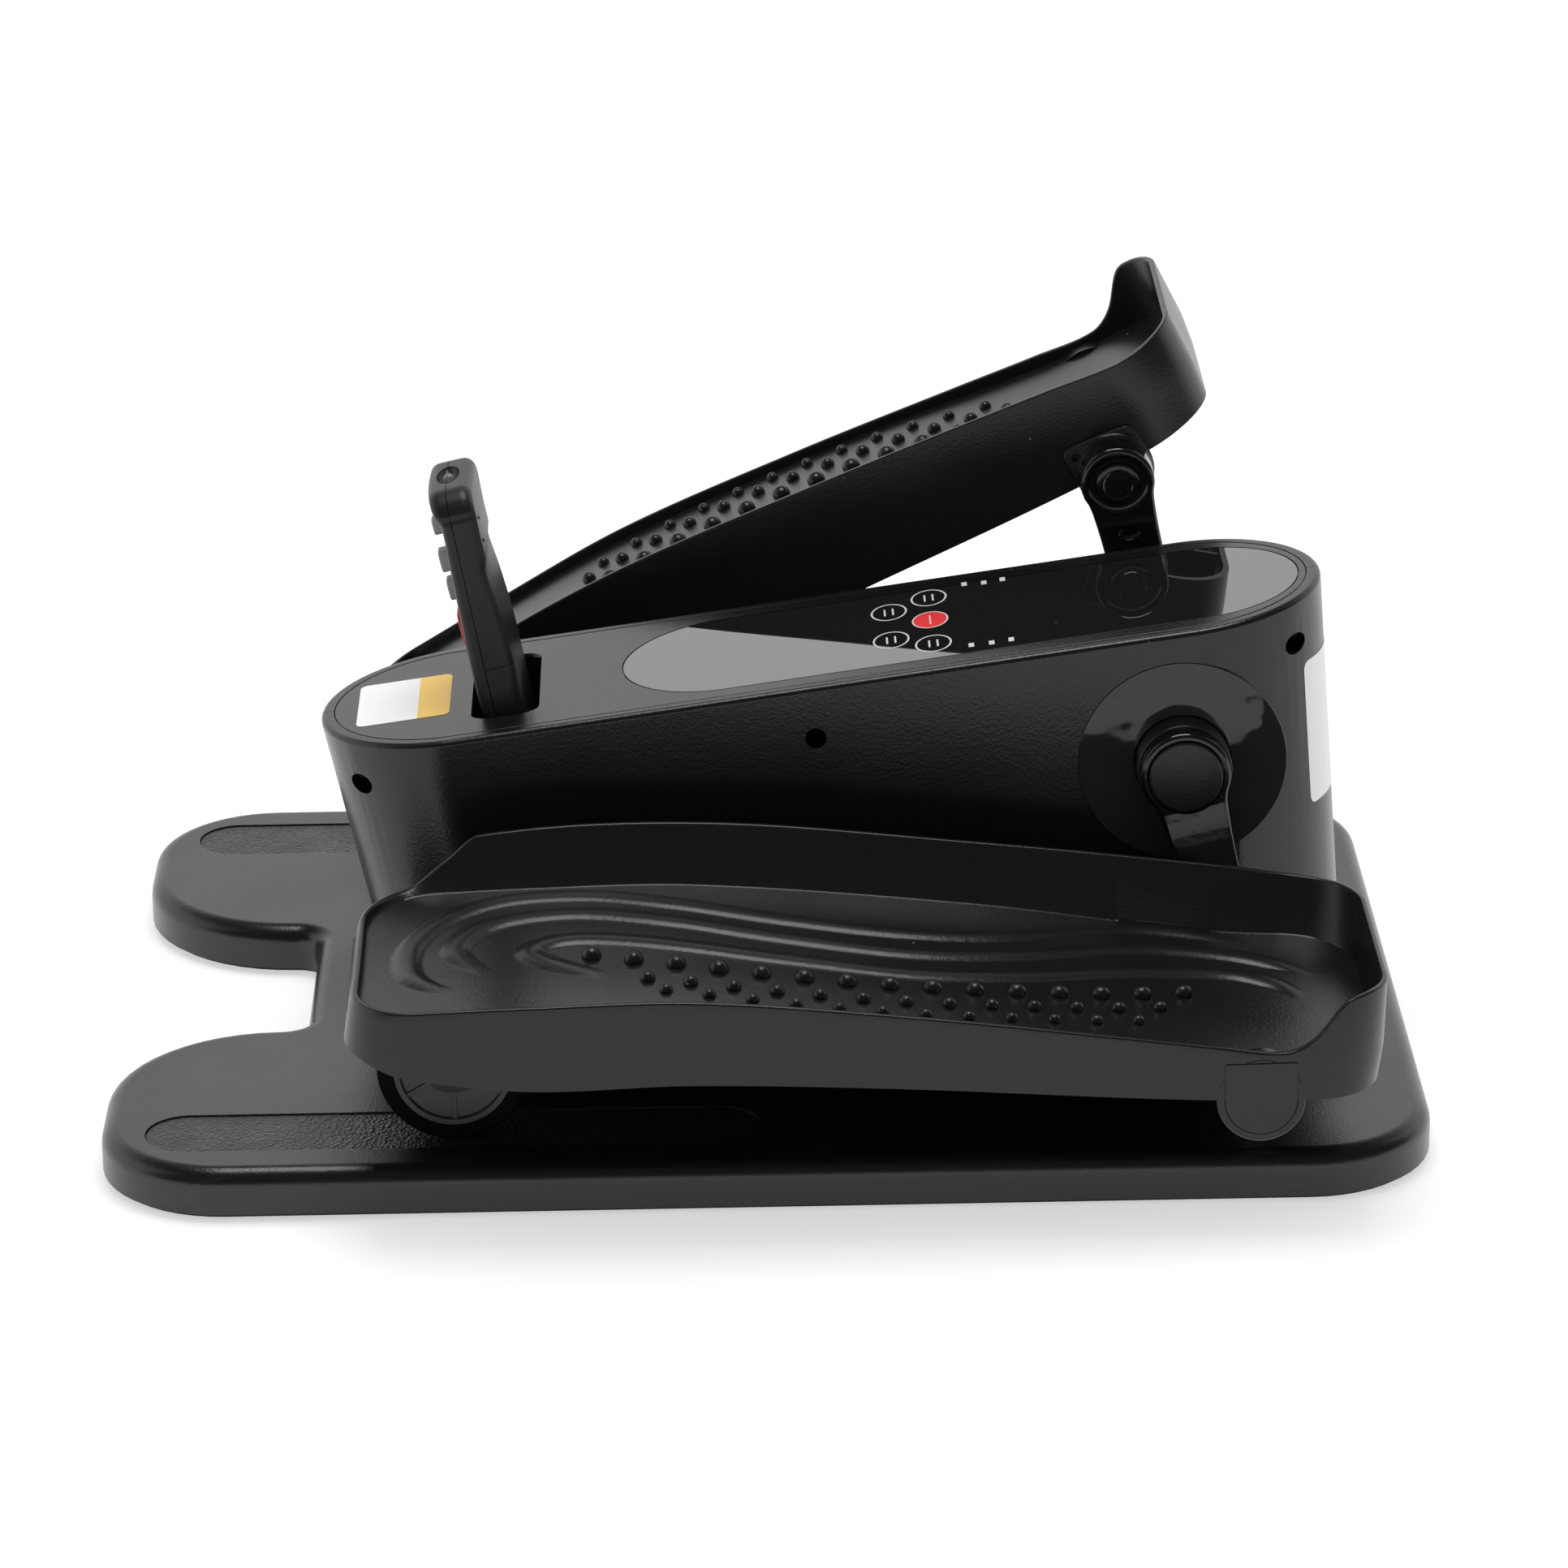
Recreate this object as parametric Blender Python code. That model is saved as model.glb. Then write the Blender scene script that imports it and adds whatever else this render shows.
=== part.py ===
"""Mini elliptical trainer: two foot trays on cranks and heel rollers, a wedge housing and a remote control.

Metres, +Z up. X runs along the machine, with the cranks and the toes at +X and the user at -X.
The near side is -Y. The origin is on the floor under the middle of the base.
"""

import math

import bmesh
import bpy
from mathutils import Matrix, Vector

# Clearances
GAP = 0.0003
RUNNING_GAP = 0.0006
SLOT_GAP = 0.0004

# Base moulding and what stands under it
BASE_LENGTH = 0.565
BASE_WIDTH = 0.419
BASE_TOP = 0.0233
BASE_UNDERSIDE = 0.0034
BASE_EDGE_ROUND = 0.009
BASE_SIDE_DRAFT = 0.0006
BASE_CORNER = 0.055
LOBE_INNER_CORNER = 0.070
NOTCH_WIDTH = 0.113
NOTCH_DEPTH = 0.082
NOTCH_FILLET = 0.0115
PLATE_INSET = 0.0030
FOOT_HEIGHT = 0.0011
FOOT_RADIUS = 0.015
FOOT_FROM_END = 0.045
FOOT_FROM_SIDE = 0.045

# Roller tracks let into the base
TRACK_CENTRE = 0.1690
TRACK_WIDTH = 0.0370
TRACK_FROM_END = 0.0197
TRACK_LENGTH = 0.260
TRACK_THICKNESS = 0.0012
TRACK_SINK = 0.0006

# Housing: a wedge with round ends, split on the centre plane
HOUSING_WIDTH = 0.1200
RIM_REAR_X = -0.1925
RIM_REAR_Z = 0.1490
RIM_FRONT_X = 0.2473
RIM_FRONT_Z = 0.2100
SKIRT_REAR_X = -0.1650
SKIRT_FRONT_X = 0.2600
WALL = 0.0030
RIM_ROUND = 0.0025
RIM_WIDTH = 0.0060
COVER_THICKNESS = 0.0026
LEDGE_WIDTH = 0.0040
LEDGE_THICKNESS = 0.0024
LENS_REAR_X = -0.0587
LENS_FRONT_X = 0.2375
LENS_WIDTH = 0.0900
LENS_THICKNESS = 0.0012
BOARD_THICKNESS = 0.0016
CONTROL_BOARD_REAR_X = -0.0900
CONTROL_BOARD_LENGTH = 0.1000
CONTROL_BOARD_WIDTH = 0.0700
CONTROL_BOARD_LIFT = 0.0065
POST_RADIUS = 0.0030
POST_FROM_EDGE = 0.0060
BOARD_DEPTH = 0.0060

# Housing screws: x, z of the three holes in the near shell
SCREW_PLACES = {"rear": (-0.1732, 0.1305), "middle": (0.0246, 0.1556), "front": (0.2332, 0.1883)}
SCREW_HOLE_RADIUS = 0.0047
SCREW_BOSS_RADIUS = 0.0068
SCREW_HEAD_RADIUS = 0.0040
SCREW_HEAD_HEIGHT = 0.0030
SCREW_SEAT = 0.0220
SCREW_SHANK_RADIUS = 0.0019
SCREW_LENGTH = 0.0360

# Crankset
CRANK_X = 0.1833
CRANK_Z = 0.1421
CRANK_RADIUS = 0.0830
CRANK_PHASE = math.radians(13.3)
AXLE_RADIUS = 0.0085
DISC_RADIUS = 0.0452
DISC_THICKNESS = 0.0015
SLEEVE_RADIUS = 0.0207
SLEEVE_END = 0.0715
HUB_RADIUS = 0.0197
HUB_FACE = 0.0794
PIN_BOSS_RADIUS = 0.0168
PIN_BOSS_IN = 0.0787
PIN_BOSS_OUT = 0.0953
ARM_WAIST = 0.0132
ARM_EDGE = 0.0018
CAP_RADIUS = 0.0162
CAP_SINK = 0.0030
CAP_PROUD = 0.0008
SPINDLE_HEAD_RADIUS = 0.0100
SPINDLE_RADIUS = 0.0080
SPINDLE_PROUD = 0.0016

# Drive inside the housing
BEARING_RADIUS = 0.0175
BEARING_WIDTH = 0.0100
FRAME_HALF_WIDTH = 0.0430
FRAME_SHEET = 0.0030
PULLEY_RADIUS = 0.0460
PULLEY_Y = 0.0200
PULLEY_WIDTH = 0.0120
BELT_WIDTH = 0.0090
BELT_THICKNESS = 0.0016
MOTOR_X = 0.0700
MOTOR_Z = 0.0850
MOTOR_RADIUS = 0.0270
MOTOR_LENGTH = 0.0520
MOTOR_PULLEY_RADIUS = 0.0120
MOTOR_SHAFT_RADIUS = 0.0040

# Foot trays. u runs from the crank pin towards the toe, v outwards from the centre plane, w up.
PIVOT_TO_ROLLER = 0.3340
TRAY_HEEL = -0.3745
TRAY_TOE = 0.0545
TRAY_INNER = 0.1012
TRAY_OUTER = 0.2400
INNER_WALL_LEAN = 0.0030
TRAY_WALL = 0.0028
HEEL_INNER_CORNER = 0.038
HEEL_OUTER_CORNER = 0.028
TOE_INNER_CORNER = 0.036
TOE_OUTER_CORNER = 0.027
INNER_WALL_TOP = (
    (-0.3745, 0.0520), (-0.3660, 0.0521), (-0.3540, 0.0531), (-0.3380, 0.0628), (-0.3214, 0.0736),
    (-0.2277, 0.0759), (-0.1100, 0.0627), (-0.0060, 0.0482), (0.0254, 0.0432), (0.0545, 0.0430),
)
OUTER_RIM_TOP = (
    (-0.3745, 0.0525), (-0.3486, 0.0530), (-0.3000, 0.0542), (-0.2300, 0.0535), (-0.1400, 0.0430),
    (-0.0179, 0.0230), (0.0100, 0.0202), (0.0220, 0.0262), (0.0345, 0.0410), (0.0430, 0.0435), (0.0545, 0.0435),
)
FLOOR_TOP = (
    (-0.3745, 0.0492), (-0.3000, 0.0508), (-0.2300, 0.0500), (-0.1110, 0.0368), (-0.0065, 0.0203), (0.0545, 0.0172),
)
SKIRT_LOW = (
    (-0.3745, 0.0300), (-0.3500, 0.0220), (-0.3000, 0.0148), (-0.2340, 0.0150), (-0.1500, 0.0106),
    (-0.0180, 0.0006), (0.0545, -0.0006),
)
INNER_WALL_HEIGHT = 0.024
HEEL_LEAN = 0.0045
TOE_LEAN = 0.0040
END_LEAN_REACH = 0.060
# Crests of the floor's three ridges, which hook round the heel and wave along to the toe
RIDGES = (
    (
        (-0.330, 0.218), (-0.350, 0.200), (-0.352, 0.168), (-0.337, 0.138), (-0.311, 0.120), (-0.276, 0.118),
        (-0.238, 0.129), (-0.194, 0.141), (-0.147, 0.1465), (-0.105, 0.141), (-0.070, 0.1235), (-0.043, 0.1125),
        (-0.017, 0.112), (0.0064, 0.118),
    ),
    (
        (-0.317, 0.198), (-0.332, 0.173), (-0.317, 0.146), (-0.282, 0.137), (-0.238, 0.1485), (-0.194, 0.161),
        (-0.141, 0.1676), (-0.095, 0.158), (-0.052, 0.1376), (-0.023, 0.1318), (0.006, 0.136), (0.033, 0.1535),
    ),
    (
        (-0.266, 0.2065), (-0.291, 0.191), (-0.299, 0.176), (-0.279, 0.1653), (-0.229, 0.1765), (-0.194, 0.184),
        (-0.141, 0.1897), (-0.095, 0.181), (-0.052, 0.163), (-0.011, 0.1535), (0.012, 0.161), (0.0264, 0.179),
    ),
)
RIDGE_HEIGHT = 0.0017
RIDGE_HALF_WIDTH = 0.0060
RIDGE_CREST = 0.45
# Rows of nubs: how many, radius, height, first and last (u, v), and how far the row bows outwards
NUB_ROWS = (
    (15, 0.0040, 0.0034, (-0.2739, 0.1853), (-0.0268, 0.1812), 0.0229),
    (13, 0.0029, 0.0030, (-0.2504, 0.2112), (-0.0380, 0.1997), 0.0170),
    (12, 0.0025, 0.0028, (-0.2428, 0.2235), (-0.0481, 0.2165), 0.0144),
)
NUB_SIDES = 5
NUB_CROWN = 0.6
RELIEF_ROOT = 0.0012
POCKET_ROWS = 3
POCKET_COLUMNS = 7
RIB = 0.0022
OUTER_BOSS_RADIUS = 0.0183
OUTER_BOSS_DEPTH = 0.0120
COVER_HALF_WIDTH = 0.0149
COVER_FLAT = 0.0165
D_COVER_THICKNESS = 0.0022
COVER_PROUD = 0.0005
BRACKET_SHEET = 0.0021
BRACKET_COLLAR = 0.0170
BRACKET_TILT = math.radians(-8.0)
BRACKET_EAR_SHIFT = -0.0020
BRACKET_EAR_U = 0.0122
BRACKET_EAR_W = 0.0124
BRACKET_EAR_RADIUS = 0.0055
BRACKET_HOLE_RADIUS = 0.0020

# Heel rollers
ROLLER_RADIUS = 0.0320
ROLLER_CLEARANCE = 0.0008
ROLLER_WIDTH = 0.0240
ROLLER_CENTRE = 0.1690
TYRE_THICKNESS = 0.0070
ROLLER_AXLE_RADIUS = 0.0040
FORK_SHEET = 0.0025
FORK_HALF_LENGTH = 0.0220
FORK_NOSE = 0.0090

# Remote control. Its own frame: t up along it, x through its thickness, y across.
REMOTE_LEAN = math.radians(12.6)
REMOTE_X = -0.1121
REMOTE_Z = 0.1600
REMOTE_LENGTH = 0.1485
REMOTE_IN_POCKET = 0.0450
REMOTE_WIDTH = 0.0620
REMOTE_THICKNESS = 0.0163
REMOTE_FRONT_SHARE = 0.33
REMOTE_CROWN = 0.0018
REMOTE_CORNER = 0.0260
REMOTE_EDGE = 0.0030
REMOTE_BACK_EDGE = 0.0050
REMOTE_FOOT_CORNER = 0.0080
GRIP_DIP = 0.0017
GRIP_DIP_AT = 0.1080
GRIP_DIP_SPREAD = 0.0110
DOOR_HEIGHT = 0.0640
POCKET_WIDTH = 0.0750
POCKET_LENGTH = 0.0289
POCKET_X = -0.1102
POCKET_PLAY = 0.0008
POCKET_WALL = 0.0020
POCKET_CORNER = 0.0060
KEY_PROUD = 0.0038
KEY_PLACES = {
    "remote_key_1": (0.1250, 0.0080),
    "remote_key_2": (0.1084, 0.0105),
    "remote_key_3": (0.0950, 0.0100),
    "remote_key_stop": (0.0770, 0.0155),
}
EMITTER_RADIUS = 0.0025

# Power inlet and switch on the toe end
JACK_RADIUS = 0.0060
JACK_ANGLE = math.radians(25.0)
SWITCH_ANGLE = math.radians(58.0)
SOCKET_Z = 0.0560
SWITCH_HEIGHT = 0.0190
SWITCH_WIDTH = 0.0130
SWITCH_REST = math.radians(5.0)

# Facets round a circle and along the curved outlines
ROUND = 20
WIDE_ROUND = 32
SMALL_ROUND = 12
HIDDEN_ROUND = 12
BELT_STEPS = 16
END_STEPS = 7
CORNER_STEPS = 5
SIDE_STEPS = 10
TRAY_CORNER_STEPS = 4

NEAR, FAR = -1, 1
SIDES = {"near": NEAR, "far": FAR}


def clear_scene():
    for obj in list(bpy.data.objects):
        bpy.data.objects.remove(obj, do_unlink=True)


def make_material(name, colour, roughness, metallic=0.0):
    material = bpy.data.materials.new(name)
    material.use_nodes = True
    shader = material.node_tree.nodes["Principled BSDF"]
    shader.inputs["Base Color"].default_value = (*colour, 1.0)
    shader.inputs["Roughness"].default_value = roughness
    shader.inputs["Metallic"].default_value = metallic
    return material


def make_materials():
    return {
        "shell": make_material("satin black plastic", (0.016, 0.016, 0.017), 0.45),
        "grain": make_material("grained black rubber", (0.022, 0.022, 0.023), 0.7),
        "rubber": make_material("black rubber", (0.012, 0.012, 0.012), 0.75),
        "gloss": make_material("gloss black plastic", (0.008, 0.008, 0.009), 0.08),
        "paint": make_material("gloss black paint", (0.008, 0.008, 0.008), 0.15),
        "steel": make_material("zinc plated steel", (0.55, 0.56, 0.58), 0.35, 1.0),
        "grey": make_material("grey rubber keys", (0.25, 0.25, 0.26), 0.6),
        "red": make_material("red rubber key", (0.65, 0.03, 0.03), 0.5),
        "board": make_material("green circuit board", (0.02, 0.12, 0.05), 0.5),
        "smoke": make_material("clear emitter", (0.5, 0.5, 0.52), 0.1),
    }


def add(name, mesh_data, material, parent=None, location=(0, 0, 0), rotation=(0, 0, 0)):
    """The bmesh as a named object, its faces turned outwards and shaded smooth up to sharp edges."""
    bmesh.ops.recalc_face_normals(mesh_data, faces=mesh_data.faces)
    mesh = bpy.data.meshes.new(name)
    mesh_data.to_mesh(mesh)
    mesh_data.free()
    mesh.shade_smooth()
    mesh.set_sharp_from_angle(angle=math.radians(32))
    obj = bpy.data.objects.new(name, mesh)
    bpy.context.scene.collection.objects.link(obj)
    obj.parent = parent
    obj.location = location
    obj.rotation_euler = rotation
    if material:
        mesh.materials.append(material)
    return obj


def pivot(name, location, rotation=(0, 0, 0), parent=None):
    empty = bpy.data.objects.new(name, None)
    bpy.context.scene.collection.objects.link(empty)
    empty.location = location
    empty.rotation_euler = rotation
    empty.parent = parent
    return empty


def combine(target, tool_mesh, operation="DIFFERENCE", location=(0, 0, 0)):
    """A Boolean of the target with a helper that shares the target's parent."""
    index = len(target.modifiers) + 1
    tool = add(f"{target.name}_{operation.lower()}_{index}", tool_mesh, None, target.parent, location)
    tool.hide_render = True
    tool.display_type = "WIRE"
    modifier = target.modifiers.new(operation.title(), "BOOLEAN")
    modifier.operation = operation
    modifier.object = tool
    return tool


def smooth(t):
    t = min(max(t, 0.0), 1.0)
    return t * t * (3.0 - 2.0 * t)


def curve(points, x):
    """The height at x of a smooth curve through the points, level with its end points beyond them."""
    if x <= points[0][0]:
        return points[0][1]
    if x >= points[-1][0]:
        return points[-1][1]
    i = max(k for k in range(len(points) - 1) if points[k][0] <= x)

    def slope(k):
        low, high = max(k - 1, 0), min(k + 1, len(points) - 1)
        return (points[high][1] - points[low][1]) / (points[high][0] - points[low][0])

    (x0, y0), (x1, y1) = points[i], points[i + 1]
    width = x1 - x0
    t = (x - x0) / width
    return (
        (2 * t**3 - 3 * t**2 + 1) * y0
        + (t**3 - 2 * t**2 + t) * width * slope(i)
        + (3 * t**2 - 2 * t**3) * y1
        + (t**3 - t**2) * width * slope(i + 1)
    )


def rounded(corners, steps=CORNER_STEPS):
    """A closed outline through (x, y, radius) corners, each rounded by an arc."""
    outline = []
    count = len(corners)
    for i, (x, y, radius) in enumerate(corners):
        corner = Vector((x, y))
        back = (Vector(corners[i - 1][:2]) - corner).normalized()
        ahead = (Vector(corners[(i + 1) % count][:2]) - corner).normalized()
        half = back.angle(ahead) / 2
        centre = corner + (back + ahead).normalized() * (radius / math.sin(half))
        first = corner + back * (radius / math.tan(half)) - centre
        last = corner + ahead * (radius / math.tan(half)) - centre
        start = math.atan2(first.y, first.x)
        turn = (math.atan2(last.y, last.x) - start + math.pi) % (2 * math.pi) - math.pi
        for k in range(steps + 1):
            a = start + turn * k / steps
            outline.append((centre.x + radius * math.cos(a), centre.y + radius * math.sin(a)))
    return outline


def stadium(x0, x1, half_width, steps=10):
    """A closed outline with round ends from x0 to x1, centred on y = 0."""
    outline = []
    for centre, start in ((x1 - half_width, -math.pi / 2), (x0 + half_width, math.pi / 2)):
        for k in range(steps + 1):
            a = start + math.pi * k / steps
            outline.append((centre + half_width * math.cos(a), half_width * math.sin(a)))
    return outline


def circle(radius, segments=ROUND, centre=(0.0, 0.0)):
    return [
        (
            centre[0] + radius * math.cos(2 * math.pi * k / segments),
            centre[1] + radius * math.sin(2 * math.pi * k / segments),
        )
        for k in range(segments)
    ]


def stack(rings, closed=False):
    """A skin over rings of equally many 3D points, with a face on both ends, or joined end to end if closed."""
    mesh = bmesh.new()
    rows = [[mesh.verts.new(point) for point in ring] for ring in rings]
    pairs = list(zip(rows, rows[1:]))
    if closed:
        pairs.append((rows[-1], rows[0]))
    for lower, upper in pairs:
        for i in range(len(lower)):
            j = (i + 1) % len(lower)
            mesh.faces.new((lower[i], lower[j], upper[j], upper[i]))
    if not closed:
        mesh.faces.new(rows[0])
        mesh.faces.new(rows[-1])
    return mesh


def prism(outline, low, high, axis="Z"):
    """The outline pushed from low to high along an axis. Along Y, the outline's points are (x, z)."""
    if axis == "Z":
        return stack([[(x, y, level) for x, y in outline] for level in (low, high)])
    if axis == "Y":
        return stack([[(x, level, z) for x, z in outline] for level in (low, high)])
    return stack([[(level, y, z) for y, z in outline] for level in (low, high)])


def block(x0, x1, y0, y1, z0, z1):
    return prism([(x0, y0), (x1, y0), (x1, y1), (x0, y1)], z0, z1)


def turned(profile, segments=ROUND, tube=False):
    """A body turned about the Y axis from (radius, y) points; a tube's profile closes on itself."""
    rings = [[(x, y, z) for x, z in circle(radius, segments)] for radius, y in profile]
    return stack(rings, closed=tube)


def rod(radius, y0, y1, edge=0.0, segments=ROUND):
    if edge == 0.0:
        return turned([(radius, y0), (radius, y1)], segments)
    return turned([(radius - edge, y0), (radius, y0 + edge), (radius, y1 - edge), (radius - edge, y1)], segments)


def tube(inner, outer, y0, y1, edge=0.0, segments=ROUND):
    if edge == 0.0:
        profile = [(inner, y0), (outer, y0), (outer, y1), (inner, y1)]
    else:
        profile = [
            (inner, y0), (outer - edge, y0), (outer, y0 + edge),
            (outer, y1 - edge), (outer - edge, y1), (inner, y1),
        ]
    return turned(profile, segments, tube=True)


def join(*meshes):
    """Several closed meshes that don't touch, as one helper."""
    whole = bmesh.new()
    for part in meshes:
        mesh = bpy.data.meshes.new("helper")
        part.to_mesh(mesh)
        part.free()
        whole.from_mesh(mesh)
        bpy.data.meshes.remove(mesh)
    return whole


def moved(mesh_data, offset=(0, 0, 0), matrix=None):
    bmesh.ops.transform(mesh_data, matrix=Matrix.Translation(offset) @ (matrix or Matrix.Identity(4)), verts=mesh_data.verts)
    return mesh_data


# Places worked out from the driving dimensions

HALF_LENGTH = BASE_LENGTH / 2
HALF_WIDTH = BASE_WIDTH / 2
TRACK_TOP = BASE_TOP - TRACK_SINK
ROLLER_Z = TRACK_TOP + ROLLER_CLEARANCE + ROLLER_RADIUS
SLOPE = math.atan2(RIM_FRONT_Z - RIM_REAR_Z, RIM_FRONT_X - RIM_REAR_X)


def pin_place(side):
    """x and z of a crank pin: the far one is up and towards the user, the near one down and away."""
    return (
        CRANK_X - side * CRANK_RADIUS * math.sin(CRANK_PHASE),
        CRANK_Z + side * CRANK_RADIUS * math.cos(CRANK_PHASE),
    )


def tray_tilt(side):
    """The tray's tilt, toe up, that rests its roller on the track."""
    return math.asin((pin_place(side)[1] - ROLLER_Z) / PIVOT_TO_ROLLER)


def rim_z(x):
    """The height of the housing's top plane at x."""
    return RIM_REAR_Z + (x - RIM_REAR_X) * math.tan(SLOPE)


def below_rim(x, y, depth):
    """The point at x, y on the top plane, moved square to the plane by depth into the housing."""
    return (x + depth * math.sin(SLOPE), y, rim_z(x) - depth * math.cos(SLOPE))


def base_loop(inset):
    """The base's outline, moved inwards."""
    rear, front = -HALF_LENGTH + inset, HALF_LENGTH - inset
    side, notch_y = HALF_WIDTH - inset, NOTCH_WIDTH / 2 + inset
    notch_x = -HALF_LENGTH + NOTCH_DEPTH + inset
    corner, lobe, fillet = BASE_CORNER - inset, LOBE_INNER_CORNER - inset, NOTCH_FILLET + inset
    return rounded([
        (front, -side, corner), (front, side, corner), (rear, side, corner), (rear, notch_y, lobe),
        (notch_x, notch_y, fillet), (notch_x, -notch_y, fillet), (rear, -notch_y, lobe), (rear, -side, corner),
    ])


def track_loop(side, inset):
    start = -HALF_LENGTH + TRACK_FROM_END
    outline = stadium(start + inset, start + TRACK_LENGTH - inset, TRACK_WIDTH / 2 - inset, 8)
    return [(x, y + side * TRACK_CENTRE) for x, y in outline]


def build_base(materials):
    shoulder = BASE_TOP - BASE_EDGE_ROUND
    levels = [(BASE_UNDERSIDE, 0.0), (shoulder, BASE_SIDE_DRAFT)]
    for k in (1, 2, 3):
        a = math.radians(90 * k / 3)
        levels.append((
            shoulder + BASE_EDGE_ROUND * math.sin(a),
            BASE_SIDE_DRAFT + BASE_EDGE_ROUND * (1 - math.cos(a)),
        ))
    base = add("base_tray", stack([[(x, y, z) for x, y in base_loop(inset)] for z, inset in levels]), materials["shell"])
    recess = TRACK_TOP - TRACK_THICKNESS - GAP
    cutters = [prism(track_loop(side, 0.0), recess, BASE_TOP + WALL) for side in SIDES.values()]
    combine(base, join(*cutters))
    for name, side in SIDES.items():
        strip = prism(track_loop(side, SLOT_GAP), recess + GAP, TRACK_TOP)
        add(f"track_strip_{name}", strip, materials["grain"])
    plate = prism(base_loop(PLATE_INSET), FOOT_HEIGHT + GAP, BASE_UNDERSIDE - GAP)
    add("bottom_plate", plate, materials["rubber"])
    for name, side in SIDES.items():
        for end_name, end in (("front", 1), ("rear", -1)):
            x = end * (HALF_LENGTH - FOOT_FROM_END)
            y = side * (HALF_WIDTH - FOOT_FROM_SIDE)
            foot = prism(circle(FOOT_RADIUS, SMALL_ROUND), 0.0, FOOT_HEIGHT)
            add(f"foot_{end_name}_{name}", foot, materials["rubber"], location=(x, y, 0.0))


def housing_path(side):
    """Unit steps round one half of the housing: (end, angle) from the rear tip to the front tip."""
    rear = [("rear", math.pi - k * math.pi / 2 / END_STEPS) for k in range(END_STEPS + 1)]
    front = [("front", math.pi / 2 - k * math.pi / 2 / END_STEPS) for k in range(END_STEPS + 1)]
    return [(end, side * a) for end, a in rear + front]


def housing_point(end, angle, inset, depth, side, seam=GAP / 2):
    """A point on the wall: inset from the outer face, depth under the top plane, or on the skirt's foot."""
    radius = HOUSING_WIDTH / 2
    top_x = RIM_REAR_X + radius if end == "rear" else RIM_FRONT_X - radius
    low_x = SKIRT_REAR_X + radius if end == "rear" else SKIRT_FRONT_X - radius
    reach = radius - inset
    y = side * max(abs(reach * math.sin(angle)), seam)
    top = Vector((top_x + reach * math.cos(angle), y, 0.0))
    top.z = rim_z(top.x)
    low = Vector((low_x + reach * math.cos(angle), y, BASE_TOP + GAP))
    if depth is None:
        return low
    return top.lerp(low, depth / (top.z - low.z))


def build_housing_half(name, side, materials):
    deep = COVER_THICKNESS + GAP
    section = [
        (0.0, None), (0.0, RIM_ROUND), (RIM_ROUND * 0.3, RIM_ROUND * 0.3), (RIM_ROUND, 0.0), (RIM_WIDTH, 0.0),
        (RIM_WIDTH, deep), (RIM_WIDTH + LEDGE_WIDTH, deep), (RIM_WIDTH + LEDGE_WIDTH, deep + LEDGE_THICKNESS),
        (WALL, deep + LEDGE_THICKNESS + RIM_WIDTH), (WALL, None),
    ]
    rings = [
        [housing_point(end, angle, inset, depth, side) for inset, depth in section]
        for end, angle in housing_path(side)
    ]
    shell = add(f"housing_shell_{name}", stack(rings), materials["shell"])
    face = side * HOUSING_WIDTH / 2
    bosses = []
    for x, z in SCREW_PLACES.values():
        boss = prism(circle(SCREW_BOSS_RADIUS, 12), *sorted((side * GAP / 2, face)), "Y")
        bosses.append(moved(boss, (x, 0, z)))
    tool = combine(shell, join(*bosses), "UNION")
    middle_of_wall = [
        [housing_point(end, angle, WALL / 2, depth, side, seam=0.0) for end, angle in housing_path(side)]
        for depth in (None, deep)
    ]
    combine(tool, stack(middle_of_wall), "INTERSECT")
    cutters = [moved(rod(SLEEVE_RADIUS + RUNNING_GAP, *sorted((face, 0))), (CRANK_X, side * WALL * 2, CRANK_Z))]
    if side == NEAR:
        for x, z in SCREW_PLACES.values():
            cutters.append(moved(rod(SCREW_HOLE_RADIUS, face - WALL, -SCREW_SEAT, segments=12), (x, 0, z)))
    combine(shell, join(*cutters))
    disc_seat = rod(DISC_RADIUS + GAP, min(0, side * WALL * 3), max(0, side * WALL * 3), segments=WIDE_ROUND)
    combine(shell, disc_seat, location=(CRANK_X, face - side * (DISC_THICKNESS + GAP), CRANK_Z))
    span = (-SCREW_SEAT - WALL, WALL) if side == NEAR else (-WALL, SCREW_LENGTH - SCREW_SEAT + GAP)
    bores = [
        moved(rod(SCREW_SHANK_RADIUS + GAP, *span, segments=8), (x, 0, z)) for x, z in SCREW_PLACES.values()
    ]
    combine(shell, join(*bores))
    return shell


def end_frame(angle):
    """A frame on the housing's toe end at an angle from +X towards +Y: x out of the wall, y along it, z up."""
    point = housing_point("front", angle, 0.0, None, FAR)
    top = housing_point("front", angle, 0.0, 0.0, FAR)
    place = Vector(point).lerp(top, (SOCKET_Z - point.z) / (top.z - point.z))
    return Matrix.Translation(place) @ Matrix.Rotation(angle, 4, "Z")


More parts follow.
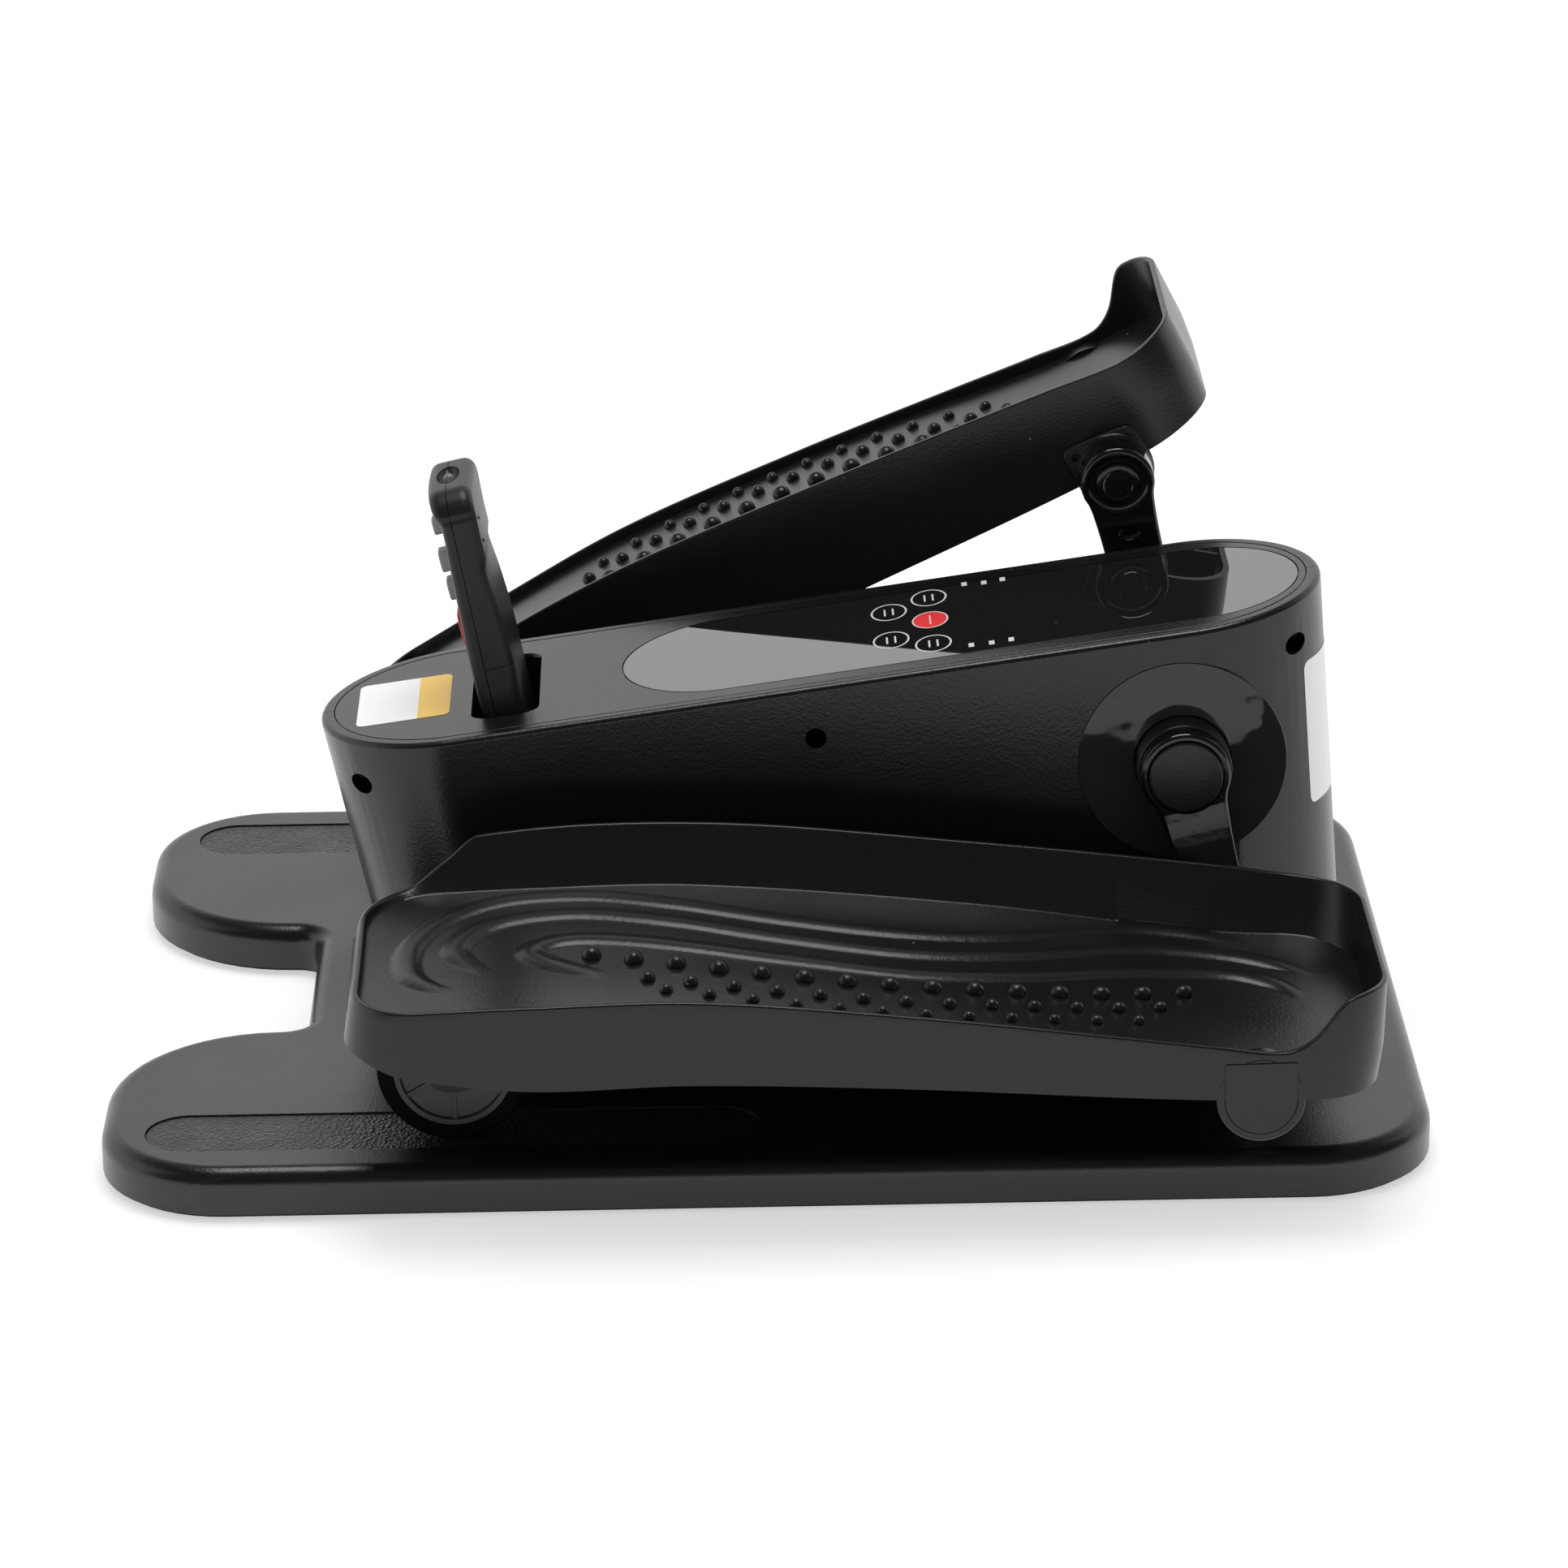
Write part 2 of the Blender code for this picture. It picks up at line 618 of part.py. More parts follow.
def build_sockets(shell, materials):
    """The power inlet and the rocker switch, each in its opening in the far shell."""
    jack = end_frame(JACK_ANGLE)
    switch = end_frame(SWITCH_ANGLE)
    along_x = Matrix.Rotation(math.radians(-90), 4, "Z")
    hole = moved(rod(JACK_RADIUS + GAP, -WALL * 2, WALL * 2, segments=SMALL_ROUND), matrix=jack @ along_x)
    half_w, half_h = SWITCH_WIDTH / 2, SWITCH_HEIGHT / 2
    slot = moved(
        block(-WALL * 3, WALL * 3, -half_w - GAP, half_w + GAP, -half_h - GAP, half_h + GAP), matrix=switch
    )
    combine(shell, join(hole, slot))
    barrel = turned([
        (JACK_RADIUS * 0.45, -WALL * 1.5), (JACK_RADIUS, -WALL * 1.5), (JACK_RADIUS, WALL * 0.6),
        (JACK_RADIUS + 0.002, WALL * 0.6), (JACK_RADIUS + 0.002, WALL), (JACK_RADIUS * 0.45, WALL),
    ], SMALL_ROUND, tube=True)
    add("power_jack", moved(barrel, matrix=along_x), materials["rubber"],
        location=jack.to_translation(), rotation=jack.to_euler())
    profile = [(-WALL * 2.4, -half_h), (WALL * 0.9, -half_h), (WALL * 0.15, 0.0), (WALL * 0.9, half_h), (-WALL * 2.4, half_h)]
    depth = WALL * 0.9
    rocker = prism([(x - depth, z * 0.93) for x, z in profile], -half_w * 0.93, half_w * 0.93, "Y")
    pressed = switch @ Matrix.Rotation(SWITCH_REST, 4, "Y")
    add("power_switch", rocker, materials["rubber"], location=switch.to_translation(), rotation=pressed.to_euler())


def sloped_plate(outline, top_depth, bottom_depth):
    """An outline in plan, laid on the housing's top plane between two depths under it."""
    rings = [[below_rim(x, y, depth) for x, y in outline] for depth in (bottom_depth, top_depth)]
    return stack(rings)


def remote_frame():
    """The remote's own frame: its z runs up along the remote, its origin is at the remote's foot."""
    foot = Vector((REMOTE_X, 0.0, REMOTE_Z))
    lean = Matrix.Rotation(-REMOTE_LEAN, 4, "Y")
    return Matrix.Translation(foot) @ lean @ Matrix.Translation((0, 0, -REMOTE_IN_POCKET))


def pocket_rings(wall, beyond):
    """The remote's pocket, grown by a wall: a foot that holds the remote, flaring to the slot in the cover."""
    def loop(half_l, half_w):
        corner = POCKET_CORNER + wall
        return rounded([
            (-half_l, -half_w, corner), (half_l, -half_w, corner), (half_l, half_w, corner), (-half_l, half_w, corner),
        ], 3)

    frame = remote_frame()
    foot = [
        frame @ Vector((x - REMOTE_CROWN / 2, y, -GAP - wall))
        for x, y in loop((REMOTE_THICKNESS + REMOTE_CROWN) / 2 + POCKET_PLAY + wall, REMOTE_WIDTH / 2 + POCKET_PLAY + wall)
    ]
    mouth = [below_rim(x + POCKET_X, y, beyond) for x, y in loop(POCKET_LENGTH / 2 + wall, POCKET_WIDTH / 2 + wall)]
    return [foot, mouth]


def build_top_cover(materials):
    radius_in = RIM_WIDTH + GAP
    outline = stadium(RIM_REAR_X + radius_in, RIM_FRONT_X - radius_in, HOUSING_WIDTH / 2 - radius_in, 2 * END_STEPS)
    cover = add("top_cover", sloped_plate(outline, 0.0, COVER_THICKNESS), materials["shell"])
    combine(cover, stack(pocket_rings(POCKET_WALL, COVER_THICKNESS / 2)), "UNION")
    posts = []
    for x in (LENS_REAR_X + 0.045, LENS_FRONT_X - 0.075):
        for y in (-LENS_WIDTH / 2 + 0.012, LENS_WIDTH / 2 - 0.012):
            post = [(x + px, y + py) for px, py in circle(POST_RADIUS, 8)]
            posts.append(sloped_plate(post, COVER_THICKNESS * 0.8, BOARD_DEPTH - GAP))
    combine(cover, join(*posts), "UNION")
    combine(cover, stack(pocket_rings(0.0, -WALL)))
    lens_seat = stadium(LENS_REAR_X - GAP, LENS_FRONT_X + GAP, LENS_WIDTH / 2 + GAP, 14)
    combine(cover, sloped_plate(lens_seat, -WALL, LENS_THICKNESS + GAP))
    lens = stadium(LENS_REAR_X, LENS_FRONT_X, LENS_WIDTH / 2, 14)
    add("display_lens", sloped_plate(lens, 0.0, LENS_THICKNESS), materials["gloss"])
    half_board = LENS_WIDTH / 2 - 0.005
    board = [
        (LENS_REAR_X + 0.030, -half_board), (LENS_FRONT_X - 0.030, -half_board),
        (LENS_FRONT_X - 0.030, half_board), (LENS_REAR_X + 0.030, half_board),
    ]
    add("display_board", sloped_plate(board, BOARD_DEPTH, BOARD_DEPTH + BOARD_THICKNESS), materials["board"])


def build_screws(materials):
    for name, (x, z) in SCREW_PLACES.items():
        seat = -SCREW_SEAT - GAP
        screw = turned([
            (SCREW_HEAD_RADIUS * 0.7, seat - SCREW_HEAD_HEIGHT), (SCREW_HEAD_RADIUS, seat - SCREW_HEAD_HEIGHT * 0.5),
            (SCREW_HEAD_RADIUS, seat), (SCREW_SHANK_RADIUS, seat), (SCREW_SHANK_RADIUS, seat + SCREW_LENGTH),
        ], 10)
        add(f"housing_screw_{name}", screw, materials["steel"], location=(x, 0.0, z))


def belt_loop(grow):
    """The line round both pulleys, in x and z from the crank axle."""
    big, small = PULLEY_RADIUS + grow, MOTOR_PULLEY_RADIUS + grow
    dx, dz = MOTOR_X - CRANK_X, MOTOR_Z - CRANK_Z
    span = math.hypot(dx, dz)
    heading = math.atan2(dz, dx)
    lap = math.acos((big - small) / span)
    loop = []
    for k in range(BELT_STEPS + 1):
        a = heading + lap + (2 * math.pi - 2 * lap) * k / BELT_STEPS
        loop.append((big * math.cos(a), big * math.sin(a)))
    for k in range(BELT_STEPS // 2 + 1):
        a = heading - lap + 2 * lap * k / (BELT_STEPS // 2)
        loop.append((dx + small * math.cos(a), dz + small * math.sin(a)))
    return loop


def build_drive(materials, crankset):
    low, high = PULLEY_Y - PULLEY_WIDTH / 2, PULLEY_Y + PULLEY_WIDTH / 2
    flange = 0.0012
    belt_room = (PULLEY_WIDTH - BELT_WIDTH) / 2 - GAP
    rim = PULLEY_RADIUS - 0.006
    web = PULLEY_WIDTH * 0.25
    half = [
        (rim, low), (PULLEY_RADIUS + flange, low), (PULLEY_RADIUS + flange, low + belt_room),
        (PULLEY_RADIUS, low + belt_room),
    ]
    other_half = [(radius, 2 * PULLEY_Y - y) for radius, y in reversed(half)]
    hub = AXLE_RADIUS + 0.007
    pulley = turned([
        (AXLE_RADIUS + GAP, low), (hub, low), (hub, PULLEY_Y - web), (rim, PULLEY_Y - web), *half, *other_half,
        (hub, high), (AXLE_RADIUS + GAP, high),
    ], HIDDEN_ROUND, tube=True)
    add("drive_pulley", pulley, materials["rubber"], crankset)
    inner, outer = belt_loop(GAP), belt_loop(GAP + BELT_THICKNESS)
    y0, y1 = PULLEY_Y - BELT_WIDTH / 2, PULLEY_Y + BELT_WIDTH / 2
    rings = [
        [(x, y0, z) for x, z in inner], [(x, y0, z) for x, z in outer],
        [(x, y1, z) for x, z in outer], [(x, y1, z) for x, z in inner],
    ]
    add("drive_belt", stack(rings, closed=True), materials["rubber"], location=(CRANK_X, 0.0, CRANK_Z))
    small = tube(MOTOR_SHAFT_RADIUS + GAP, MOTOR_PULLEY_RADIUS, low, high, segments=HIDDEN_ROUND)
    add("motor_pulley", small, materials["steel"], location=(MOTOR_X, 0.0, MOTOR_Z))
    front = low - 0.0080
    motor = turned([
        (MOTOR_RADIUS * 0.55, front - MOTOR_LENGTH - 0.006), (MOTOR_RADIUS * 0.6, front - MOTOR_LENGTH),
        (MOTOR_RADIUS, front - MOTOR_LENGTH), (MOTOR_RADIUS, front), (MOTOR_SHAFT_RADIUS * 2, front),
        (MOTOR_SHAFT_RADIUS * 2, front + 0.001), (MOTOR_SHAFT_RADIUS, front + 0.001), (MOTOR_SHAFT_RADIUS, high),
    ], HIDDEN_ROUND)
    add("gear_motor", motor, materials["steel"], location=(MOTOR_X, 0.0, MOTOR_Z))
    build_frame(materials, front)
    board_z = BASE_TOP + CONTROL_BOARD_LIFT
    board_x, board_y = CONTROL_BOARD_REAR_X + CONTROL_BOARD_LENGTH, CONTROL_BOARD_WIDTH / 2
    board = block(CONTROL_BOARD_REAR_X, board_x, -board_y, board_y, board_z, board_z + BOARD_THICKNESS)
    add("control_board", board, materials["board"])
    posts = []
    for x in (CONTROL_BOARD_REAR_X + POST_FROM_EDGE, board_x - POST_FROM_EDGE):
        for y in (POST_FROM_EDGE - board_y, board_y - POST_FROM_EDGE):
            post = circle(POST_RADIUS, 8, (x, y))
            posts.append(prism(post, BASE_TOP - WALL / 2, board_z - GAP))
    combine(bpy.data.objects["base_tray"], join(*posts), "UNION")


def build_frame(materials, motor_front):
    """Two bearing cheeks and a motor plate standing on one sheet, all one welded piece."""
    floor = BASE_TOP + 2 * GAP
    floor_top = floor + FRAME_SHEET
    half = FRAME_HALF_WIDTH
    rear, front = MOTOR_X - MOTOR_RADIUS - 0.008, CRANK_X + 0.030
    frame = add("drive_frame", block(rear, front, -half, half, floor, floor_top), materials["steel"])
    seat = BEARING_RADIUS + 0.008
    cheek = rounded([
        (CRANK_X - 0.055, floor_top - FRAME_SHEET / 2, 0.002), (front, floor_top - FRAME_SHEET / 2, 0.002),
        (CRANK_X + seat, CRANK_Z + seat, seat * 0.9), (CRANK_X - seat, CRANK_Z + seat, seat * 0.9),
    ], 5)
    cheeks = [prism(cheek, min(s * half, s * (half - FRAME_SHEET)), max(s * half, s * (half - FRAME_SHEET)), "Y")
              for s in SIDES.values()]
    mount_top = MOTOR_Z + MOTOR_RADIUS + 0.006
    mount = block(rear, MOTOR_X + MOTOR_RADIUS + 0.008, motor_front + GAP, motor_front + GAP + FRAME_SHEET,
                  floor_top - FRAME_SHEET / 2, mount_top)
    combine(frame, join(*cheeks, mount), "UNION")
    bearing_bore = moved(rod(BEARING_RADIUS + GAP, -half * 1.2, half * 1.2, segments=HIDDEN_ROUND), (CRANK_X, 0, CRANK_Z))
    shaft_hole = moved(rod(MOTOR_SHAFT_RADIUS * 2 + 0.001, -half * 1.2, half * 1.2, segments=HIDDEN_ROUND), (MOTOR_X, 0, MOTOR_Z))
    combine(frame, join(bearing_bore, shaft_hole))


def arm_half_width(s):
    """Half the crank arm's width at s along it, from the axle to the pin: two round ends and a waist."""
    middle = CRANK_RADIUS * 0.56
    spread = (HUB_RADIUS - ARM_WAIST) * 0.62 / middle**2
    waist = ARM_WAIST + spread * (s - middle) ** 2 if 0 <= s <= CRANK_RADIUS else 0.0
    hub = math.sqrt(max(HUB_RADIUS**2 - s**2, 0.0))
    boss = math.sqrt(max(PIN_BOSS_RADIUS**2 - (s - CRANK_RADIUS) ** 2, 0.0))
    return max(waist, hub, boss)


def arm_faces(s):
    """The inner and outer faces of the crank arm at s: it steps outwards between hub and pin."""
    t = smooth((s - HUB_RADIUS * 0.7) / (CRANK_RADIUS - HUB_RADIUS * 0.7 - PIN_BOSS_RADIUS * 0.8))
    inner_hub = SLEEVE_END + GAP
    thin = 0.0016 * math.sin(math.pi * t)
    return (
        inner_hub + (PIN_BOSS_IN - inner_hub) * t + thin,
        HUB_FACE + (PIN_BOSS_OUT - HUB_FACE) * t - thin,
    )


def build_crank_arm(name, side, materials, crankset):
    ends = 4
    stations = [-HUB_RADIUS * math.cos(math.radians(8 + 82 * k / ends)) for k in range(ends + 1)]
    stations += [CRANK_RADIUS * k / 9 for k in range(1, 10)]
    stations += [CRANK_RADIUS + PIN_BOSS_RADIUS * math.sin(math.radians(82 * k / ends)) for k in range(1, ends + 1)]
    rings = []
    for s in stations:
        half = arm_half_width(s)
        inner, outer = arm_faces(s)
        edge = min(ARM_EDGE, half * 0.6)
        section = [
            (-half, inner + edge), (-half + edge, inner), (half - edge, inner), (half, inner + edge),
            (half, outer - edge), (half - edge, outer), (-half + edge, outer), (-half, outer - edge),
        ]
        rings.append([(x, side * y, side * s) for x, y in section])
    arm = add(f"crank_arm_{name}", stack(rings), materials["paint"], crankset)
    bore = [
        (AXLE_RADIUS + GAP, SLEEVE_END - WALL), (AXLE_RADIUS + GAP, HUB_FACE - CAP_SINK - GAP),
        (CAP_RADIUS + GAP, HUB_FACE - CAP_SINK - GAP), (CAP_RADIUS + GAP, HUB_FACE + WALL),
    ]
    combine(arm, turned([(r, side * y) for r, y in bore]))
    pin_bore = rod(SPINDLE_HEAD_RADIUS + GAP, *sorted((side * (PIN_BOSS_IN - WALL), side * (PIN_BOSS_OUT + WALL))))
    combine(arm, pin_bore, location=(0, 0, side * CRANK_RADIUS))
    face = HUB_FACE + CAP_PROUD
    cap = [
        (CAP_RADIUS, HUB_FACE - CAP_SINK), (CAP_RADIUS, face - 0.0008),
        (CAP_RADIUS - 0.0003, face - 0.0003), (CAP_RADIUS - 0.0010, face),
    ]
    add(f"crank_cap_{name}", turned([(r, side * y) for r, y in cap]), materials["shell"], crankset)
    spindle_start = PIN_BOSS_IN - SPINDLE_PROUD
    spindle = [
        (SPINDLE_HEAD_RADIUS - 0.0008, spindle_start), (SPINDLE_HEAD_RADIUS, spindle_start + 0.0008),
        (SPINDLE_HEAD_RADIUS, PIN_BOSS_OUT - GAP), (SPINDLE_RADIUS, PIN_BOSS_OUT - GAP),
        (SPINDLE_RADIUS, TRAY_OUTER - D_COVER_THICKNESS - 2 * GAP - 0.0012),
    ]
    add(f"pedal_spindle_{name}", turned([(r, side * y) for r, y in spindle]), materials["paint"], crankset,
        location=(0, 0, side * CRANK_RADIUS))


def build_crankset(materials):
    crankset = pivot("crank_turn", (CRANK_X, 0.0, CRANK_Z), (0.0, -CRANK_PHASE, 0.0))
    axle_end = HUB_FACE - CAP_SINK - 2 * GAP
    add("crank_axle", rod(AXLE_RADIUS, -axle_end, axle_end, segments=HIDDEN_ROUND), materials["steel"], crankset)
    for name, side in SIDES.items():
        build_crank_arm(name, side, materials, crankset)
        inner_end = FRAME_HALF_WIDTH + BEARING_WIDTH / 2
        sleeve = [
            (AXLE_RADIUS + GAP, inner_end + GAP), (SLEEVE_RADIUS, inner_end + GAP), (SLEEVE_RADIUS, SLEEVE_END),
            (AXLE_RADIUS + GAP, SLEEVE_END),
        ]
        add(f"hub_sleeve_{name}", turned([(r, side * y) for r, y in sleeve], tube=True), materials["shell"], crankset)
        centre = FRAME_HALF_WIDTH - FRAME_SHEET / 2
        ends = (centre - BEARING_WIDTH / 2, centre + BEARING_WIDTH / 2)
        race = tube(AXLE_RADIUS + GAP, BEARING_RADIUS, *ends, segments=HIDDEN_ROUND)
        race_near = moved(race, matrix=Matrix.Scale(side, 4, (0, 1, 0)))
        add(f"bearing_{name}", race_near, materials["steel"], location=(CRANK_X, 0.0, CRANK_Z))
        face = HOUSING_WIDTH / 2
        disc = tube(SLEEVE_RADIUS + RUNNING_GAP, DISC_RADIUS, face - DISC_THICKNESS, face, segments=WIDE_ROUND)
        disc_near = moved(disc, matrix=Matrix.Scale(side, 4, (0, 1, 0)))
        add(f"side_disc_{name}", disc_near, materials["gloss"], location=(CRANK_X, 0.0, CRANK_Z))
    return crankset


def tray_edge(side_v, inward, heel_corner, toe_corner, inset):
    """Points (u, v) along one long side of the tray, from the middle of the heel to the middle of the toe."""
    v_line = side_v + inward * inset
    points = []
    for k in range(TRAY_CORNER_STEPS + 1):
        a = math.radians(90 * k / TRAY_CORNER_STEPS)
        reach = heel_corner - inset
        points.append((TRAY_HEEL + heel_corner - reach * math.cos(a), v_line + inward * reach * (1 - math.sin(a))))
    start, end = TRAY_HEEL + heel_corner, TRAY_TOE - toe_corner
    for k in range(1, SIDE_STEPS):
        points.append((start + (end - start) * k / SIDE_STEPS, v_line))
    for k in range(TRAY_CORNER_STEPS + 1):
        a = math.radians(90 * k / TRAY_CORNER_STEPS)
        reach = toe_corner - inset
        points.append((TRAY_TOE - toe_corner + reach * math.sin(a), v_line + inward * reach * (1 - math.cos(a))))
    return points


def end_lean(u, share):
    """u on a wall, moved for the lean of the tray's two ends; share runs from 0 at the skirt to 1 at the rim."""
    at_heel = 1.0 - smooth((u - TRAY_HEEL) / END_LEAN_REACH)
    at_toe = smooth((u - TRAY_TOE + END_LEAN_REACH) / END_LEAN_REACH)
    return u + HEEL_LEAN * share * at_heel - TOE_LEAN * (1.0 - share) * at_toe


def ridge_mesh(line, side):
    """One ridge of a tray's floor: a low rib with sloping sides that sinks into the floor at both ends."""
    rings = []
    last = len(line) - 1
    for k, (u, v) in enumerate(line):
        ahead = Vector(line[min(k + 1, last)]) - Vector(line[max(k - 1, 0)])
        across = Vector((-ahead.y, ahead.x)).normalized() * RIDGE_HALF_WIDTH
        rise = RIDGE_HEIGHT * smooth((min(k, last - k) + 0.3) / 2)
        ring = []
        for share, height in ((-1.0, -RELIEF_ROOT), (-RIDGE_CREST, rise), (RIDGE_CREST, rise), (1.0, -RELIEF_ROOT)):
            point_u = u + across.x * share
            ring.append((point_u, side * (v + across.y * share), curve(FLOOR_TOP, point_u) + height))
        rings.append(ring)
    return stack(rings)


def nub_mesh(u, v, radius, height, side):
    """One blunt nub standing on a tray's floor."""
    ground = curve(FLOOR_TOP, u)
    foot = [(x, y, ground - RELIEF_ROOT) for x, y in circle(radius, NUB_SIDES, (u, side * v))]
    crown = [(x, y, ground + height) for x, y in circle(radius * NUB_CROWN, 3, (u, side * v))]
    mesh = bmesh.new()
    for point in foot + crown:
        mesh.verts.new(point)
    bmesh.ops.convex_hull(mesh, input=mesh.verts)
    return mesh


def build_tray_shell(name, side, materials, parent):
    inner_outer = [
        (
            tray_edge(TRAY_INNER, 1, HEEL_INNER_CORNER, TOE_INNER_CORNER, inset),
            tray_edge(TRAY_OUTER, -1, HEEL_OUTER_CORNER, TOE_OUTER_CORNER, inset),
        )
        for inset in (0.0, TRAY_WALL)
    ]

    def ring(edges, heights, share):
        inner_line, outer_line = edges
        loop = [(u, v, h) for (u, v), h in zip(inner_line, heights[0])]
        loop += [(u, v, h) for (u, v), h in zip(reversed(outer_line), reversed(heights[1]))]
        return [(end_lean(u, share), side * v, w) for u, v, w in loop]

    def heights(edges, inner_curve, outer_curve):
        return [[curve(inner_curve, u) for u, _ in edges[0]], [curve(outer_curve, u) for u, _ in edges[1]]]

    def leaned(edges, shift):
        """The edges with the inner wall's line moved away from the housing, by more where the wall is taller."""
        line = []
        for u, v in edges[0]:
            tall = (curve(INNER_WALL_TOP, u) - curve(FLOOR_TOP, u)) / INNER_WALL_HEIGHT
            fade = 1.0 - smooth((u - TRAY_TOE + TOE_INNER_CORNER) / TOE_INNER_CORNER)
            line.append((u, v + shift * tall * fade))
        return line, edges[1]

    outside, inside = inner_outer
    top = heights(outside, INNER_WALL_TOP, OUTER_RIM_TOP)
    half_way = [(curve(SKIRT_LOW, u) + curve(OUTER_RIM_TOP, u)) / 2 for u, _ in outside[1]]
    rings = [
        ring(outside, heights(outside, SKIRT_LOW, SKIRT_LOW), 0.0),
        ring(outside, [heights(outside, FLOOR_TOP, FLOOR_TOP)[0], half_way], 0.5),
        ring(leaned(outside, -INNER_WALL_LEAN), top, 1.0),
        ring(leaned(inside, -INNER_WALL_LEAN), top, 1.0),
        ring(leaned(inside, INNER_WALL_LEAN), heights(inside, FLOOR_TOP, FLOOR_TOP), 0.6),
    ]
    mesh = bmesh.new()
    rows = [[mesh.verts.new(point) for point in points] for points in rings]
    count = len(rows[0])
    for lower, upper in zip(rows, rows[1:]):
        for i in range(count):
            j = (i + 1) % count
            mesh.faces.new((lower[i], lower[j], upper[j], upper[i]))
    for row in (rows[0], rows[-1]):
        for i in range(count // 2 - 1):
            mesh.faces.new((row[i], row[i + 1], row[count - 2 - i], row[count - 1 - i]))
    tray = add(f"pedal_tray_{name}", mesh, materials["shell"], parent)

    relief = [ridge_mesh(line, side) for line in RIDGES]
    for count, radius, height, first, last, bow in NUB_ROWS:
        for k in range(count):
            share = k / (count - 1)
            u, v = Vector(first).lerp(Vector(last), share)
            relief.append(nub_mesh(u, v + 4 * bow * share * (1 - share), radius, height, side))
    combine(tray, join(*relief), "UNION")

    cells = []
    u_start, u_end = -PIVOT_TO_ROLLER + ROLLER_RADIUS + 0.012, TRAY_TOE - TRAY_WALL - 0.008
    v_start, v_end = TRAY_INNER + TRAY_WALL, TRAY_OUTER - TRAY_WALL
    for i in range(POCKET_COLUMNS):
        u0 = u_start + (u_end - u_start) * i / POCKET_COLUMNS + RIB / 2
        u1 = u_start + (u_end - u_start) * (i + 1) / POCKET_COLUMNS - RIB / 2
        roof = min(curve(FLOOR_TOP, u0), curve(FLOOR_TOP, u1)) - TRAY_WALL
        corner_room = max(0.0, u1 - (TRAY_TOE - TOE_INNER_CORNER)) * 0.45
        for j in range(POCKET_ROWS):
            v0 = v_start + (v_end - v_start) * j / POCKET_ROWS + RIB / 2
            v1 = v_start + (v_end - v_start) * (j + 1) / POCKET_ROWS - RIB / 2
            if j == 0:
                v0 += corner_room
            if j == POCKET_ROWS - 1:
                v1 -= corner_room
            low, high = sorted((side * v0, side * v1))
            cells.append(block(u0, u1, low, high, -0.05, roof))
    well_half = ROLLER_WIDTH / 2 + FORK_SHEET + 0.006
    low, high = sorted((side * (ROLLER_CENTRE - well_half), side * (ROLLER_CENTRE + well_half)))
    well_u0, well_u1 = -PIVOT_TO_ROLLER - ROLLER_RADIUS - 0.003, u_start - RIB / 2
    well_roof = min(curve(FLOOR_TOP, well_u0), curve(FLOOR_TOP, well_u1)) - TRAY_WALL
    cells.append(block(well_u0, well_u1, low, high, -0.05, well_roof))
    combine(tray, join(*cells))

    boss_face = TRAY_OUTER + GAP
    span = sorted((side * (TRAY_OUTER - OUTER_BOSS_DEPTH), side * boss_face))
    combine(tray, rod(OUTER_BOSS_RADIUS, *span), "UNION")
    reach = sorted((side * (TRAY_INNER - WALL), side * (TRAY_OUTER - D_COVER_THICKNESS - 0.0006)))
    combine(tray, rod(SPINDLE_RADIUS + GAP, *reach, segments=16))
    seat = sorted((side * (boss_face - D_COVER_THICKNESS - GAP), side * (boss_face + WALL)))
    combine(tray, prism(d_outline(GAP), *seat, "Y"))
    return tray, well_roof


def d_outline(grow):
    """The spindle cover's outline: a half circle below, straight sides and a flat top."""
    half = COVER_HALF_WIDTH + grow
    below = [(half * math.cos(a), half * math.sin(a)) for a in (math.pi + math.pi * k / 12 for k in range(13))]
    return below + [(half, COVER_FLAT + grow), (-half, COVER_FLAT + grow)]


def build_bracket(name, side, materials, parent):
    turn = Matrix.Rotation(BRACKET_TILT, 2)
    ears = []
    for u in (-BRACKET_EAR_U, BRACKET_EAR_U):
        ears.append(Vector((BRACKET_EAR_SHIFT + u, BRACKET_EAR_W)))
    radius = BRACKET_COLLAR + 0.001
    outline = []
    for centre, start, end, r, steps in (
        (Vector((0, 0)), 190, 350, radius, 10),
        (ears[1], 0, 90, BRACKET_EAR_RADIUS, 4),
        (ears[0], 90, 180, BRACKET_EAR_RADIUS, 4),
    ):
        for k in range(steps + 1):
            a = math.radians(start + (end - start) * k / steps)
            outline.append(centre + r * Vector((math.cos(a), math.sin(a))))
    outline = [tuple(turn @ point) for point in outline]
    outer = TRAY_INNER - GAP
    inner = outer - BRACKET_SHEET
    plate = prism(outline, *sorted((side * inner, side * outer)), "Y")
    bracket = add(f"spindle_bracket_{name}", plate, materials["shell"], parent)
    collar_end = PIN_BOSS_OUT + RUNNING_GAP
    combine(bracket, rod(BRACKET_COLLAR, *sorted((side * collar_end, side * (outer - BRACKET_SHEET / 2)))), "UNION")
    holes = [rod(SPINDLE_RADIUS + GAP, *sorted((side * (collar_end - WALL), side * (outer + WALL))), segments=20)]
    for ear in ears:
        u, w = turn @ ear
        hole = rod(BRACKET_HOLE_RADIUS, *sorted((side * (inner - WALL), side * (outer + WALL))), segments=10)
        holes.append(moved(hole, (u, 0, w)))
    combine(bracket, join(*holes))


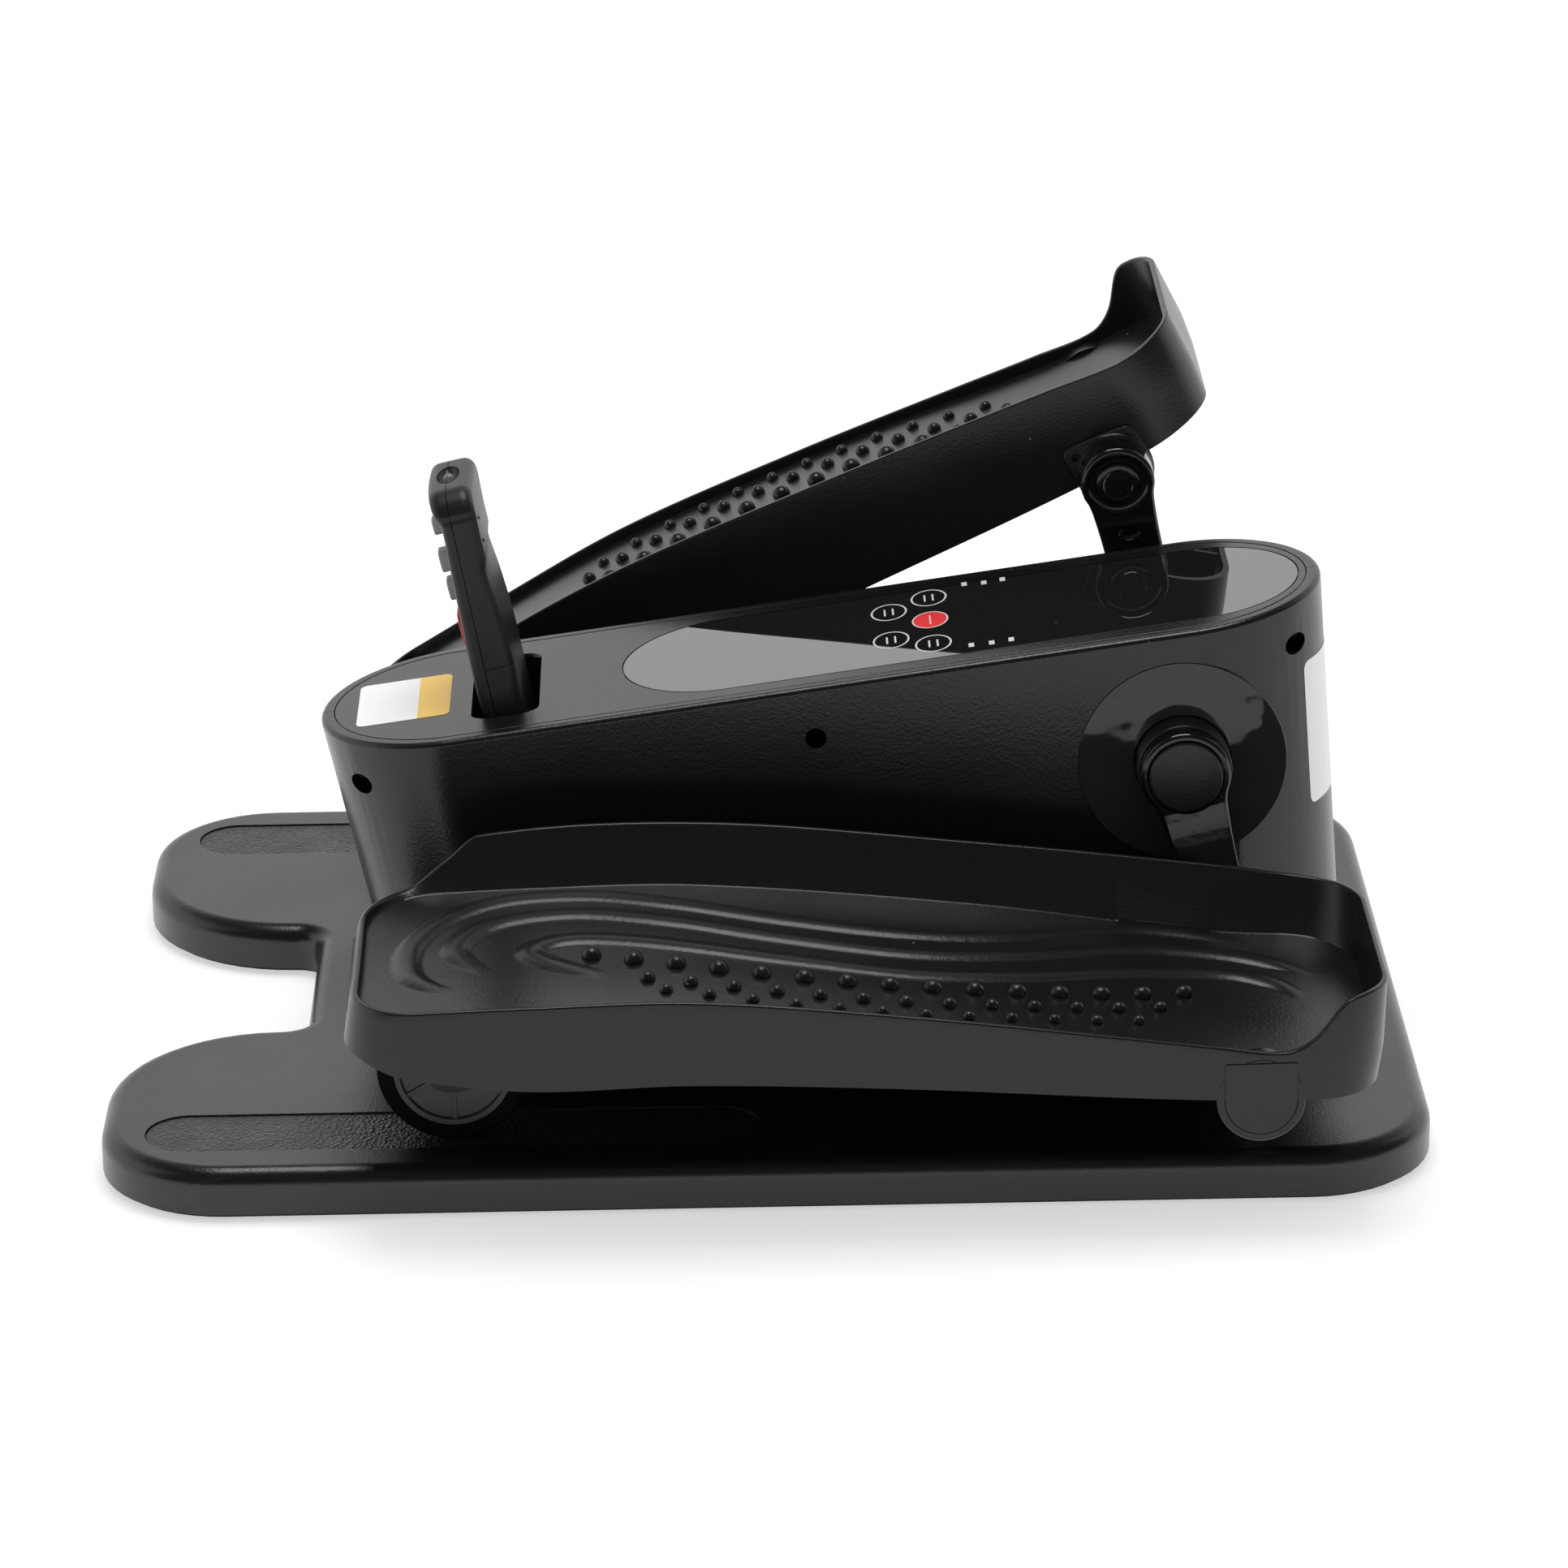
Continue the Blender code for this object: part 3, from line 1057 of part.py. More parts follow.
def build_roller(name, side, materials, tray_pivot, well_roof):
    axle_at = (-PIVOT_TO_ROLLER, side * ROLLER_CENTRE, 0.0)
    wheel = pivot(f"roller_spin_{name}", axle_at, parent=tray_pivot)
    half = ROLLER_WIDTH / 2
    hub_radius = ROLLER_RADIUS - TYRE_THICKNESS
    dish = half - 0.002
    hub_profile = [
        (ROLLER_AXLE_RADIUS + GAP, half), (ROLLER_AXLE_RADIUS + 0.004, dish),
        (hub_radius - 0.003, dish), (hub_radius - 0.003, half), (hub_radius, half),
    ]
    ring_points = hub_profile + [(r, -y) for r, y in reversed(hub_profile)]
    hub = add(f"roller_hub_{name}", turned(ring_points, tube=True), materials["shell"], wheel)
    spokes = []
    for k in range(6):
        low, high = sorted((side * (dish - WALL), side * half * 0.97))
        spoke = block(ROLLER_AXLE_RADIUS + 0.003, hub_radius - 0.002, low, high, -0.0008, 0.0008)
        spokes.append(moved(spoke, matrix=Matrix.Rotation(math.pi * k / 3 + math.pi / 6, 4, "Y")))
    combine(hub, join(*spokes), "UNION")
    inner = hub_radius + GAP
    crown = 0.0015
    tyre = [
        (inner, -half), (ROLLER_RADIUS - crown, -half), (ROLLER_RADIUS, -half + crown * 1.3),
        (ROLLER_RADIUS, half - crown * 1.3), (ROLLER_RADIUS - crown, half), (inner, half),
    ]
    add(f"roller_tyre_{name}", turned(tyre, tube=True), materials["rubber"], wheel)
    cheek_in = half + RUNNING_GAP
    cheek_out = cheek_in + FORK_SHEET
    axle = rod(ROLLER_AXLE_RADIUS, -cheek_out - 0.002, cheek_out + 0.002, 0.0006, SMALL_ROUND)
    add(f"roller_axle_{name}", axle, materials["steel"], tray_pivot, axle_at)
    top = well_roof - GAP
    fork = add(f"roller_fork_{name}",
               block(-FORK_HALF_LENGTH, FORK_HALF_LENGTH, -cheek_out, cheek_out, top - FORK_SHEET, top),
               materials["steel"], tray_pivot, axle_at)
    outline = rounded([
        (-FORK_HALF_LENGTH, top - FORK_SHEET / 2, GAP), (-FORK_NOSE, -FORK_NOSE, FORK_NOSE - GAP),
        (FORK_NOSE, -FORK_NOSE, FORK_NOSE - GAP), (FORK_HALF_LENGTH, top - FORK_SHEET / 2, GAP),
    ], 3)
    cheeks = [prism(outline, *sorted((s * cheek_in, s * cheek_out)), "Y") for s in SIDES.values()]
    combine(fork, join(*cheeks), "UNION", axle_at)
    combine(fork, rod(ROLLER_AXLE_RADIUS + GAP, -cheek_out - WALL, cheek_out + WALL, segments=SMALL_ROUND), location=axle_at)


def build_tray(name, side, materials):
    x, z = pin_place(side)
    tray_pivot = pivot(f"pedal_tilt_{name}", (x, 0.0, z), (0.0, -tray_tilt(side), 0.0))
    _, well_roof = build_tray_shell(name, side, materials, tray_pivot)
    build_bracket(name, side, materials, tray_pivot)
    back = TRAY_OUTER + GAP - D_COVER_THICKNESS
    cover = prism(d_outline(0.0), *sorted((side * back, side * (TRAY_OUTER + GAP + COVER_PROUD))), "Y")
    add(f"spindle_cover_{name}", cover, materials["shell"], tray_pivot)
    build_roller(name, side, materials, tray_pivot, well_roof)


def remote_section(t):
    """Half width, front and back of the remote at t along it: rounded ends and a wavy back."""
    half = REMOTE_WIDTH / 2
    top = REMOTE_LENGTH - REMOTE_CORNER
    width = half
    if t > top:
        width = half - REMOTE_CORNER + math.sqrt(max(REMOTE_CORNER**2 - (t - top) ** 2, 0.0))
    elif t < REMOTE_FOOT_CORNER:
        drop = REMOTE_FOOT_CORNER - t
        width = half - REMOTE_FOOT_CORNER + math.sqrt(max(REMOTE_FOOT_CORNER**2 - drop**2, 0.0))
    front = -REMOTE_THICKNESS / 2
    dip = (t - GRIP_DIP_AT) / GRIP_DIP_SPREAD
    back = REMOTE_THICKNESS / 2 - GRIP_DIP * math.exp(-dip * dip)
    shrink = smooth((t - top) / REMOTE_CORNER) * REMOTE_THICKNESS * 0.16
    return width, front + shrink, back - shrink


def remote_piece(t_levels, part):
    """One shell of the remote between levels t: the front or the back of the parting plane."""
    parting = -REMOTE_THICKNESS * (0.5 - REMOTE_FRONT_SHARE)
    rings = []
    for t in t_levels:
        width, front, back = remote_section(t)
        if part == "front":
            edge = min(REMOTE_EDGE, (parting - front) * 0.6)
            flat = width - edge
            section = [
                (parting, -width), (front + edge, -width), (front + edge * 0.3, -width + edge * 0.3), (front, -flat),
                (front - REMOTE_CROWN * 0.75, -flat / 2), (front - REMOTE_CROWN, 0.0),
                (front - REMOTE_CROWN * 0.75, flat / 2), (front, flat), (front + edge * 0.3, width - edge * 0.3),
                (front + edge, width), (parting, width),
            ]
        else:
            start = parting + GAP
            edge = REMOTE_BACK_EDGE
            section = [
                (start, -width), (back - edge, -width), (back - edge * 0.3, -width + edge * 0.3),
                (back, -width + edge), (back, width - edge), (back - edge * 0.3, width - edge * 0.3),
                (back - edge, width), (start, width),
            ]
        rings.append([(x, y, t) for x, y in section])
    return stack(rings)


def remote_levels(start, end):
    """Levels along the remote, closer together in its rounded ends."""
    top = REMOTE_LENGTH - REMOTE_CORNER
    levels = [start, end]
    levels += [REMOTE_FOOT_CORNER * (1 - math.cos(math.radians(a))) for a in (30, 90)]
    levels += [top + REMOTE_CORNER * math.sin(math.radians(a)) for a in (0, 25, 50, 75)]
    levels += [GRIP_DIP_AT + GRIP_DIP_SPREAD * k for k in (-2, -1.2, -0.6, 0, 0.6)]
    return sorted({round(t, 5) for t in levels if start <= t <= end})


def build_remote(materials):
    frame = remote_frame()
    remote = pivot("remote_lift", frame.to_translation(), frame.to_euler())
    end = REMOTE_LENGTH - REMOTE_CORNER * 0.02
    front = add("remote_front_shell", remote_piece(remote_levels(0.0, end), "front"), materials["shell"], remote)
    back = add("remote_back_shell", remote_piece(remote_levels(DOOR_HEIGHT + GAP, end), "back"), materials["shell"], remote)
    add("remote_battery_door", remote_piece(remote_levels(0.0, DOOR_HEIGHT), "back"), materials["shell"], remote)
    parting = -REMOTE_THICKNESS * (0.5 - REMOTE_FRONT_SHARE)
    face = -REMOTE_THICKNESS / 2 - REMOTE_CROWN
    holes = []
    for name, (t, height) in KEY_PLACES.items():
        width = height
        corner = min(height, width) * 0.3
        outline = [(-width / 2, -height / 2), (width / 2, -height / 2), (width / 2, height / 2), (-width / 2, height / 2)]
        grown = [(y + math.copysign(GAP, y), t + z + math.copysign(GAP, z), corner + GAP) for y, z in outline]
        holes.append(prism(rounded(grown, 2), face - WALL, parting + WALL, "X"))
        loop = rounded([(y, z, corner) for y, z in outline], 2)
        soft = rounded([(y * 0.86, z * 0.86, corner * 0.86) for y, z in outline], 2)
        levels = [(parting - 0.0012, loop), (face - KEY_PROUD + 0.0010, loop), (face - KEY_PROUD, soft)]
        key = stack([[(x, y, z) for y, z in ring] for x, ring in levels])
        shade = materials["red"] if name == "remote_key_stop" else materials["grey"]
        add(name, key, shade, remote, location=(0, 0, t))
    combine(front, join(*holes))
    eye = (parting + 0.002, 0.0)
    for shell in (front, back):
        bore = prism(circle(EMITTER_RADIUS * 1.7, SMALL_ROUND, eye), REMOTE_LENGTH - 0.0052, REMOTE_LENGTH + 0.01)
        combine(shell, bore)
    emitter = stack([
        [(x, y, t) for x, y in circle(r, SMALL_ROUND, eye)]
        for r, t in ((EMITTER_RADIUS, REMOTE_LENGTH - 0.0049), (EMITTER_RADIUS, REMOTE_LENGTH - 0.0028),
                     (EMITTER_RADIUS * 0.8, REMOTE_LENGTH - 0.0015), (EMITTER_RADIUS * 0.4, REMOTE_LENGTH - 0.0009))
    ])
    add("remote_emitter", emitter, materials["smoke"], remote)


def main():
    clear_scene()
    materials = make_materials()
    build_base(materials)
    build_housing_half("near", NEAR, materials)
    far_shell = build_housing_half("far", FAR, materials)
    build_sockets(far_shell, materials)
    build_top_cover(materials)
    build_screws(materials)
    crankset = build_crankset(materials)
    build_drive(materials, crankset)
    for name, side in SIDES.items():
        build_tray(name, side, materials)
    build_remote(materials)


main()
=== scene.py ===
"""Looks for a mini elliptical trainer: moulded plastic, gloss cranks, ribbed foot trays and a remote.

Metres, +Z up. X runs along the machine, with the cranks and toes at +X. The near side is -Y.
"""

import math

import bmesh
import bpy
import numpy as np
from bpy.props import FloatProperty, FloatVectorProperty, PointerProperty
from mathutils import Matrix, Vector


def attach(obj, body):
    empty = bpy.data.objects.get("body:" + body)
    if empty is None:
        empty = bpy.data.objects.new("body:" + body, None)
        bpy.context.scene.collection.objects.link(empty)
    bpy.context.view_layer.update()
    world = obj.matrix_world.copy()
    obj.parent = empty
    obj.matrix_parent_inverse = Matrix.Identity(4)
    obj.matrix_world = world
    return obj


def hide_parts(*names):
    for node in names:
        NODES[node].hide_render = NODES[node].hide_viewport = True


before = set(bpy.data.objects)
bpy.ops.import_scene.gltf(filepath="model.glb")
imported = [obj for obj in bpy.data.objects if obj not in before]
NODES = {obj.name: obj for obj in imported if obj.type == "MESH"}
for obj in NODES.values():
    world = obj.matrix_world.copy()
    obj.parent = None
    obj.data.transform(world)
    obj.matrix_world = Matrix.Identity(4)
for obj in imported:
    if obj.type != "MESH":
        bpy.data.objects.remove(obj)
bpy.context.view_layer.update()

bl_info = {
    "name": "Mini Elliptical Trainer",
    "version": (1, 0, 0),
    "blender": (4, 5, 0),
    "location": "3D View > Sidebar > Trainer",
    "description": "Builds the visible pieces, finishes and stage of a mini elliptical trainer",
    "category": "Add Mesh",
}

# Clearance between pieces that belong to each other
GAP = 0.0003
# How far a cutting tool reaches past the face that it cuts
BEYOND = 0.01
NEAR, FAR = -1, 1
SIDES = {"near": NEAR, "far": FAR}

# Base
BASE_LENGTH = 0.565
BASE_WIDTH = 0.419
BASE_TOP = 0.0233
BASE_UNDERSIDE = 0.0034
BASE_EDGE_ROUND = 0.009
BASE_CORNER = 0.055
LOBE_INNER_CORNER = 0.070
NOTCH_WIDTH = 0.113
NOTCH_DEPTH = 0.082
NOTCH_FILLET = 0.0115
PLATE_INSET = 0.0030
FOOT_HEIGHT = 0.0011
TRACK_CENTRE = 0.1690
TRACK_WIDTH = 0.0370
TRACK_FROM_END = 0.0197
TRACK_LENGTH = 0.260
TRACK_THICKNESS = 0.0012
TRACK_SINK = 0.0006
TRACK_TOP = BASE_TOP - TRACK_SINK
TRACK_PLAY = 0.0004
BASE_FOOT_ROUND = 0.0006
TRACK_RIM_ROUND = 0.00035
STRIP_ROUND = 0.0002
PLATE_ROUND = 0.0003

# Housing
HOUSING_WIDTH = 0.1200
RIM_REAR_X = -0.1925
RIM_REAR_Z = 0.1490
RIM_FRONT_X = 0.2473
RIM_FRONT_Z = 0.2100
SKIRT_REAR_X = -0.1650
SKIRT_FRONT_X = 0.2600
SLOPE = math.atan2(RIM_FRONT_Z - RIM_REAR_Z, RIM_FRONT_X - RIM_REAR_X)
WALL = 0.0030
RIM_ROUND = 0.0025
RIM_WIDTH = 0.0060
COVER_THICKNESS = 0.0026
LEDGE_WIDTH = 0.0040
LEDGE_THICKNESS = 0.0024
LENS_REAR_X = -0.0587
LENS_FRONT_X = 0.2375
LENS_WIDTH = 0.0900
LENS_THICKNESS = 0.0012
LENS_EDGE = 0.00025
COVER_EDGE = 0.0005
RIM_EDGE = 0.0004
SCREW_PLACES = ((-0.1732, 0.1305), (0.0246, 0.1556), (0.2332, 0.1883))
SCREW_HOLE_RADIUS = 0.0047
SCREW_BOSS_RADIUS = 0.0068
SCREW_SEAT = 0.0220
# How far out the bosses reach: the middle one on the flat side, the others on the round ends
BOSS_REACH_FLAT = HOUSING_WIDTH / 2 - 0.0006
BOSS_REACH_ROUND = 0.030

# Crankset
CRANK_X = 0.1833
CRANK_Z = 0.1421
CRANK_RADIUS = 0.0830
CRANK_PHASE = math.radians(13.3)
AXLE_RADIUS = 0.0085
DISC_RADIUS = 0.0452
DISC_THICKNESS = 0.0015
DISC_EDGE = 0.0003
SLEEVE_EDGE = 0.0007
SLEEVE_RADIUS = 0.0207
SLEEVE_START = 0.0480
SLEEVE_END = 0.0715
HUB_RADIUS = 0.0197
HUB_FACE = 0.0794
PIN_BOSS_RADIUS = 0.0168
PIN_BOSS_IN = 0.0787
PIN_BOSS_OUT = 0.0953
ARM_WAIST = 0.0132
ARM_EDGE = 0.0020
ARM_THICKNESS = 0.0100
CAP_RADIUS = 0.0162
CAP_SUNK = 0.0030
CAP_PROUD = 0.0008
CAP_SEAT = HUB_FACE - CAP_SUNK - GAP
DISH_RADIUS = 0.0141
DISH_DEPTH = 0.0011
RECESS_SIZE = (0.0050, 0.0009, 0.0034)
RECESS_AT = CRANK_RADIUS - 0.0178 - PIN_BOSS_RADIUS * 0.35
SLIT_TURN = math.radians(38.0)
SPINDLE_HEAD_RADIUS = 0.0100
SPINDLE_RADIUS = 0.0080

# Foot trays: u towards the toe from the crank pin, v outwards from the centre plane, w up
PIVOT_TO_ROLLER = 0.3340
TRAY_HEEL = -0.3765
TRAY_TOE = 0.0545
TRAY_WALL = 0.0028
TRAY_RIM_ROUND = 0.0009
TRAY_STATIONS = 420
TRAY_ACROSS = 132
TRAY_SHARP = 42.0
# The outside's crease at floor level stays at least this far below the rim
RIM_OVER_FLOOR = 0.002
# Height of the inner wall at which it leans by INNER_WALL_LEAN; a higher wall leans up to a fifth more
FULL_LEAN_HEIGHT = 0.024
FLOOR_THICKNESS = 0.0040
# Ribbed web under the floor: how deep it starts, its cells along and across, and how far from the
# skirt's edge its ribs stop; the ribs along the tray are given as a share of its width
WEB_SUNK = 0.0038
WEB_CELLS = 7
WEB_ROWS = 3
WEB_RIB = 0.0022
WEB_ROW_HALF = 0.008
WEB_SHORT = 0.0012
TRAY_INNER = 0.1012
TRAY_OUTER = 0.2400
INNER_WALL_LEAN = 0.0030
INNER_EDGE = (TRAY_INNER, 1, 0.038, 0.036)
OUTER_EDGE = (TRAY_OUTER, -1, 0.028, 0.027)
INNER_WALL_TOP = (
    (-0.3745, 0.0520), (-0.3660, 0.0521), (-0.3540, 0.0531), (-0.3380, 0.0628), (-0.3214, 0.0736),
    (-0.2277, 0.0759), (-0.1100, 0.0627), (-0.0060, 0.0482), (0.0254, 0.0432), (0.0545, 0.0430),
)
OUTER_RIM_TOP = (
    (-0.3745, 0.0508), (-0.3486, 0.0510), (-0.3000, 0.0517), (-0.2300, 0.0515), (-0.1400, 0.0417),
    (-0.0600, 0.0303), (-0.0179, 0.0240), (0.0100, 0.0206), (0.0220, 0.0262), (0.0345, 0.0410),
    (0.0430, 0.0435), (0.0545, 0.0435),
)
FLOOR_TOP = (
    (-0.3745, 0.0492), (-0.3000, 0.0508), (-0.2300, 0.0500), (-0.1110, 0.0368), (-0.0065, 0.0203),
    (0.0545, 0.0172),
)
INNER_FILLET = 0.0007
FLOOR_DROP = 0.0033
FLOOR_DROP_FROM = 0.1070
FLOOR_DROP_TO = 0.1900
SKIRT_LOW = (
    (-0.3745, 0.0300), (-0.3500, 0.0220), (-0.3000, 0.0148), (-0.2340, 0.0150), (-0.1500, 0.0106),
    (-0.0180, 0.0006), (0.0545, -0.0006),
)
HEEL_LEAN = 0.0045
TOE_LEAN = 0.0040
END_LEAN_REACH = 0.060
# The three ridges that run round the heel and along the floor, as u, v of their crests
RIDGES = (
    (
        (-0.330, 0.218), (-0.350, 0.200), (-0.352, 0.168), (-0.337, 0.138), (-0.311, 0.120),
        (-0.276, 0.118), (-0.238, 0.129), (-0.194, 0.141), (-0.147, 0.1465), (-0.105, 0.141),
        (-0.070, 0.1235), (-0.043, 0.1125), (-0.017, 0.112), (0.0064, 0.118),
    ),
    (
        (-0.317, 0.198), (-0.332, 0.173), (-0.317, 0.146), (-0.282, 0.137), (-0.238, 0.1485),
        (-0.194, 0.161), (-0.141, 0.1676), (-0.095, 0.158), (-0.052, 0.1376), (-0.023, 0.1318),
        (0.006, 0.136), (0.033, 0.1535),
    ),
    (
        (-0.266, 0.2065), (-0.291, 0.191), (-0.299, 0.176), (-0.279, 0.1653), (-0.229, 0.1765),
        (-0.194, 0.184), (-0.141, 0.1897), (-0.095, 0.181), (-0.052, 0.163), (-0.011, 0.1535),
        (0.012, 0.161), (0.0264, 0.179),
    ),
)
RIDGE_HALF_WIDTH = 0.0064
RIDGE_FADE = 0.030
RIDGE_ROUNDNESS = 0.75
# How far the ridges and nubs sit further in for each metre that the floor drops towards the outside
DROP_SHIFT = 2.3
# Rows of nubs: how many, radius, height, first and last (u, v), and how far the row bows outwards
NUB_ROWS = (
    (15, 0.0043, 0.0044, (-0.2739, 0.1853), (-0.0268, 0.1812), 0.0229),
    (13, 0.0033, 0.0037, (-0.2504, 0.2112), (-0.0380, 0.1997), 0.0170),
    (12, 0.0029, 0.0032, (-0.2428, 0.2235), (-0.0481, 0.2165), 0.0144),
)
NUB_SUNK = 0.0008
OUTER_BOSS_RADIUS = 0.0183
COVER_HALF_WIDTH = 0.0149
COVER_FLAT = 0.0165
COVER_CORNER = 0.0008
D_COVER_THICKNESS = 0.0022
D_COVER_EDGE = 0.0004
BRACKET_SHEET = 0.0021
BRACKET_EDGE = 0.0008
BRACKET_COLLAR = 0.0170
BRACKET_TILT = math.radians(-8.0)
BRACKET_EARS = ((-0.0142, 0.0124), (0.0102, 0.0124))
BRACKET_EAR_RADIUS = 0.0055
BRACKET_HOLE_RADIUS = 0.0020
ROLLER_RADIUS = 0.0320
ROLLER_CLEARANCE = 0.0008
ROLLER_WIDTH = 0.0240
ROLLER_CENTRE = 0.1690
TYRE_THICKNESS = 0.0070
HUB_WEB_SUNK = 0.0013
SPOKES = 6
SPOKE_HALF = 0.0009
SPOKE_EDGE = 0.0003
HUB_RIM_RADIUS = ROLLER_RADIUS - TYRE_THICKNESS
ROLLER_AXLE_RADIUS = 0.0040
ROLLER_Z = TRACK_TOP + ROLLER_CLEARANCE + ROLLER_RADIUS

# Remote control: t up along it, x through its thickness, y across
REMOTE_LEAN = math.radians(12.6)
REMOTE_X = -0.1121
REMOTE_Z = 0.1600
REMOTE_LENGTH = 0.1455
REMOTE_IN_POCKET = 0.0450
REMOTE_WIDTH = 0.0620
REMOTE_THICKNESS = 0.0163
REMOTE_PARTING = -REMOTE_THICKNESS * 0.17
REMOTE_CROWN = 0.0018
REMOTE_CORNER = 0.0130
REMOTE_FOOT_CORNER = 0.0080
REMOTE_EDGE = 0.0030
REMOTE_BACK_EDGE = 0.0050
# How far the back and the front stand out from their flat planes, along the remote
REMOTE_BACK = (
    (0.0, 0.0), (0.0150, 0.0003), (0.0350, 0.0016), (0.0500, 0.0021), (0.0640, 0.0022),
    (0.0760, 0.0017), (0.0920, 0.0005), (0.1075, -0.0012), (0.1105, -0.0006), (0.1130, 0.0001),
    (0.1220, 0.0000), (0.1350, 0.0003),
)
REMOTE_FRONT = (
    (0.0, 0.0008), (0.0760, 0.0008), (0.0960, 0.0004), (0.1150, 0.0), (0.1310, -0.0002), (0.1380, 0.0020),
    (0.1455, 0.0024),
)
REMOTE_UPRIGHT = 0.035
REMOTE_TURNS_AT = 0.0550
HEAD_FROM = 0.1310
HEAD_PROUD = 0.0012
DOOR_HEIGHT = 0.0640
FRONT_SUNK = 0.0008
SCOOP_SIZE = (0.0118, 0.0046, 0.0052)
KEY_EDGE = 0.0008
LAMP_RADIUS = 0.0026
PEGS = ((-0.0170, 0.1290), (-0.0170, 0.1185))
PEG_RADIUS = 0.0011
POCKET_WIDTH = 0.0750
POCKET_LENGTH = 0.0289
POCKET_X = -0.1102
POCKET_PLAY = 0.0008
POCKET_WALL = 0.0020
POCKET_CORNER = 0.0060
# The slot's wall in the cover: how far each ring rises and by how much it widens
SLOT_START = -0.0016
SLOT_RINGS = ((0.0009, 1.008), (0.00085, 1.016), (0.0040, 1.010))
# Keys: place along the remote, size, and how far each stands out from the crowned front
KEY_PLACES = {
    "remote_key_1": (0.1245, 0.0078, 0.0011),
    "remote_key_2": (0.1084, 0.0102, 0.0019),
    "remote_key_3": (0.0950, 0.0100, 0.0016),
    "remote_key_stop": (0.0765, 0.0160, 0.0007),
}

# Printed places
KEY_RINGS = ((0.0590, 0.0214), (0.0771, 0.0329), (0.0588, -0.0147), (0.0768, -0.0267))
STOP_SPOT = (0.0766, 0.0040)
RING_LENGTH = 0.0160
RING_WIDTH = 0.0210
RING_LINE = 0.0008
STOP_LINE = 0.0007
TICKS = (
    (0.0934, 0.0442), (0.1021, 0.0425), (0.1104, 0.0432),
    (0.0929, -0.0358), (0.1017, -0.0365), (0.1102, -0.0360),
)
TICK_HALF = (0.0012, 0.0024)
BAR_HALF = (0.0004, 0.0042)
BAR_STEP = 0.0018
STOP_BAR_HALF = (0.0003, 0.0058)
INK_LOW = 0.00001
INK_TOP = 0.00005
INK_ON_INK = 0.00004
STICKER = (-0.1757, -0.1348, -0.0255, 0.0260)
STICKER_BAND_X = -0.1490
STICKER_LOW = 0.00002
STICKER_TOP = 0.00015
STICKER_CORNER = 0.0035
LABEL_LOW = 0.1120
LABEL_HIGH = 0.1780
LABEL_HALF_ANGLE = math.radians(37.0)
LABEL_CORNER = 0.004
LABEL_MARGIN = 0.0022
LABEL_LINE = 0.0004
LABEL_PROUD = 0.00016
LABEL_THICKNESS = 0.00006

# Camera
CAMERA_PLACE = (-0.025799, -2.565269, 1.099406)
CAMERA_TURN = (68.942395, 0.646986, -1.079883)
CAMERA_LENS = 142.331

# Studio
SOFTBOX_PLACE = (0.0, 0.1, 1.75)
SOFTBOX_TARGET = (0.0, 0.0, 0.05)
SOFTBOX_SIZE = 0.9
AMBIENT = 0.70
# The dark parts of the room in reflections: how much light they lose, how far the part behind the
# camera turns with X, and where each part begins and is full
ROOM_DARK = 0.93
ROOM_TURN = 0.60
ROOM_BEHIND = (-0.10, -0.45)
ROOM_FOOT = (-0.02, 0.10)
ROOM_CEILING = (0.50, 0.80)
FLOOR_LIFT = 0.53
FLOOR_TONES = (0.58, 0.61)
FLOOR_BOUNCE = 0.8
WHITE = (1.0, 1.0, 1.0, 1.0)


def colour_choice(name, description, default):
    return FloatVectorProperty(
        name=name, description=description, default=default, subtype="COLOR", size=3, min=0, max=1,
    )


class TrainerColours(bpy.types.PropertyGroup):
    """Colours of the finishes."""

    shell: colour_choice("Shell", "Moulded plastic of the base and housing", (0.0050, 0.0050, 0.0052))
    tray: colour_choice("Trays", "Moulded plastic of the foot trays", (0.0060, 0.0060, 0.0062))
    track: colour_choice("Tracks", "Grained strips that the rollers run on", (0.0100, 0.0100, 0.0102))
    gloss: colour_choice("Gloss", "Display window", (0.0090, 0.0090, 0.0093))
    disc: colour_choice("Discs", "Gloss discs round the crank hubs", (0.0170, 0.0170, 0.0166))
    paint: colour_choice("Crank paint", "Gloss paint on the cranks", (0.0025, 0.0025, 0.0027))
    remote: colour_choice("Remote", "Matt plastic of the remote control", (0.0085, 0.0085, 0.0088))
    key: colour_choice("Keys", "Rubber keys of the remote control", (0.3300, 0.3350, 0.3450))
    stop: colour_choice("Stop key", "Red stop key and its place on the window", (0.7000, 0.0240, 0.0280))
    band: colour_choice("Sticker band", "Yellow band of the top sticker", (0.9500, 0.6000, 0.0600))


class TrainerSizes(bpy.types.PropertyGroup):
    """Sizes of the moulded detail, and the light's power."""

    ridge_height: FloatProperty(
        name="Ridge height", description="Height of the ridges on the tray floors",
        subtype="DISTANCE", unit="LENGTH", min=0, max=0.004, default=0.0017,
    )
    grain_depth: FloatProperty(
        name="Grain depth", description="Depth of the fine grain on the moulded plastic",
        subtype="DISTANCE", unit="LENGTH", min=0, max=0.0005, default=0.00006,
    )
    track_grain_depth: FloatProperty(
        name="Track grain depth", description="Depth of the coarse grain on the roller tracks",
        subtype="DISTANCE", unit="LENGTH", min=0, max=0.001, default=0.00050,
    )
    softbox: FloatProperty(
        name="Softbox power", description="Power of the overhead softbox in watts",
        min=0, max=100, default=14.0,
    )


# Shader nodes


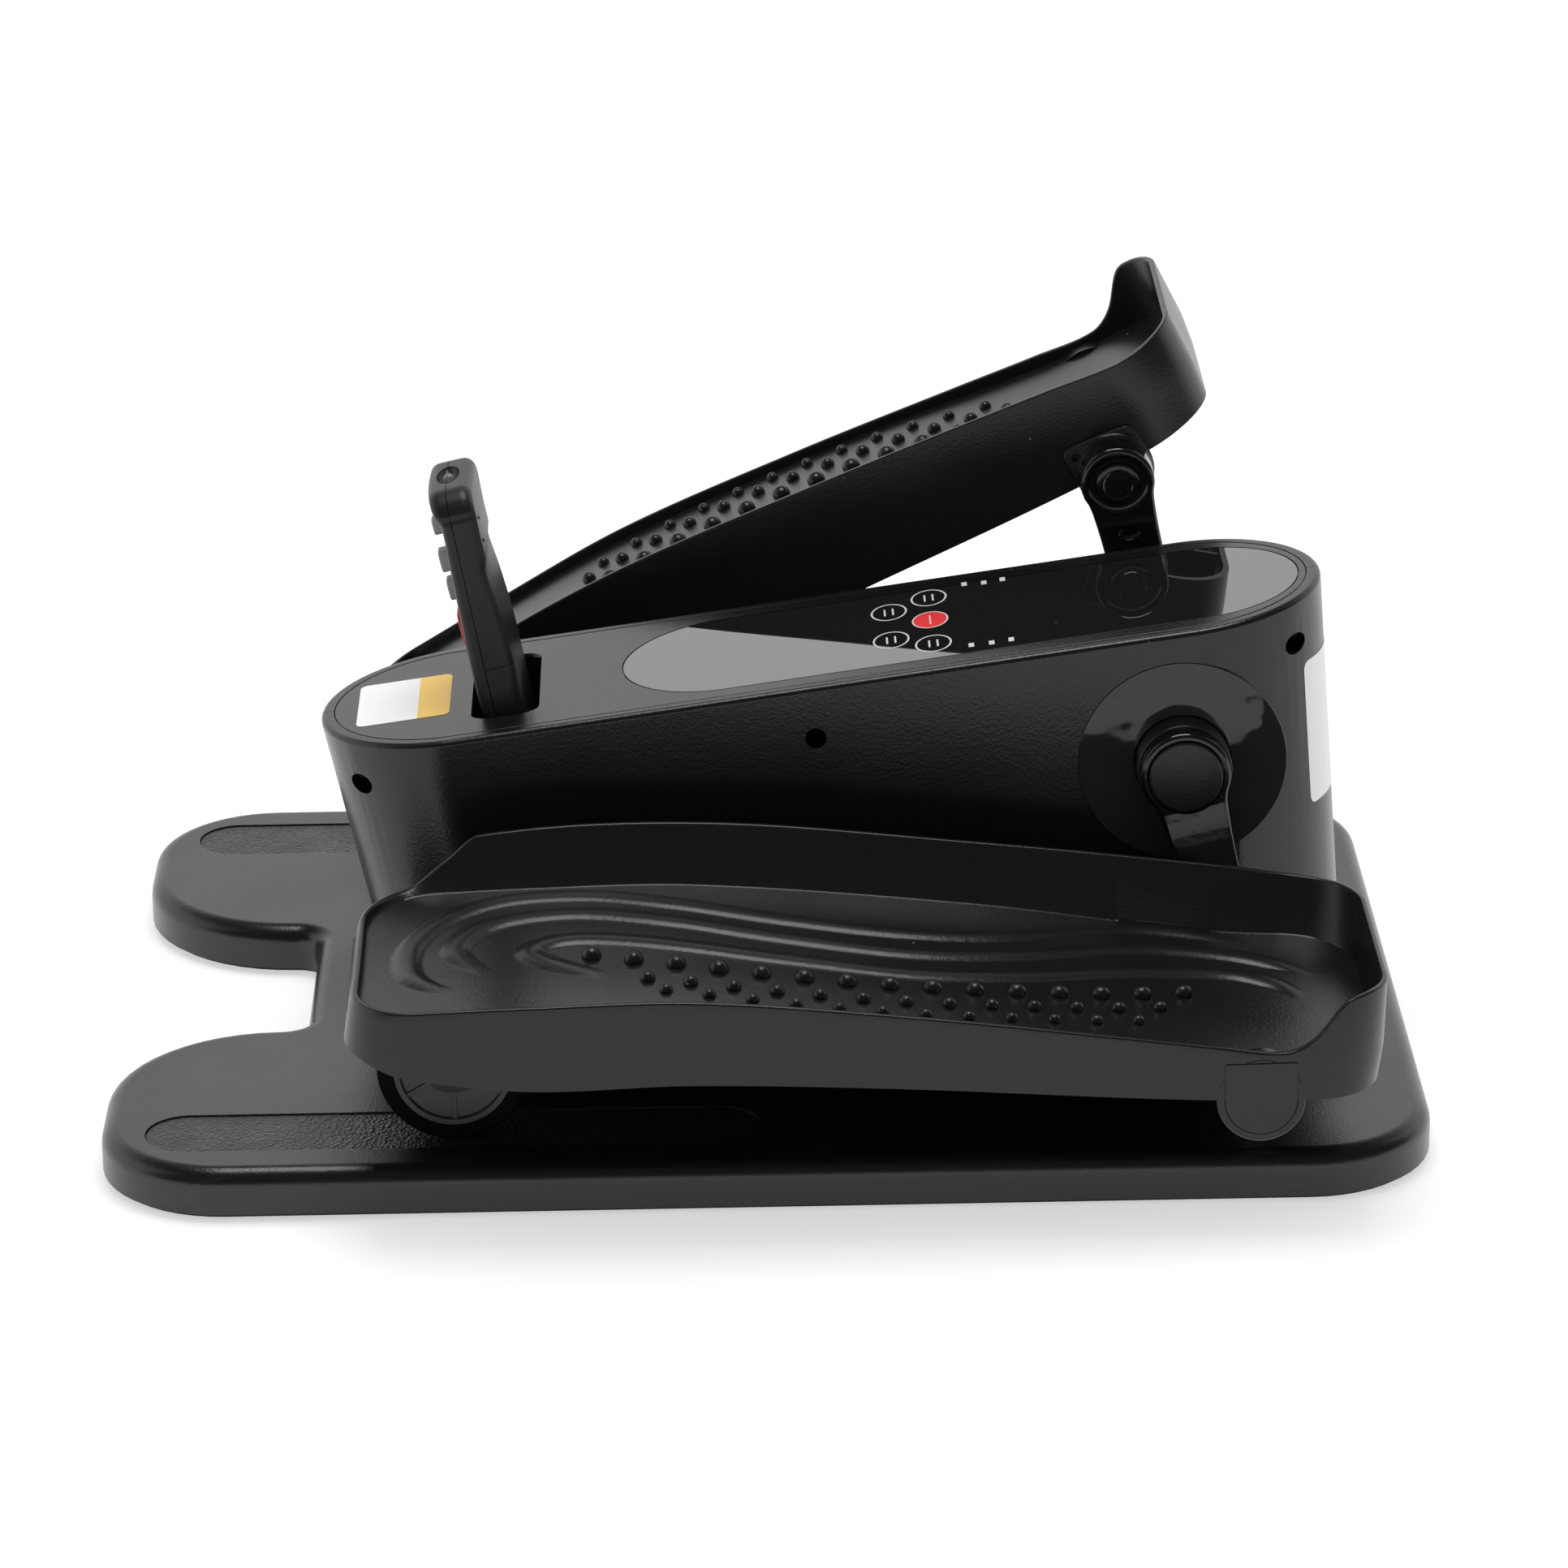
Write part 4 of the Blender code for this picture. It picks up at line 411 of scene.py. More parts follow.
def put(tree, kind, links=None, **settings):
    """A new node with its settings, its sockets linked or given a value."""
    made = tree.nodes.new(kind)
    for key, value in settings.items():
        setattr(made, key, value)
    for socket, source in (links or {}).items():
        if isinstance(source, bpy.types.NodeSocket):
            tree.links.new(source, made.inputs[socket])
        else:
            made.inputs[socket].default_value = source
    return made


def new_group(name, inputs, outputs):
    group = bpy.data.node_groups.new(name, "ShaderNodeTree")
    for label, kind, value in inputs:
        socket = group.interface.new_socket(label, in_out="INPUT", socket_type=kind)
        if value is not None:
            socket.default_value = value
    for label, kind in outputs:
        group.interface.new_socket(label, in_out="OUTPUT", socket_type=kind)
    return group, group.nodes.new("NodeGroupInput"), group.nodes.new("NodeGroupOutput")


def math_node(tree, operation, *values, clamp=False):
    made = put(tree, "ShaderNodeMath", operation=operation, use_clamp=clamp)
    for socket, value in zip(made.inputs, values):
        if isinstance(value, bpy.types.NodeSocket):
            tree.links.new(value, socket)
        else:
            socket.default_value = value
    return made.outputs[0]


def ramp(tree, value, low, high, to_low=0.0, to_high=1.0):
    made = put(tree, "ShaderNodeMapRange", {
        "Value": value, "From Min": low, "From Max": high, "To Min": to_low, "To Max": to_high,
    })
    return made.outputs["Result"]


def opaque(colour, factor=1.0, added=0.0):
    return (*(c * factor + added for c in colour), 1.0)


def blend(tree, factor, first, second):
    """A colour between two, each a value or a socket."""
    return put(tree, "ShaderNodeMix", {"Factor": factor, 6: first, 7: second}, data_type="RGBA").outputs[2]


def noise_node(tree, vector, scale, **sockets):
    links = {"Vector": vector, "Scale": scale}
    links.update((key.capitalize(), value) for key, value in sockets.items())
    return put(tree, "ShaderNodeTexNoise", links).outputs["Fac"]


def wire(tree, shader, **sources):
    """Links sources to the shader's sockets; an underscore stands for a space."""
    for socket, source in sources.items():
        tree.links.new(source, shader.inputs[socket.replace("_", " ")])


def grain_group():
    """Leathery grain as moulded plastic takes it from an etched tool."""
    group, inside, outside = new_group(
        "Moulded Grain", [("Vector", "NodeSocketVector", None), ("Size", "NodeSocketFloat", 900.0)],
        [("Height", "NodeSocketFloat")],
    )
    cells = put(group, "ShaderNodeTexVoronoi", {
        "Vector": inside.outputs["Vector"], "Scale": inside.outputs["Size"], "Smoothness": 0.6,
    }, feature="SMOOTH_F1")
    finer = math_node(group, "MULTIPLY", inside.outputs["Size"], 0.45)
    noise = noise_node(group, inside.outputs["Vector"], finer, detail=3.0, roughness=0.6)
    high = math_node(group, "MULTIPLY", cells.outputs["Distance"], 0.7)
    low = math_node(group, "MULTIPLY", noise, 0.6)
    group.links.new(math_node(group, "ADD", high, low), outside.inputs["Height"])
    return group


def handling_group():
    """Faint rub marks and specks of lint."""
    group, inside, outside = new_group(
        "Handling Marks", [("Vector", "NodeSocketVector", None)],
        [("Rubs", "NodeSocketFloat"), ("Lint", "NodeSocketFloat")],
    )
    patches = noise_node(group, inside.outputs["Vector"], 11.0, detail=3.0, roughness=0.55)
    stretched = put(group, "ShaderNodeMapping", {
        "Vector": inside.outputs["Vector"], "Rotation": (0.3, 0.2, 0.5), "Scale": (40.0, 520.0, 260.0),
    })
    streaks = noise_node(group, stretched.outputs["Vector"], 1.0, detail=2.0)
    rubs = math_node(group, "MULTIPLY", ramp(group, patches, 0.52, 0.74), ramp(group, streaks, 0.55, 0.72))
    dots = put(group, "ShaderNodeTexVoronoi", {"Vector": inside.outputs["Vector"], "Scale": 95.0})
    small = ramp(group, dots.outputs["Distance"], 0.050, 0.030)
    split = put(group, "ShaderNodeSeparateColor", {"Color": dots.outputs["Color"]})
    few = math_node(group, "GREATER_THAN", split.outputs[0], 0.93)
    group.links.new(rubs, outside.inputs["Rubs"])
    group.links.new(math_node(group, "MULTIPLY", small, few), outside.inputs["Lint"])
    return group


def drift_group():
    """Slow changes of sheen across a large moulding."""
    group, inside, outside = new_group(
        "Uneven Sheen", [("Vector", "NodeSocketVector", None), ("Size", "NodeSocketFloat", 14.0)],
        [("Value", "NodeSocketFloat")],
    )
    noise = noise_node(group, inside.outputs["Vector"], inside.outputs["Size"], detail=4.0, roughness=0.5)
    group.links.new(ramp(group, noise, 0.3, 0.7), outside.inputs["Value"])
    return group


def shared(name):
    makers = {"Moulded Grain": grain_group, "Handling Marks": handling_group, "Uneven Sheen": drift_group}
    return bpy.data.node_groups.get(name) or makers[name]()


def new_material(name):
    material = bpy.data.materials.new(name)
    material.use_nodes = True
    tree = material.node_tree
    shader = tree.nodes["Principled BSDF"]
    place = tree.nodes.new("ShaderNodeTexCoord").outputs["Object"]
    return material, tree, shader, place


def use_group(tree, name, place, **values):
    made = put(tree, "ShaderNodeGroup", node_tree=shared(name))
    tree.links.new(place, made.inputs["Vector"])
    for key, value in values.items():
        made.inputs[key].default_value = value
    return made


def set_bump(tree, shader, height, depth, strength=1.0):
    bump = put(tree, "ShaderNodeBump", {"Height": height, "Distance": depth, "Strength": strength})
    tree.links.new(bump.outputs["Normal"], shader.inputs["Normal"])


def moulded_plastic(name, colour, roughness, grain=900.0, depth=0.00003, rubs=0.02, lint=0.10, ior=1.5):
    """Grained plastic: dark, with rub marks, lint and a sheen that changes slowly."""
    material, tree, shader, place = new_material(name)
    marks = use_group(tree, "Handling Marks", place)
    sheen = use_group(tree, "Uneven Sheen", place)
    rubbed = blend(tree, marks.outputs["Rubs"], opaque(colour), opaque(colour, 1.0, rubs))
    dusty = blend(tree, marks.outputs["Lint"], rubbed, opaque(colour, 1.0, lint))
    rough = ramp(tree, sheen.outputs["Value"], 0.0, 1.0, roughness - 0.035, roughness + 0.035)
    rough = math_node(tree, "ADD", rough, math_node(tree, "MULTIPLY", marks.outputs["Rubs"], 0.03))
    wire(tree, shader, Base_Color=dusty, Roughness=rough)
    shader.inputs["IOR"].default_value = ior
    skin = use_group(tree, "Moulded Grain", place, Size=grain)
    set_bump(tree, shader, skin.outputs["Height"], depth)
    return material


def glossy_finish(name, colour, roughness, wave_size, wave_depth, coat=0.0, rubs=0.01):
    """Polished plastic or thick paint with a slow ripple that bends reflections."""
    material, tree, shader, place = new_material(name)
    marks = use_group(tree, "Handling Marks", place)
    sheen = use_group(tree, "Uneven Sheen", place, Size=30.0)
    rubbed = blend(tree, marks.outputs["Rubs"], opaque(colour), opaque(colour, 1.0, rubs))
    rough = ramp(tree, sheen.outputs["Value"], 0.0, 1.0, roughness * 0.8, roughness * 1.2)
    wire(tree, shader, Base_Color=rubbed, Roughness=rough)
    shader.inputs["Coat Weight"].default_value = coat
    shader.inputs["Coat Roughness"].default_value = roughness
    set_bump(tree, shader, noise_node(tree, place, wave_size, detail=2.0, roughness=0.4), wave_depth)
    return material


def rubber(name, colour, roughness, grain=600.0, depth=0.00004, specular=0.5):
    """Matt rubber, a little cloudy."""
    material, tree, shader, place = new_material(name)
    cloudy = noise_node(tree, place, 60.0, detail=4.0)
    base = blend(tree, cloudy, opaque(colour, 0.85), opaque(colour, 1.15))
    rough = ramp(tree, cloudy, 0.3, 0.7, roughness - 0.05, roughness + 0.05)
    wire(tree, shader, Base_Color=base, Roughness=rough)
    shader.inputs["Specular IOR Level"].default_value = specular
    skin = use_group(tree, "Moulded Grain", place, Size=grain)
    set_bump(tree, shader, skin.outputs["Height"], depth)
    return material


def plated_steel(name, colour, roughness):
    """Drawn metal with a crystalline plating."""
    material, tree, shader, place = new_material(name)
    flakes = put(tree, "ShaderNodeTexVoronoi", {"Vector": place, "Scale": 220.0})
    drawn = put(tree, "ShaderNodeMapping", {"Vector": place, "Scale": (1800.0, 60.0, 1800.0)})
    lines = noise_node(tree, drawn.outputs["Vector"], 1.0, detail=3.0)
    base = blend(tree, flakes.outputs["Distance"], opaque(colour), opaque(colour, 0.8))
    dull = ramp(tree, lines, 0.3, 0.7, roughness - 0.08, roughness + 0.08)
    wire(tree, shader, Base_Color=base, Roughness=dull)
    shader.inputs["Metallic"].default_value = 1.0
    set_bump(tree, shader, lines, 0.00002)
    return material


def circuit_board(name):
    """Green board with tinned tracks."""
    material, tree, shader, place = new_material(name)
    tracks = put(tree, "ShaderNodeTexBrick", {
        "Vector": place, "Color1": (0.010, 0.085, 0.030, 1.0), "Color2": (0.016, 0.110, 0.042, 1.0),
        "Mortar": (0.30, 0.21, 0.07, 1.0), "Scale": 90.0, "Mortar Size": 0.02,
    })
    rough = ramp(tree, tracks.outputs["Fac"], 0.0, 1.0, 0.35, 0.25)
    wire(tree, shader, Base_Color=tracks.outputs["Color"], Roughness=rough)
    set_bump(tree, shader, tracks.outputs["Fac"], 0.00005)
    return material


def printed_film(name, colour, roughness=0.32):
    """Ink or film on a sticker: a flat colour with a faint fibre and a soft sheen."""
    material, tree, shader, place = new_material(name)
    fibre = noise_node(tree, place, 420.0, detail=4.0)
    base = blend(tree, fibre, opaque(colour, 0.95), opaque(colour))
    dull = ramp(tree, fibre, 0.3, 0.7, roughness - 0.04, roughness + 0.04)
    wire(tree, shader, Base_Color=base, Roughness=dull)
    set_bump(tree, shader, fibre, 0.00001)
    return material


def clear_resin(name):
    """The clear cap of the remote's lamp."""
    material, tree, shader, place = new_material(name)
    wire(tree, shader, Roughness=ramp(tree, noise_node(tree, place, 300.0), 0.3, 0.7, 0.02, 0.06))
    shader.inputs["Base Color"].default_value = (0.93, 0.94, 0.96, 1.0)
    shader.inputs["Transmission Weight"].default_value = 0.9
    shader.inputs["IOR"].default_value = 1.53
    return material


def make_finish(name):
    """Each finish: its maker, its colour and what else sets it apart."""
    colours = bpy.context.scene.trainer_colours
    sizes = bpy.context.scene.trainer_sizes
    fine = sizes.grain_depth
    makers = {
        "base plastic": (moulded_plastic, colours.shell, 0.28, 900.0, fine, 0.02, 0.10, 1.56),
        "housing plastic": (moulded_plastic, colours.shell, 0.26, 900.0, fine, 0.0015, 0.06),
        "cover plastic": (moulded_plastic, colours.shell, 0.22, 900.0, fine * 0.7, 0.002, 0.06),
        "tray plastic": (moulded_plastic, colours.tray, 0.28, 850.0, fine, 0.003, 0.20, 1.45),
        "fitting plastic": (moulded_plastic, colours.tray, 0.30, 1100.0, fine * 0.7, 0.004, 0.05, 1.46),
        "roller plastic": (moulded_plastic, (0.020, 0.020, 0.021), 0.42, 900.0, fine),
        "remote plastic": (moulded_plastic, colours.remote, 0.36, 1500.0, fine * 0.4, 0.003, 0.10, 1.42),
        "track grain": (rubber, colours.track, 0.36, 640.0, sizes.track_grain_depth),
        "black rubber": (rubber, (0.006, 0.006, 0.006), 0.62),
        "tyre rubber": (rubber, (0.0015, 0.0015, 0.0015), 0.70, 600.0, 0.00004, 0.08),
        "key rubber": (rubber, colours.key, 0.55, 900.0, 0.00002),
        "stop rubber": (rubber, colours.stop, 0.45, 900.0, 0.00002),
        "gloss window": (glossy_finish, colours.gloss, 0.018, 12.0, 0.00001, 0.9),
        "gloss disc": (glossy_finish, colours.disc, 0.05, 34.0, 0.0007),
        "crank paint": (glossy_finish, colours.paint, 0.14, 260.0, 0.00008, 0.1),
        "plated steel": (plated_steel, (0.56, 0.57, 0.59), 0.34),
        "dark steel": (plated_steel, (0.06, 0.06, 0.065), 0.40),
        "circuit board": (circuit_board,),
        "clear resin": (clear_resin,),
        "white film": (printed_film, (0.93, 0.93, 0.92)),
        "yellow film": (printed_film, colours.band),
        "grey ink": (printed_film, (0.20, 0.20, 0.21)),
        "white ink": (printed_film, (0.62, 0.62, 0.62)),
        "red ink": (printed_film, colours.stop),
    }
    maker, *values = makers[name]
    return maker(name, *values)


def finish(name):
    return bpy.data.materials.get(name) or make_finish(name)


# Shaping


def push(bm, faces, offset):
    """Extrudes the faces as one region, moves the new end and returns its faces."""
    made = bmesh.ops.extrude_face_region(bm, geom=faces)
    bmesh.ops.translate(bm, verts=[g for g in made["geom"] if isinstance(g, bmesh.types.BMVert)], vec=offset)
    return [g for g in made["geom"] if isinstance(g, bmesh.types.BMFace)]


def rounded_face(bm, corners, level=0.0, steps=12):
    """A flat face through (x, y, radius) corners; each right-angled corner is rounded by its radius."""
    verts = [bm.verts.new((x, y, level)) for x, y, _ in corners]
    bm.faces.new(verts)
    for vert, (_, _, radius) in zip(verts, corners):
        if radius:
            bmesh.ops.bevel(bm, geom=[vert], offset=radius, offset_type="OFFSET", affect="VERTICES",
                            segments=steps, profile=0.5, material=-1)
    bmesh.ops.remove_doubles(bm, verts=bm.verts, dist=1e-6)
    return bm.faces[:][0]


def box_face(bm, x0, x1, y0, y1, corner, level=0.0, steps=6):
    """A flat oblong face with four equal round corners."""
    corners = [(x, y, corner) for x, y in ((x0, y0), (x1, y0), (x1, y1), (x0, y1))]
    return rounded_face(bm, corners, level, steps)


def stadium_face(bm, x0, x1, half, level=0.0, steps=32):
    """A flat face with round ends."""
    turn = Matrix.Rotation(math.pi / (2 * steps), 4, "Z")
    made = bmesh.ops.create_circle(
        bm, cap_ends=True, segments=2 * steps, radius=half / math.cos(math.pi / (2 * steps)), matrix=turn
    )
    for vert in made["verts"]:
        vert.co.x += x1 - half if vert.co.x > 0 else x0 + half
        vert.co.z = level
    return made["verts"][0].link_faces[0]


def stadium_plate(x0, x1, half, low, high, steps=32):
    """A plate with round ends from one level to another."""
    bm = bmesh.new()
    push(bm, [stadium_face(bm, x0, x1, half, low, steps)], (0, 0, high - low))
    return bm


def ball(bm, place, sizes, around=32, rings=16):
    """Adds an ellipsoid of three half sizes at a place (a matrix or a point) and returns its verts."""
    if not isinstance(place, Matrix):
        place = Matrix.Translation(place)
    made = bmesh.ops.create_uvsphere(
        bm, u_segments=around, v_segments=rings, radius=1.0, matrix=place @ Matrix.Diagonal((*sizes, 1.0))
    )
    return made["verts"]


def turned(profile, steps=64, closed=False):
    """A body of revolution about the Y axis from (radius, y) points."""
    bm = bmesh.new()
    verts = [bm.verts.new((radius, y, 0.0)) for radius, y in profile]
    pairs = list(zip(verts, verts[1:]))
    if closed:
        pairs.append((verts[-1], verts[0]))
    edges = [bm.edges.new(pair) for pair in pairs]
    bmesh.ops.spin(bm, geom=verts + edges, cent=(0, 0, 0), axis=(0, 1, 0), dvec=(0, 0, 0),
                   angle=2 * math.pi, steps=steps, use_merge=True, use_duplicate=False)
    bmesh.ops.remove_doubles(bm, verts=bm.verts, dist=1e-6)
    bmesh.ops.recalc_face_normals(bm, faces=bm.faces)
    return bm


def soften(bm, width, segments=2, angle=32.0, chosen=None):
    """Rounds the edges, or those of the chosen ones, that turn by more than the angle."""
    limit = math.radians(angle)
    bmesh.ops.recalc_face_normals(bm, faces=bm.faces)
    edges = [
        e for e in (chosen or bm.edges) if len(e.link_faces) == 2 and e.calc_face_angle(0.0) > limit
    ]
    bmesh.ops.bevel(bm, geom=edges, offset=width, offset_type="OFFSET", affect="EDGES",
                    segments=segments, profile=0.5, material=-1, clamp_overlap=True)
    return bm


def edges_at(bm, test):
    """Edges whose two ends pass the test."""
    return [e for e in bm.edges if all(test(v.co) for v in e.verts)]


def moved(bm, matrix):
    bmesh.ops.transform(bm, matrix=matrix, verts=bm.verts)
    return bm


def block(low, high):
    bm = bmesh.new()
    centre = [(a + b) / 2 for a, b in zip(low, high)]
    size = [b - a for a, b in zip(low, high)]
    bmesh.ops.create_cube(bm, size=1.0, matrix=Matrix.Translation(centre) @ Matrix.Diagonal((*size, 1.0)))
    return bm


def merged(*parts):
    """Several meshes as one."""
    whole = bmesh.new()
    for part in parts:
        mesh = bpy.data.meshes.new("part")
        part.to_mesh(mesh)
        part.free()
        whole.from_mesh(mesh)
        bpy.data.meshes.remove(mesh)
    return whole


def as_object(bm, name, recalc=True):
    """The mesh as an object in the scene."""
    if recalc:
        bmesh.ops.recalc_face_normals(bm, faces=bm.faces)
    mesh = bpy.data.meshes.new(name)
    bm.to_mesh(mesh)
    bm.free()
    made = bpy.data.objects.new(name, mesh)
    bpy.context.scene.collection.objects.link(made)
    return made


def carve(bm, tool, operation="DIFFERENCE"):
    """The mesh with the tool taken away, added or shared, by an exact Boolean."""
    body = as_object(bm, "carved")
    cutter = as_object(tool, "cutter")
    modifier = body.modifiers.new("Boolean", "BOOLEAN")
    modifier.operation = operation
    modifier.object = cutter
    depsgraph = bpy.context.evaluated_depsgraph_get()
    depsgraph.update()
    result = bpy.data.meshes.new_from_object(body.evaluated_get(depsgraph))
    out = bmesh.new()
    out.from_mesh(result)
    for obj in (body, cutter):
        mesh = obj.data
        bpy.data.objects.remove(obj)
        bpy.data.meshes.remove(mesh)
    bpy.data.meshes.remove(result)
    return out


def slice_along(bm, direction, stations):
    """Adds edges across the mesh where planes square to the direction cut it."""
    for station in stations:
        bmesh.ops.bisect_plane(
            bm, geom=bm.verts[:] + bm.edges[:] + bm.faces[:], dist=1e-6,
            plane_co=Vector(direction) * station, plane_no=direction,
        )


def finish_piece(name, bm, body, materials, stands_for=(), slot=None, sharp=32.0, weighted=True, recalc=True):
    """The mesh as a shaded object at the origin that rides on its body."""
    piece = as_object(bm, name, recalc)
    piece.data.shade_smooth()
    piece.data.set_sharp_from_angle(angle=math.radians(sharp))
    for material in materials:
        piece.data.materials.append(finish(material))
    if weighted:
        modifier = piece.modifiers.new("Weighted Normal", "WEIGHTED_NORMAL")
        modifier.keep_sharp = True
        modifier.weight = 100
    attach(piece, body)
    if stands_for:
        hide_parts(*stands_for)
    return piece


def dress(material, *names):
    """Gives CAD nodes a finish in their own slots."""
    for name in names:
        node = NODES[name]
        if not node.material_slots:
            node.data.materials.append(finish(material))
        for place in node.material_slots:
            place.material = finish(material)


def curve(points, x):
    """Heights of a smooth curve through the points, level beyond its ends."""
    px, py = (np.array(column) for column in zip(*points))
    slopes = np.empty_like(py)
    slopes[1:-1] = (py[2:] - py[:-2]) / (px[2:] - px[:-2])
    slopes[0] = (py[1] - py[0]) / (px[1] - px[0])
    slopes[-1] = (py[-1] - py[-2]) / (px[-1] - px[-2])
    x = np.asarray(x, float)
    i = np.clip(np.searchsorted(px, x, side="right") - 1, 0, len(px) - 2)
    width = px[i + 1] - px[i]
    t = np.clip((x - px[i]) / width, 0.0, 1.0)
    return (
        (2 * t**3 - 3 * t**2 + 1) * py[i] + (t**3 - 2 * t**2 + t) * width * slopes[i]
        + (3 * t**2 - 2 * t**3) * py[i + 1] + (t**3 - t**2) * width * slopes[i + 1]
    )


def smooth_step(t):
    t = np.clip(t, 0.0, 1.0)
    return t * t * (3.0 - 2.0 * t)


# Places


def rim_z(x):
    return RIM_REAR_Z + (x - RIM_REAR_X) * math.tan(SLOPE)


def slope_matrix():
    """Lays plan coordinates on the housing's top plane; z is the height square to the plane."""
    return Matrix((
        (1.0, 0.0, -math.sin(SLOPE), 0.0),
        (0.0, 1.0, 0.0, 0.0),
        (math.tan(SLOPE), 0.0, math.cos(SLOPE), RIM_REAR_Z - RIM_REAR_X * math.tan(SLOPE)),
        (0.0, 0.0, 0.0, 1.0),
    ))


def crank_matrix():
    return Matrix.Translation((CRANK_X, 0.0, CRANK_Z)) @ Matrix.Rotation(-CRANK_PHASE, 4, "Y")


def tray_matrix(side):
    """The tray's place at rest: hung on its crank pin, with its heel roller on the track."""
    x = CRANK_X - side * CRANK_RADIUS * math.sin(CRANK_PHASE)
    z = CRANK_Z + side * CRANK_RADIUS * math.cos(CRANK_PHASE)
    tilt = math.asin((z - ROLLER_Z) / PIVOT_TO_ROLLER)
    return Matrix.Translation((x, 0.0, z)) @ Matrix.Rotation(-tilt, 4, "Y")


def remote_matrix():
    lean = Matrix.Rotation(-REMOTE_LEAN, 4, "Y")
    foot = Matrix.Translation((0, 0, -REMOTE_IN_POCKET))
    return Matrix.Translation((REMOTE_X, 0.0, REMOTE_Z)) @ lean @ foot


def mirror_y(bm, side):
    """Keeps the far side's mesh, and mirrors it in the centre plane for the near side."""
    if side == NEAR:
        bmesh.ops.transform(bm, matrix=Matrix.Scale(-1, 4, (0, 1, 0)), verts=bm.verts)
        bmesh.ops.reverse_faces(bm, faces=bm.faces)
    return bm


# Base


def base_corners(inset):
    rear, front = -BASE_LENGTH / 2 + inset, BASE_LENGTH / 2 - inset
    side, notch_y = BASE_WIDTH / 2 - inset, NOTCH_WIDTH / 2 + inset
    notch_x = -BASE_LENGTH / 2 + NOTCH_DEPTH + inset
    corner, lobe, fillet = BASE_CORNER - inset, LOBE_INNER_CORNER - inset, NOTCH_FILLET + inset
    return [
        (front, -side, corner), (front, side, corner), (rear, side, corner), (rear, notch_y, lobe),
        (notch_x, notch_y, fillet), (notch_x, -notch_y, fillet),
        (rear, -notch_y, lobe), (rear, -side, corner),
    ]


def track_plate(side, inset, low, high):
    start = -BASE_LENGTH / 2 + TRACK_FROM_END
    bm = stadium_plate(start + inset, start + TRACK_LENGTH - inset, TRACK_WIDTH / 2 - inset, low, high, 24)
    return moved(bm, Matrix.Translation((0, side * TRACK_CENTRE, 0)))


def base_plate(inset, low, high):
    bm = bmesh.new()
    push(bm, [rounded_face(bm, base_corners(inset), low)], (0, 0, high - low))
    return bm


def build_base():
    bm = base_plate(0.0, BASE_UNDERSIDE, BASE_TOP)
    soften(bm, BASE_EDGE_ROUND, 8, chosen=edges_at(bm, lambda co: co.z > BASE_TOP - 1e-5))
    soften(bm, BASE_FOOT_ROUND, 2, chosen=edges_at(bm, lambda co: co.z < BASE_UNDERSIDE + 1e-5))
    recess = TRACK_TOP - TRACK_THICKNESS - GAP
    track_end = TRACK_LENGTH - BASE_LENGTH / 2 + TRACK_FROM_END + 0.002
    for side in SIDES.values():
        bm = carve(bm, track_plate(side, 0.0, recess, BASE_TOP + 0.01))
        rim = edges_at(bm, lambda co: co.z > BASE_TOP - 1e-5 and co.x < track_end
                       and abs(co.y - side * TRACK_CENTRE) < TRACK_WIDTH * 0.51)
        soften(bm, TRACK_RIM_ROUND, 2, chosen=rim)
    finish_piece("base_moulding", bm, "stand", ["base plastic"], ["base_tray"], "shell")
    for name, side in SIDES.items():
        strip = soften(track_plate(side, TRACK_PLAY, recess + GAP, TRACK_TOP), STRIP_ROUND, 2)
        node = f"track_strip_{name}"
        finish_piece(f"roller_track_{name}", strip, "stand", ["track grain"], [node], "grain")
    plate = soften(base_plate(PLATE_INSET, FOOT_HEIGHT + GAP, BASE_UNDERSIDE - GAP), PLATE_ROUND, 1)
    finish_piece("under_plate", plate, "stand", ["black rubber"], ["bottom_plate"], "rubber")
    dress("black rubber", "foot_front_near", "foot_front_far", "foot_rear_near", "foot_rear_far")


# Housing


def wedge(inset, drop, low=BASE_TOP + GAP, steps=32):
    """The housing's solid wedge, moved inwards by the inset and its top down by the drop."""
    bm = bmesh.new()
    half = HOUSING_WIDTH / 2 - inset
    foot = stadium_face(bm, SKIRT_REAR_X + inset, SKIRT_FRONT_X - inset, half, low, steps)
    top = push(bm, [foot], (0, 0, 1.0))
    middle = (SKIRT_REAR_X + SKIRT_FRONT_X) / 2
    for vert in {v for f in top for v in f.verts}:
        vert.co.x += RIM_REAR_X - SKIRT_REAR_X if vert.co.x < middle else RIM_FRONT_X - SKIRT_FRONT_X
        vert.co.z = rim_z(vert.co.x) - drop
    return bm


def rod(radius, y0, y1, x, z, steps=32):
    """A round rod along Y."""
    bm = turned([(0.0, y0), (radius, y0), (radius, y1), (0.0, y1)], steps)
    return moved(bm, Matrix.Translation((x, 0, z)))


def top_plate(inset, low, high):
    """A plate with round ends on the housing's top plane, set in from the rim."""
    bm = stadium_plate(RIM_REAR_X + inset, RIM_FRONT_X - inset, HOUSING_WIDTH / 2 - inset, low, high)
    return moved(bm, slope_matrix())


